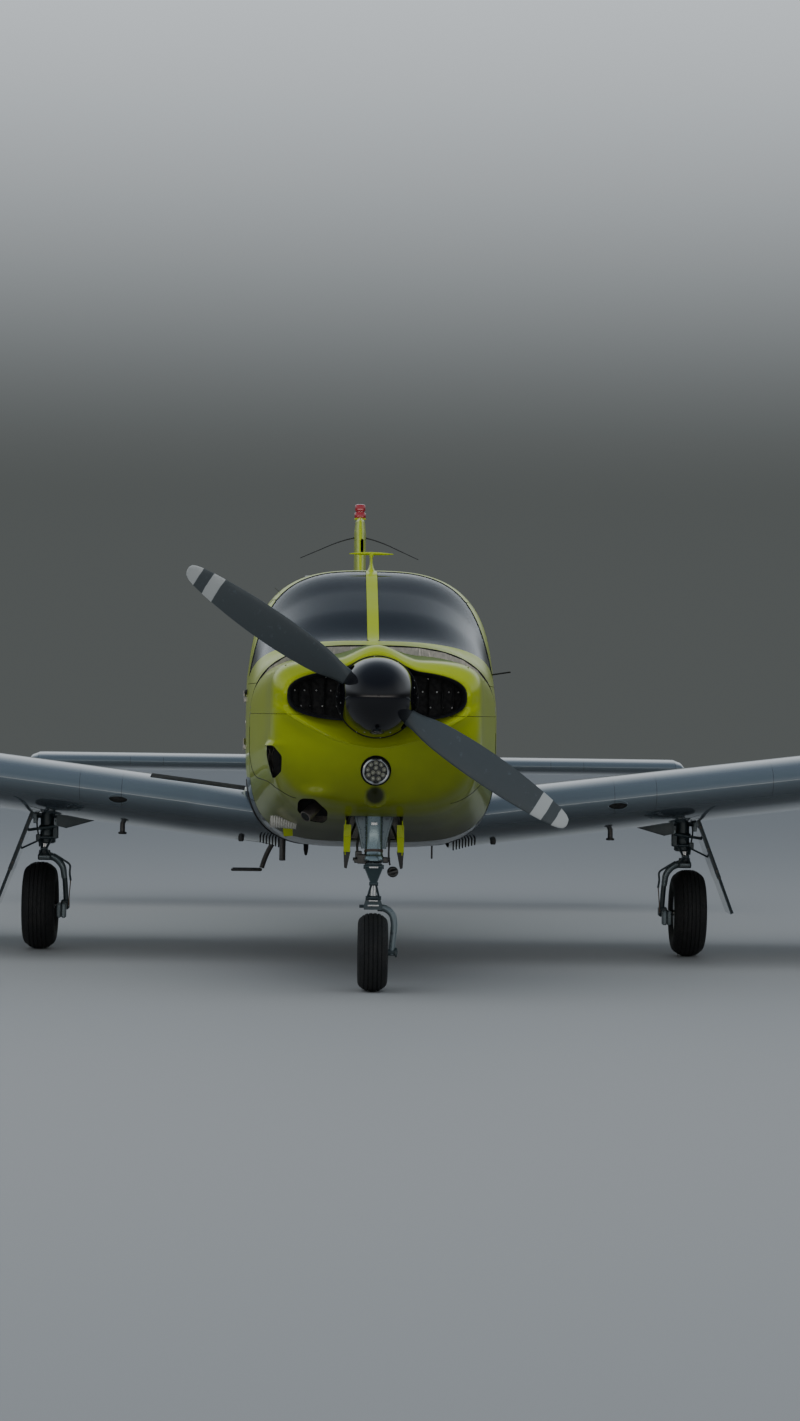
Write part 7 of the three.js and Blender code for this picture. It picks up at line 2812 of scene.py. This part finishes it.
def swollen(form: Solid, hold: float, cap: float) -> Solid:
    """A pad blown up as cloth: remeshed, pressed from inside for 20 frames, its foot held, its travel capped.

    Args:
        form: the closed pad, lying flat.
        hold: the height below which its points stay where they are.
        cap: the most that a point may move.

    Returns:
        The pad.
    """
    mesh = bpy.data.meshes.new("pad_work")
    mesh.from_pydata(form.points.tolist(), [], form.quads.tolist())
    work = bmesh.new()
    work.from_mesh(mesh)
    bmesh.ops.remove_doubles(work, verts=work.verts, dist=0.05 * MM)
    bmesh.ops.recalc_face_normals(work, faces=work.faces)
    work.to_mesh(mesh)
    work.free()
    body = bpy.data.objects.new("pad_work", mesh)
    scene = bpy.context.scene
    scene.collection.objects.link(body)
    remesh = body.modifiers.new("even", "REMESH")
    remesh.mode, remesh.voxel_size = "VOXEL", 6 * MM
    bpy.context.view_layer.update()
    body.data = bpy.data.meshes.new_from_object(body.evaluated_get(bpy.context.evaluated_depsgraph_get()))
    body.modifiers.clear()
    rest = read_points(body.data)
    held = body.vertex_groups.new(name="held")
    held.add(np.flatnonzero(rest[:, 2] < hold).tolist(), 1.0, "REPLACE")
    cloth = body.modifiers.new("cloth", "CLOTH")
    cloth.settings.use_pressure, cloth.settings.uniform_pressure_force = True, 4.0
    cloth.settings.vertex_group_mass, cloth.settings.effector_weights.gravity = "held", 0.0
    for frame_number in range(1, 21):
        scene.frame_set(frame_number)
    done = body.evaluated_get(bpy.context.evaluated_depsgraph_get()).to_mesh()
    move = read_points(done) - rest
    length = np.linalg.norm(move, axis=1, keepdims=True)
    points = rest + move * np.minimum(1, cap / np.maximum(length, 1e-9))
    corners = np.empty(len(done.loops), np.int32)
    done.loops.foreach_get("vertex_index", corners)
    scene.frame_set(1)
    bpy.data.objects.remove(body)
    quads = corners.reshape(-1, 4).astype(int)
    return Solid(points, quads, np.zeros(len(quads), int))


def read_points(mesh: bpy.types.Mesh) -> Array:
    """A mesh's points as rows."""
    flat = np.empty(3 * len(mesh.vertices), np.float32)
    mesh.vertices.foreach_get("co", flat)
    return flat.reshape(-1, 3).astype(float)


@dataclass(frozen=True)
class Pad:
    """A stuffed pad: its half sizes lying flat, and how far up it leans and where it lies in the cabin."""

    half: tuple[float, float, float]
    lean: float
    station: float
    z: float
    pull: float = 0.012
    channels: tuple[float, ...] = (-0.135, -0.045, 0.045, 0.135)
    channel_wide: float = 6.5
    channel_deep: float = 9 * MM
    border_wide: float = 6
    border_deep: float = 6 * MM
    seam_wide: float = 5
    seam_tight: float = 0.014

    def form(self) -> Solid:
        """The pad before it is stuffed.

        A rounded box whose sides pull in between the corners by a cosine and whose face has a crown.

        Returns:
            The pad about its own middle.
        """
        block_form = ellipsoid((0, 0, 0), self.half, 0.32, 40, 72)
        x, y, z = block_form.points.T
        a, b = self.half[:2]
        near_x, near_y = np.cos(np.pi * y / (2 * b)) ** 2, np.cos(np.pi * x / (2 * a)) ** 2
        x, y = x - self.pull * x / a * near_x, y - self.pull * y / b * near_y
        z = np.where(z > 0, z * (0.8 + 0.2 * near_x * near_y), z)
        return Solid(np.stack([x, y, z], -1), block_form.quads, block_form.tags)

    def sewn(self, pad: Solid) -> Solid:
        """Presses the sewn channels into the face: a bell across each line, less deep toward its ends.

        The widths are in millimetres.

        Args:
            pad: the stuffed pad.

        Returns:
            The pad with its channels.
        """
        x, y, z = pad.points.T
        a, b, c = self.half
        fade = smoothstep(z, -0.1 * c, 0.5 * c) * (1 - smoothstep(np.abs(y), 0.8 * b, b))
        deep = sum(bell((x - line) / self.channel_wide / MM) for line in self.channels)
        ends = 1 - smoothstep(np.abs(y), 0.8 * b, b)
        border = bell((np.abs(x) - 0.82 * a) / self.border_wide / MM) * ends
        shrink = 1 - self.seam_tight * bell((z - 0.15 * c) / self.seam_wide / MM)
        channels = self.channel_deep * fade * np.clip(deep, 0, 1)
        z = z - channels - self.border_deep * border * smoothstep(z, 0, 0.5 * c)
        return Solid(np.stack([x * shrink, y * shrink, z], -1), pad.quads, pad.tags)

    def placed(self, x: float, pad: Solid) -> Solid:
        """The pad leaned up and set in its place."""
        return pad.turned((1, 0, 0), self.lean, (0, 0, 0)).moved(at(x, self.station, self.z))


@dataclass
class Cabin:
    """The instrument panel with its yokes, two front seats and the rear bench."""

    board: Pair = (1.785, 1.812)
    board_low: float = 1.09
    board_high: float = 1.425
    shield: float = 1.64
    yokes: Pair = (-0.3, 0.3)
    # Distance from the yoke's middle, height
    horn: Table = (
        (-0.118, 1.328), (-0.112, 1.275), (-0.098, 1.236), (-0.05, 1.228),
        (0.05, 1.228), (0.098, 1.236), (0.112, 1.275), (0.118, 1.328),
    )
    seat_x: float = 0.255
    bench_x: float = 0.222
    cushion: Pad = Pad((0.19, 0.205, 0.05), 3.0, 2.56, 0.95)
    backrest: Pad = Pad((0.185, 0.262, 0.036), 80.2, 2.815, 1.28)
    bench: Pad = Pad((0.2, 0.19, 0.048), 2.0, 3.36, 0.965)
    bench_back: Pad = Pad((0.2, 0.225, 0.034), 78.5, 3.61, 1.27)

    def build(self) -> None:
        """Makes every piece."""
        self.panel()
        self.seats()

    def panel(self) -> None:
        """The board, its glare shield, dials with ticks and hands, radios, levers and both yokes."""
        z = np.linspace(self.board_low, self.board_high, 24)
        edge = BODY.beside(Side.PORT, np.full(24, 1.8), z, 0.047)[:, 0]
        rows = []
        for station in self.board:
            port = points_at(edge, station, z)
            rows.append(np.concatenate([port, port[::-1] * (-1, 1, 1)]))
        solids = [capped(np.array(rows))]
        along = steps(self.shield, self.board[1] + 0.01, 0.02)
        wide = BODY.beside(Side.PORT, along, np.full(len(along), 1.432), 0.052)[:, 0]
        across = np.stack([-wide, wide, wide, -wide], 1)
        level = np.broadcast_to([1.424, 1.424, 1.438, 1.438], across.shape)
        shield = capped(points_at(across, along[:, None], level))
        solids += tagged(4, shield, ellipsoid(at(0.26, 1.812, 1.432), (0.2, 0.022, 0.016), 0.6))
        dials = [(x, z, 0.038) for x in (0.16, 0.25, 0.34) for z in (1.362, 1.272)]
        dials += [(x, z, 0.024) for x in (-0.19, -0.25, -0.31) for z in (1.38, 1.32, 1.26)]
        dials += [(0.42, z, 0.022) for z in (1.35, 1.29)]
        back = self.board[1]
        ticks = []
        for x, z, r in dials:
            bezel = [(r, -1 * MM), (r + 4 * MM, 0), (r + 4 * MM, 4 * MM), (r, 5 * MM), (r - 2 * MM, 2 * MM)]
            solids.append(lathe(bezel, at(x, back, z), (0, 1, 0), 36, closed=True).tagged(1))
            glass = [(0, 0), (r, 0), (r, 1 * MM), (0, 1 * MM)]
            solids.append(lathe(glass, at(x, back, z), (0, 1, 0), 36).tagged(2))
            ring = np.stack([np.cos(circle(12)), 0 * circle(12), np.sin(circle(12))], -1)
            ticks.append(np.array(at(x, back + 1 * MM, z)) + 0.82 * r * ring)
            angle = 2.2 + 9 * x + 5 * z
            tip = at(x + 0.7 * r * math.cos(angle), back + 2 * MM, z + 0.7 * r * math.sin(angle))
            hand = beam(at(x, back + 2 * MM, z), tip, (1.6 * MM, 0.5 * MM), (0.6 * MM, 0.5 * MM))
            solids.append(hand.tagged(3))
        places = np.concatenate(ticks)
        aft = np.tile([0.0, 1.0, 0.0], (len(places), 1))
        solids.append(studs(places, aft, 1.4 * MM, 0.8 * MM, 6).tagged(3))
        for z in (1.385, 1.335, 1.285, 1.235):
            radio = block(at(-0.09, back, z - 0.02), at(0.09, back + 6 * MM, z + 0.02), 2 * MM)
            low, high = at(-0.06, back + 5 * MM, z - 9 * MM), at(0.05, back + 7 * MM, z + 9 * MM)
            window = block(low, high, 0.5 * MM)
            solids += [radio.tagged(1), window.tagged(2)]
            for x in (-0.076, 0.072):
                solids.append(rod(at(x, back, z), at(x, back + 0.018, z), 7 * MM))
        for x, tag in ((-0.03, 0), (0.0, 1), (0.03, 5)):
            solids.append(rod(at(x, back, 1.16), at(x, back + 0.05, 1.165), 3.5 * MM).tagged(1))
            solids.append(ellipsoid(at(x, back + 0.055, 1.165), (0.011, 0.011, 0.011)).tagged(tag))
        for x in self.yokes:
            solids.append(rod(at(x, back - 0.01, 1.235), at(x, 1.96, 1.235), 11 * MM).tagged(1))
            grip = [at(x + a, 1.965, z) for a, z in self.horn]
            solids.append(bent(grip, 0.0105, 16, 60))
            solids.append(ellipsoid(at(x, 1.963, 1.233), (0.034, 0.014, 0.026), 0.6))
        dressed = (PANEL, DARK_STEEL, DIAL, MARKS, SHIELD, BEACON_RED)
        make("instrument_board", solids, dressed, "panel_black", "instrument_panel")

    def seats(self) -> None:
        """The stuffed pads on their frames; each kind of pad is stuffed once and set in two places."""
        pads = {
            "seat_cushion": (self.cushion, self.seat_x), "seat_back": (self.backrest, self.seat_x),
            "bench_cushion": (self.bench, self.bench_x), "bench_back": (self.bench_back, self.bench_x),
        }
        for name, (pad, x) in pads.items():
            stuffed = pad.sewn(swollen(pad.form(), -0.55 * pad.half[2], 0.024))
            for side in Side:
                solid = pad.placed(side.value * x, stuffed)
                piece = make(f"{name}_{side.label}", [solid], HIDE, "seat_leather")
        for side in Side:
            x = side.value * self.seat_x
            shell = block(at(x - 0.185, 2.36, 0.86), at(x + 0.185, 2.77, 0.897), 0.012)
            spine = self.backrest.placed(x, block((-0.17, -0.3, -0.052), (0.17, 0.25, -0.036), 6 * MM))
            rails = []
            for s in (-1, 1):
                rail, arm = x + s * 0.15, x + s * 0.178
                rails.append(block(at(rail - 0.012, 2.34, 0.722), at(rail + 0.012, 2.84, 0.742), 3 * MM))
                for a, b in ((2.38, 2.42), (2.76, 2.72)):
                    rails.append(rod(at(rail, a, 0.735), at(rail, b, 0.87), 0.011))
                route = [at(arm, 2.74, 0.88), at(arm, 2.79, 0.94), at(x + s * 0.172, 2.86, 1.2)]
                rails.append(bent(route, 0.01))
            solids = [shell, spine, *tagged(1, *rails)]
            name = f"front_seat_{side.label}"
            make(f"{name}_frame", solids, (PANEL, STEEL), "panel_black", name)
        base = block(at(-0.42, 3.16, 0.722), at(0.42, 3.56, 0.905), 0.02)
        back = self.bench_back.placed(0, block((-0.41, -0.24, -0.045), (0.41, 0.22, -0.034), 5 * MM))
        make("rear_bench_frame", [base, back], CARPET, "panel_black", "rear_bench")


def studio() -> None:
    """A pale floor, a sky bright at the horizon and darker above, and a soft panel unseen in gloss."""
    sky = Sky("studio")
    _, along, height = sky.axes()
    before = sky.ramp(along, -0.5, 0.2, 1.0, 0.0)
    low = sky.mix(before, (0.11, 0.12, 0.118, 1), (0.55, 0.56, 0.55, 1))
    middle = sky.mix(before, (0.95, 1.02, 1.08, 1), (0.62, 0.67, 0.72, 1))
    color = sky.mix(sky.ramp(height, 0.06, 0.26), low, middle)
    color = sky.mix(sky.ramp(height, 0.3, 0.85), color, (0.22, 0.28, 0.36, 1))
    glow = sky.math("MULTIPLY", sky.ramp(height, 0.03, 0.14, 1.0, 0.0), sky.ramp(along, -0.8, -0.2, 1.0, 0.0))
    sky.set(Color=sky.mix(glow, color, (2.7, 2.55, 2.35, 1)), Strength=0.8)
    bpy.context.scene.world = sky.material
    floor = bpy.data.meshes.new("floor")
    reach = 60.0
    corners = [(-reach, -reach, 0), (reach, -reach, 0), (reach, reach, 0), (-reach, reach, 0)]
    floor.from_pydata(corners, [], [(0, 1, 2, 3)])
    ground = bpy.data.objects.new("floor", floor)
    bpy.context.scene.collection.objects.link(ground)
    shader = Shader("floor_pale")
    shader.set(Base_Color=(0.3, 0.31, 0.315, 1), Roughness=0.75)
    floor.materials.append(shader.material)
    lamp = bpy.data.lights.new("panel", "AREA")
    lamp.shape, lamp.size, lamp.size_y, lamp.energy = "RECTANGLE", 22.0, 18.0, 1500.0
    panel = bpy.data.objects.new("panel", lamp)
    panel.visible_glossy = False
    panel.location = (-1.5, -6.0, 12.0)
    panel.rotation_euler = (Vector((0, 0.5, 0.8)) - panel.location).to_track_quat("-Z", "Y").to_euler()
    bpy.context.scene.collection.objects.link(panel)


def photo_camera() -> None:
    """The camera as fitted to the photograph: place, yaw, pitch and roll, and the lens."""
    yaw, pitch, roll = math.radians(1.416), math.radians(0.076), math.radians(0.79)
    data = bpy.data.cameras.new("photo")
    data.lens, data.sensor_width = 86.72, 36.0
    camera = bpy.data.objects.new("photo", data)
    nod = Matrix.Rotation(math.pi / 2 + pitch, 4, "X")
    turn = Matrix.Rotation(-yaw, 4, "Z") @ nod @ Matrix.Rotation(roll, 4, "Z")
    camera.matrix_world = Matrix.Translation((-0.255, -17.6, 1.167)) @ turn
    bpy.context.scene.collection.objects.link(camera)
    bpy.context.scene.camera = camera


def main() -> None:
    """Builds the aircraft, its studio and its camera."""
    logging.basicConfig(level=logging.INFO, format="%(name)s %(message)s")
    Cowl().build()
    Propeller().build()
    Fuselage().build()
    for side in Side:
        Wing(side).build()
        MainGear(side).build()
    NoseGear().build()
    Tail().build()
    Cabin().build()
    dress("engine_block", ENGINE)
    dress("firewall", STEEL)
    dress("aft_bulkhead", LINING)
    studio()
    photo_camera()


if __name__ == "__main__":
    main()
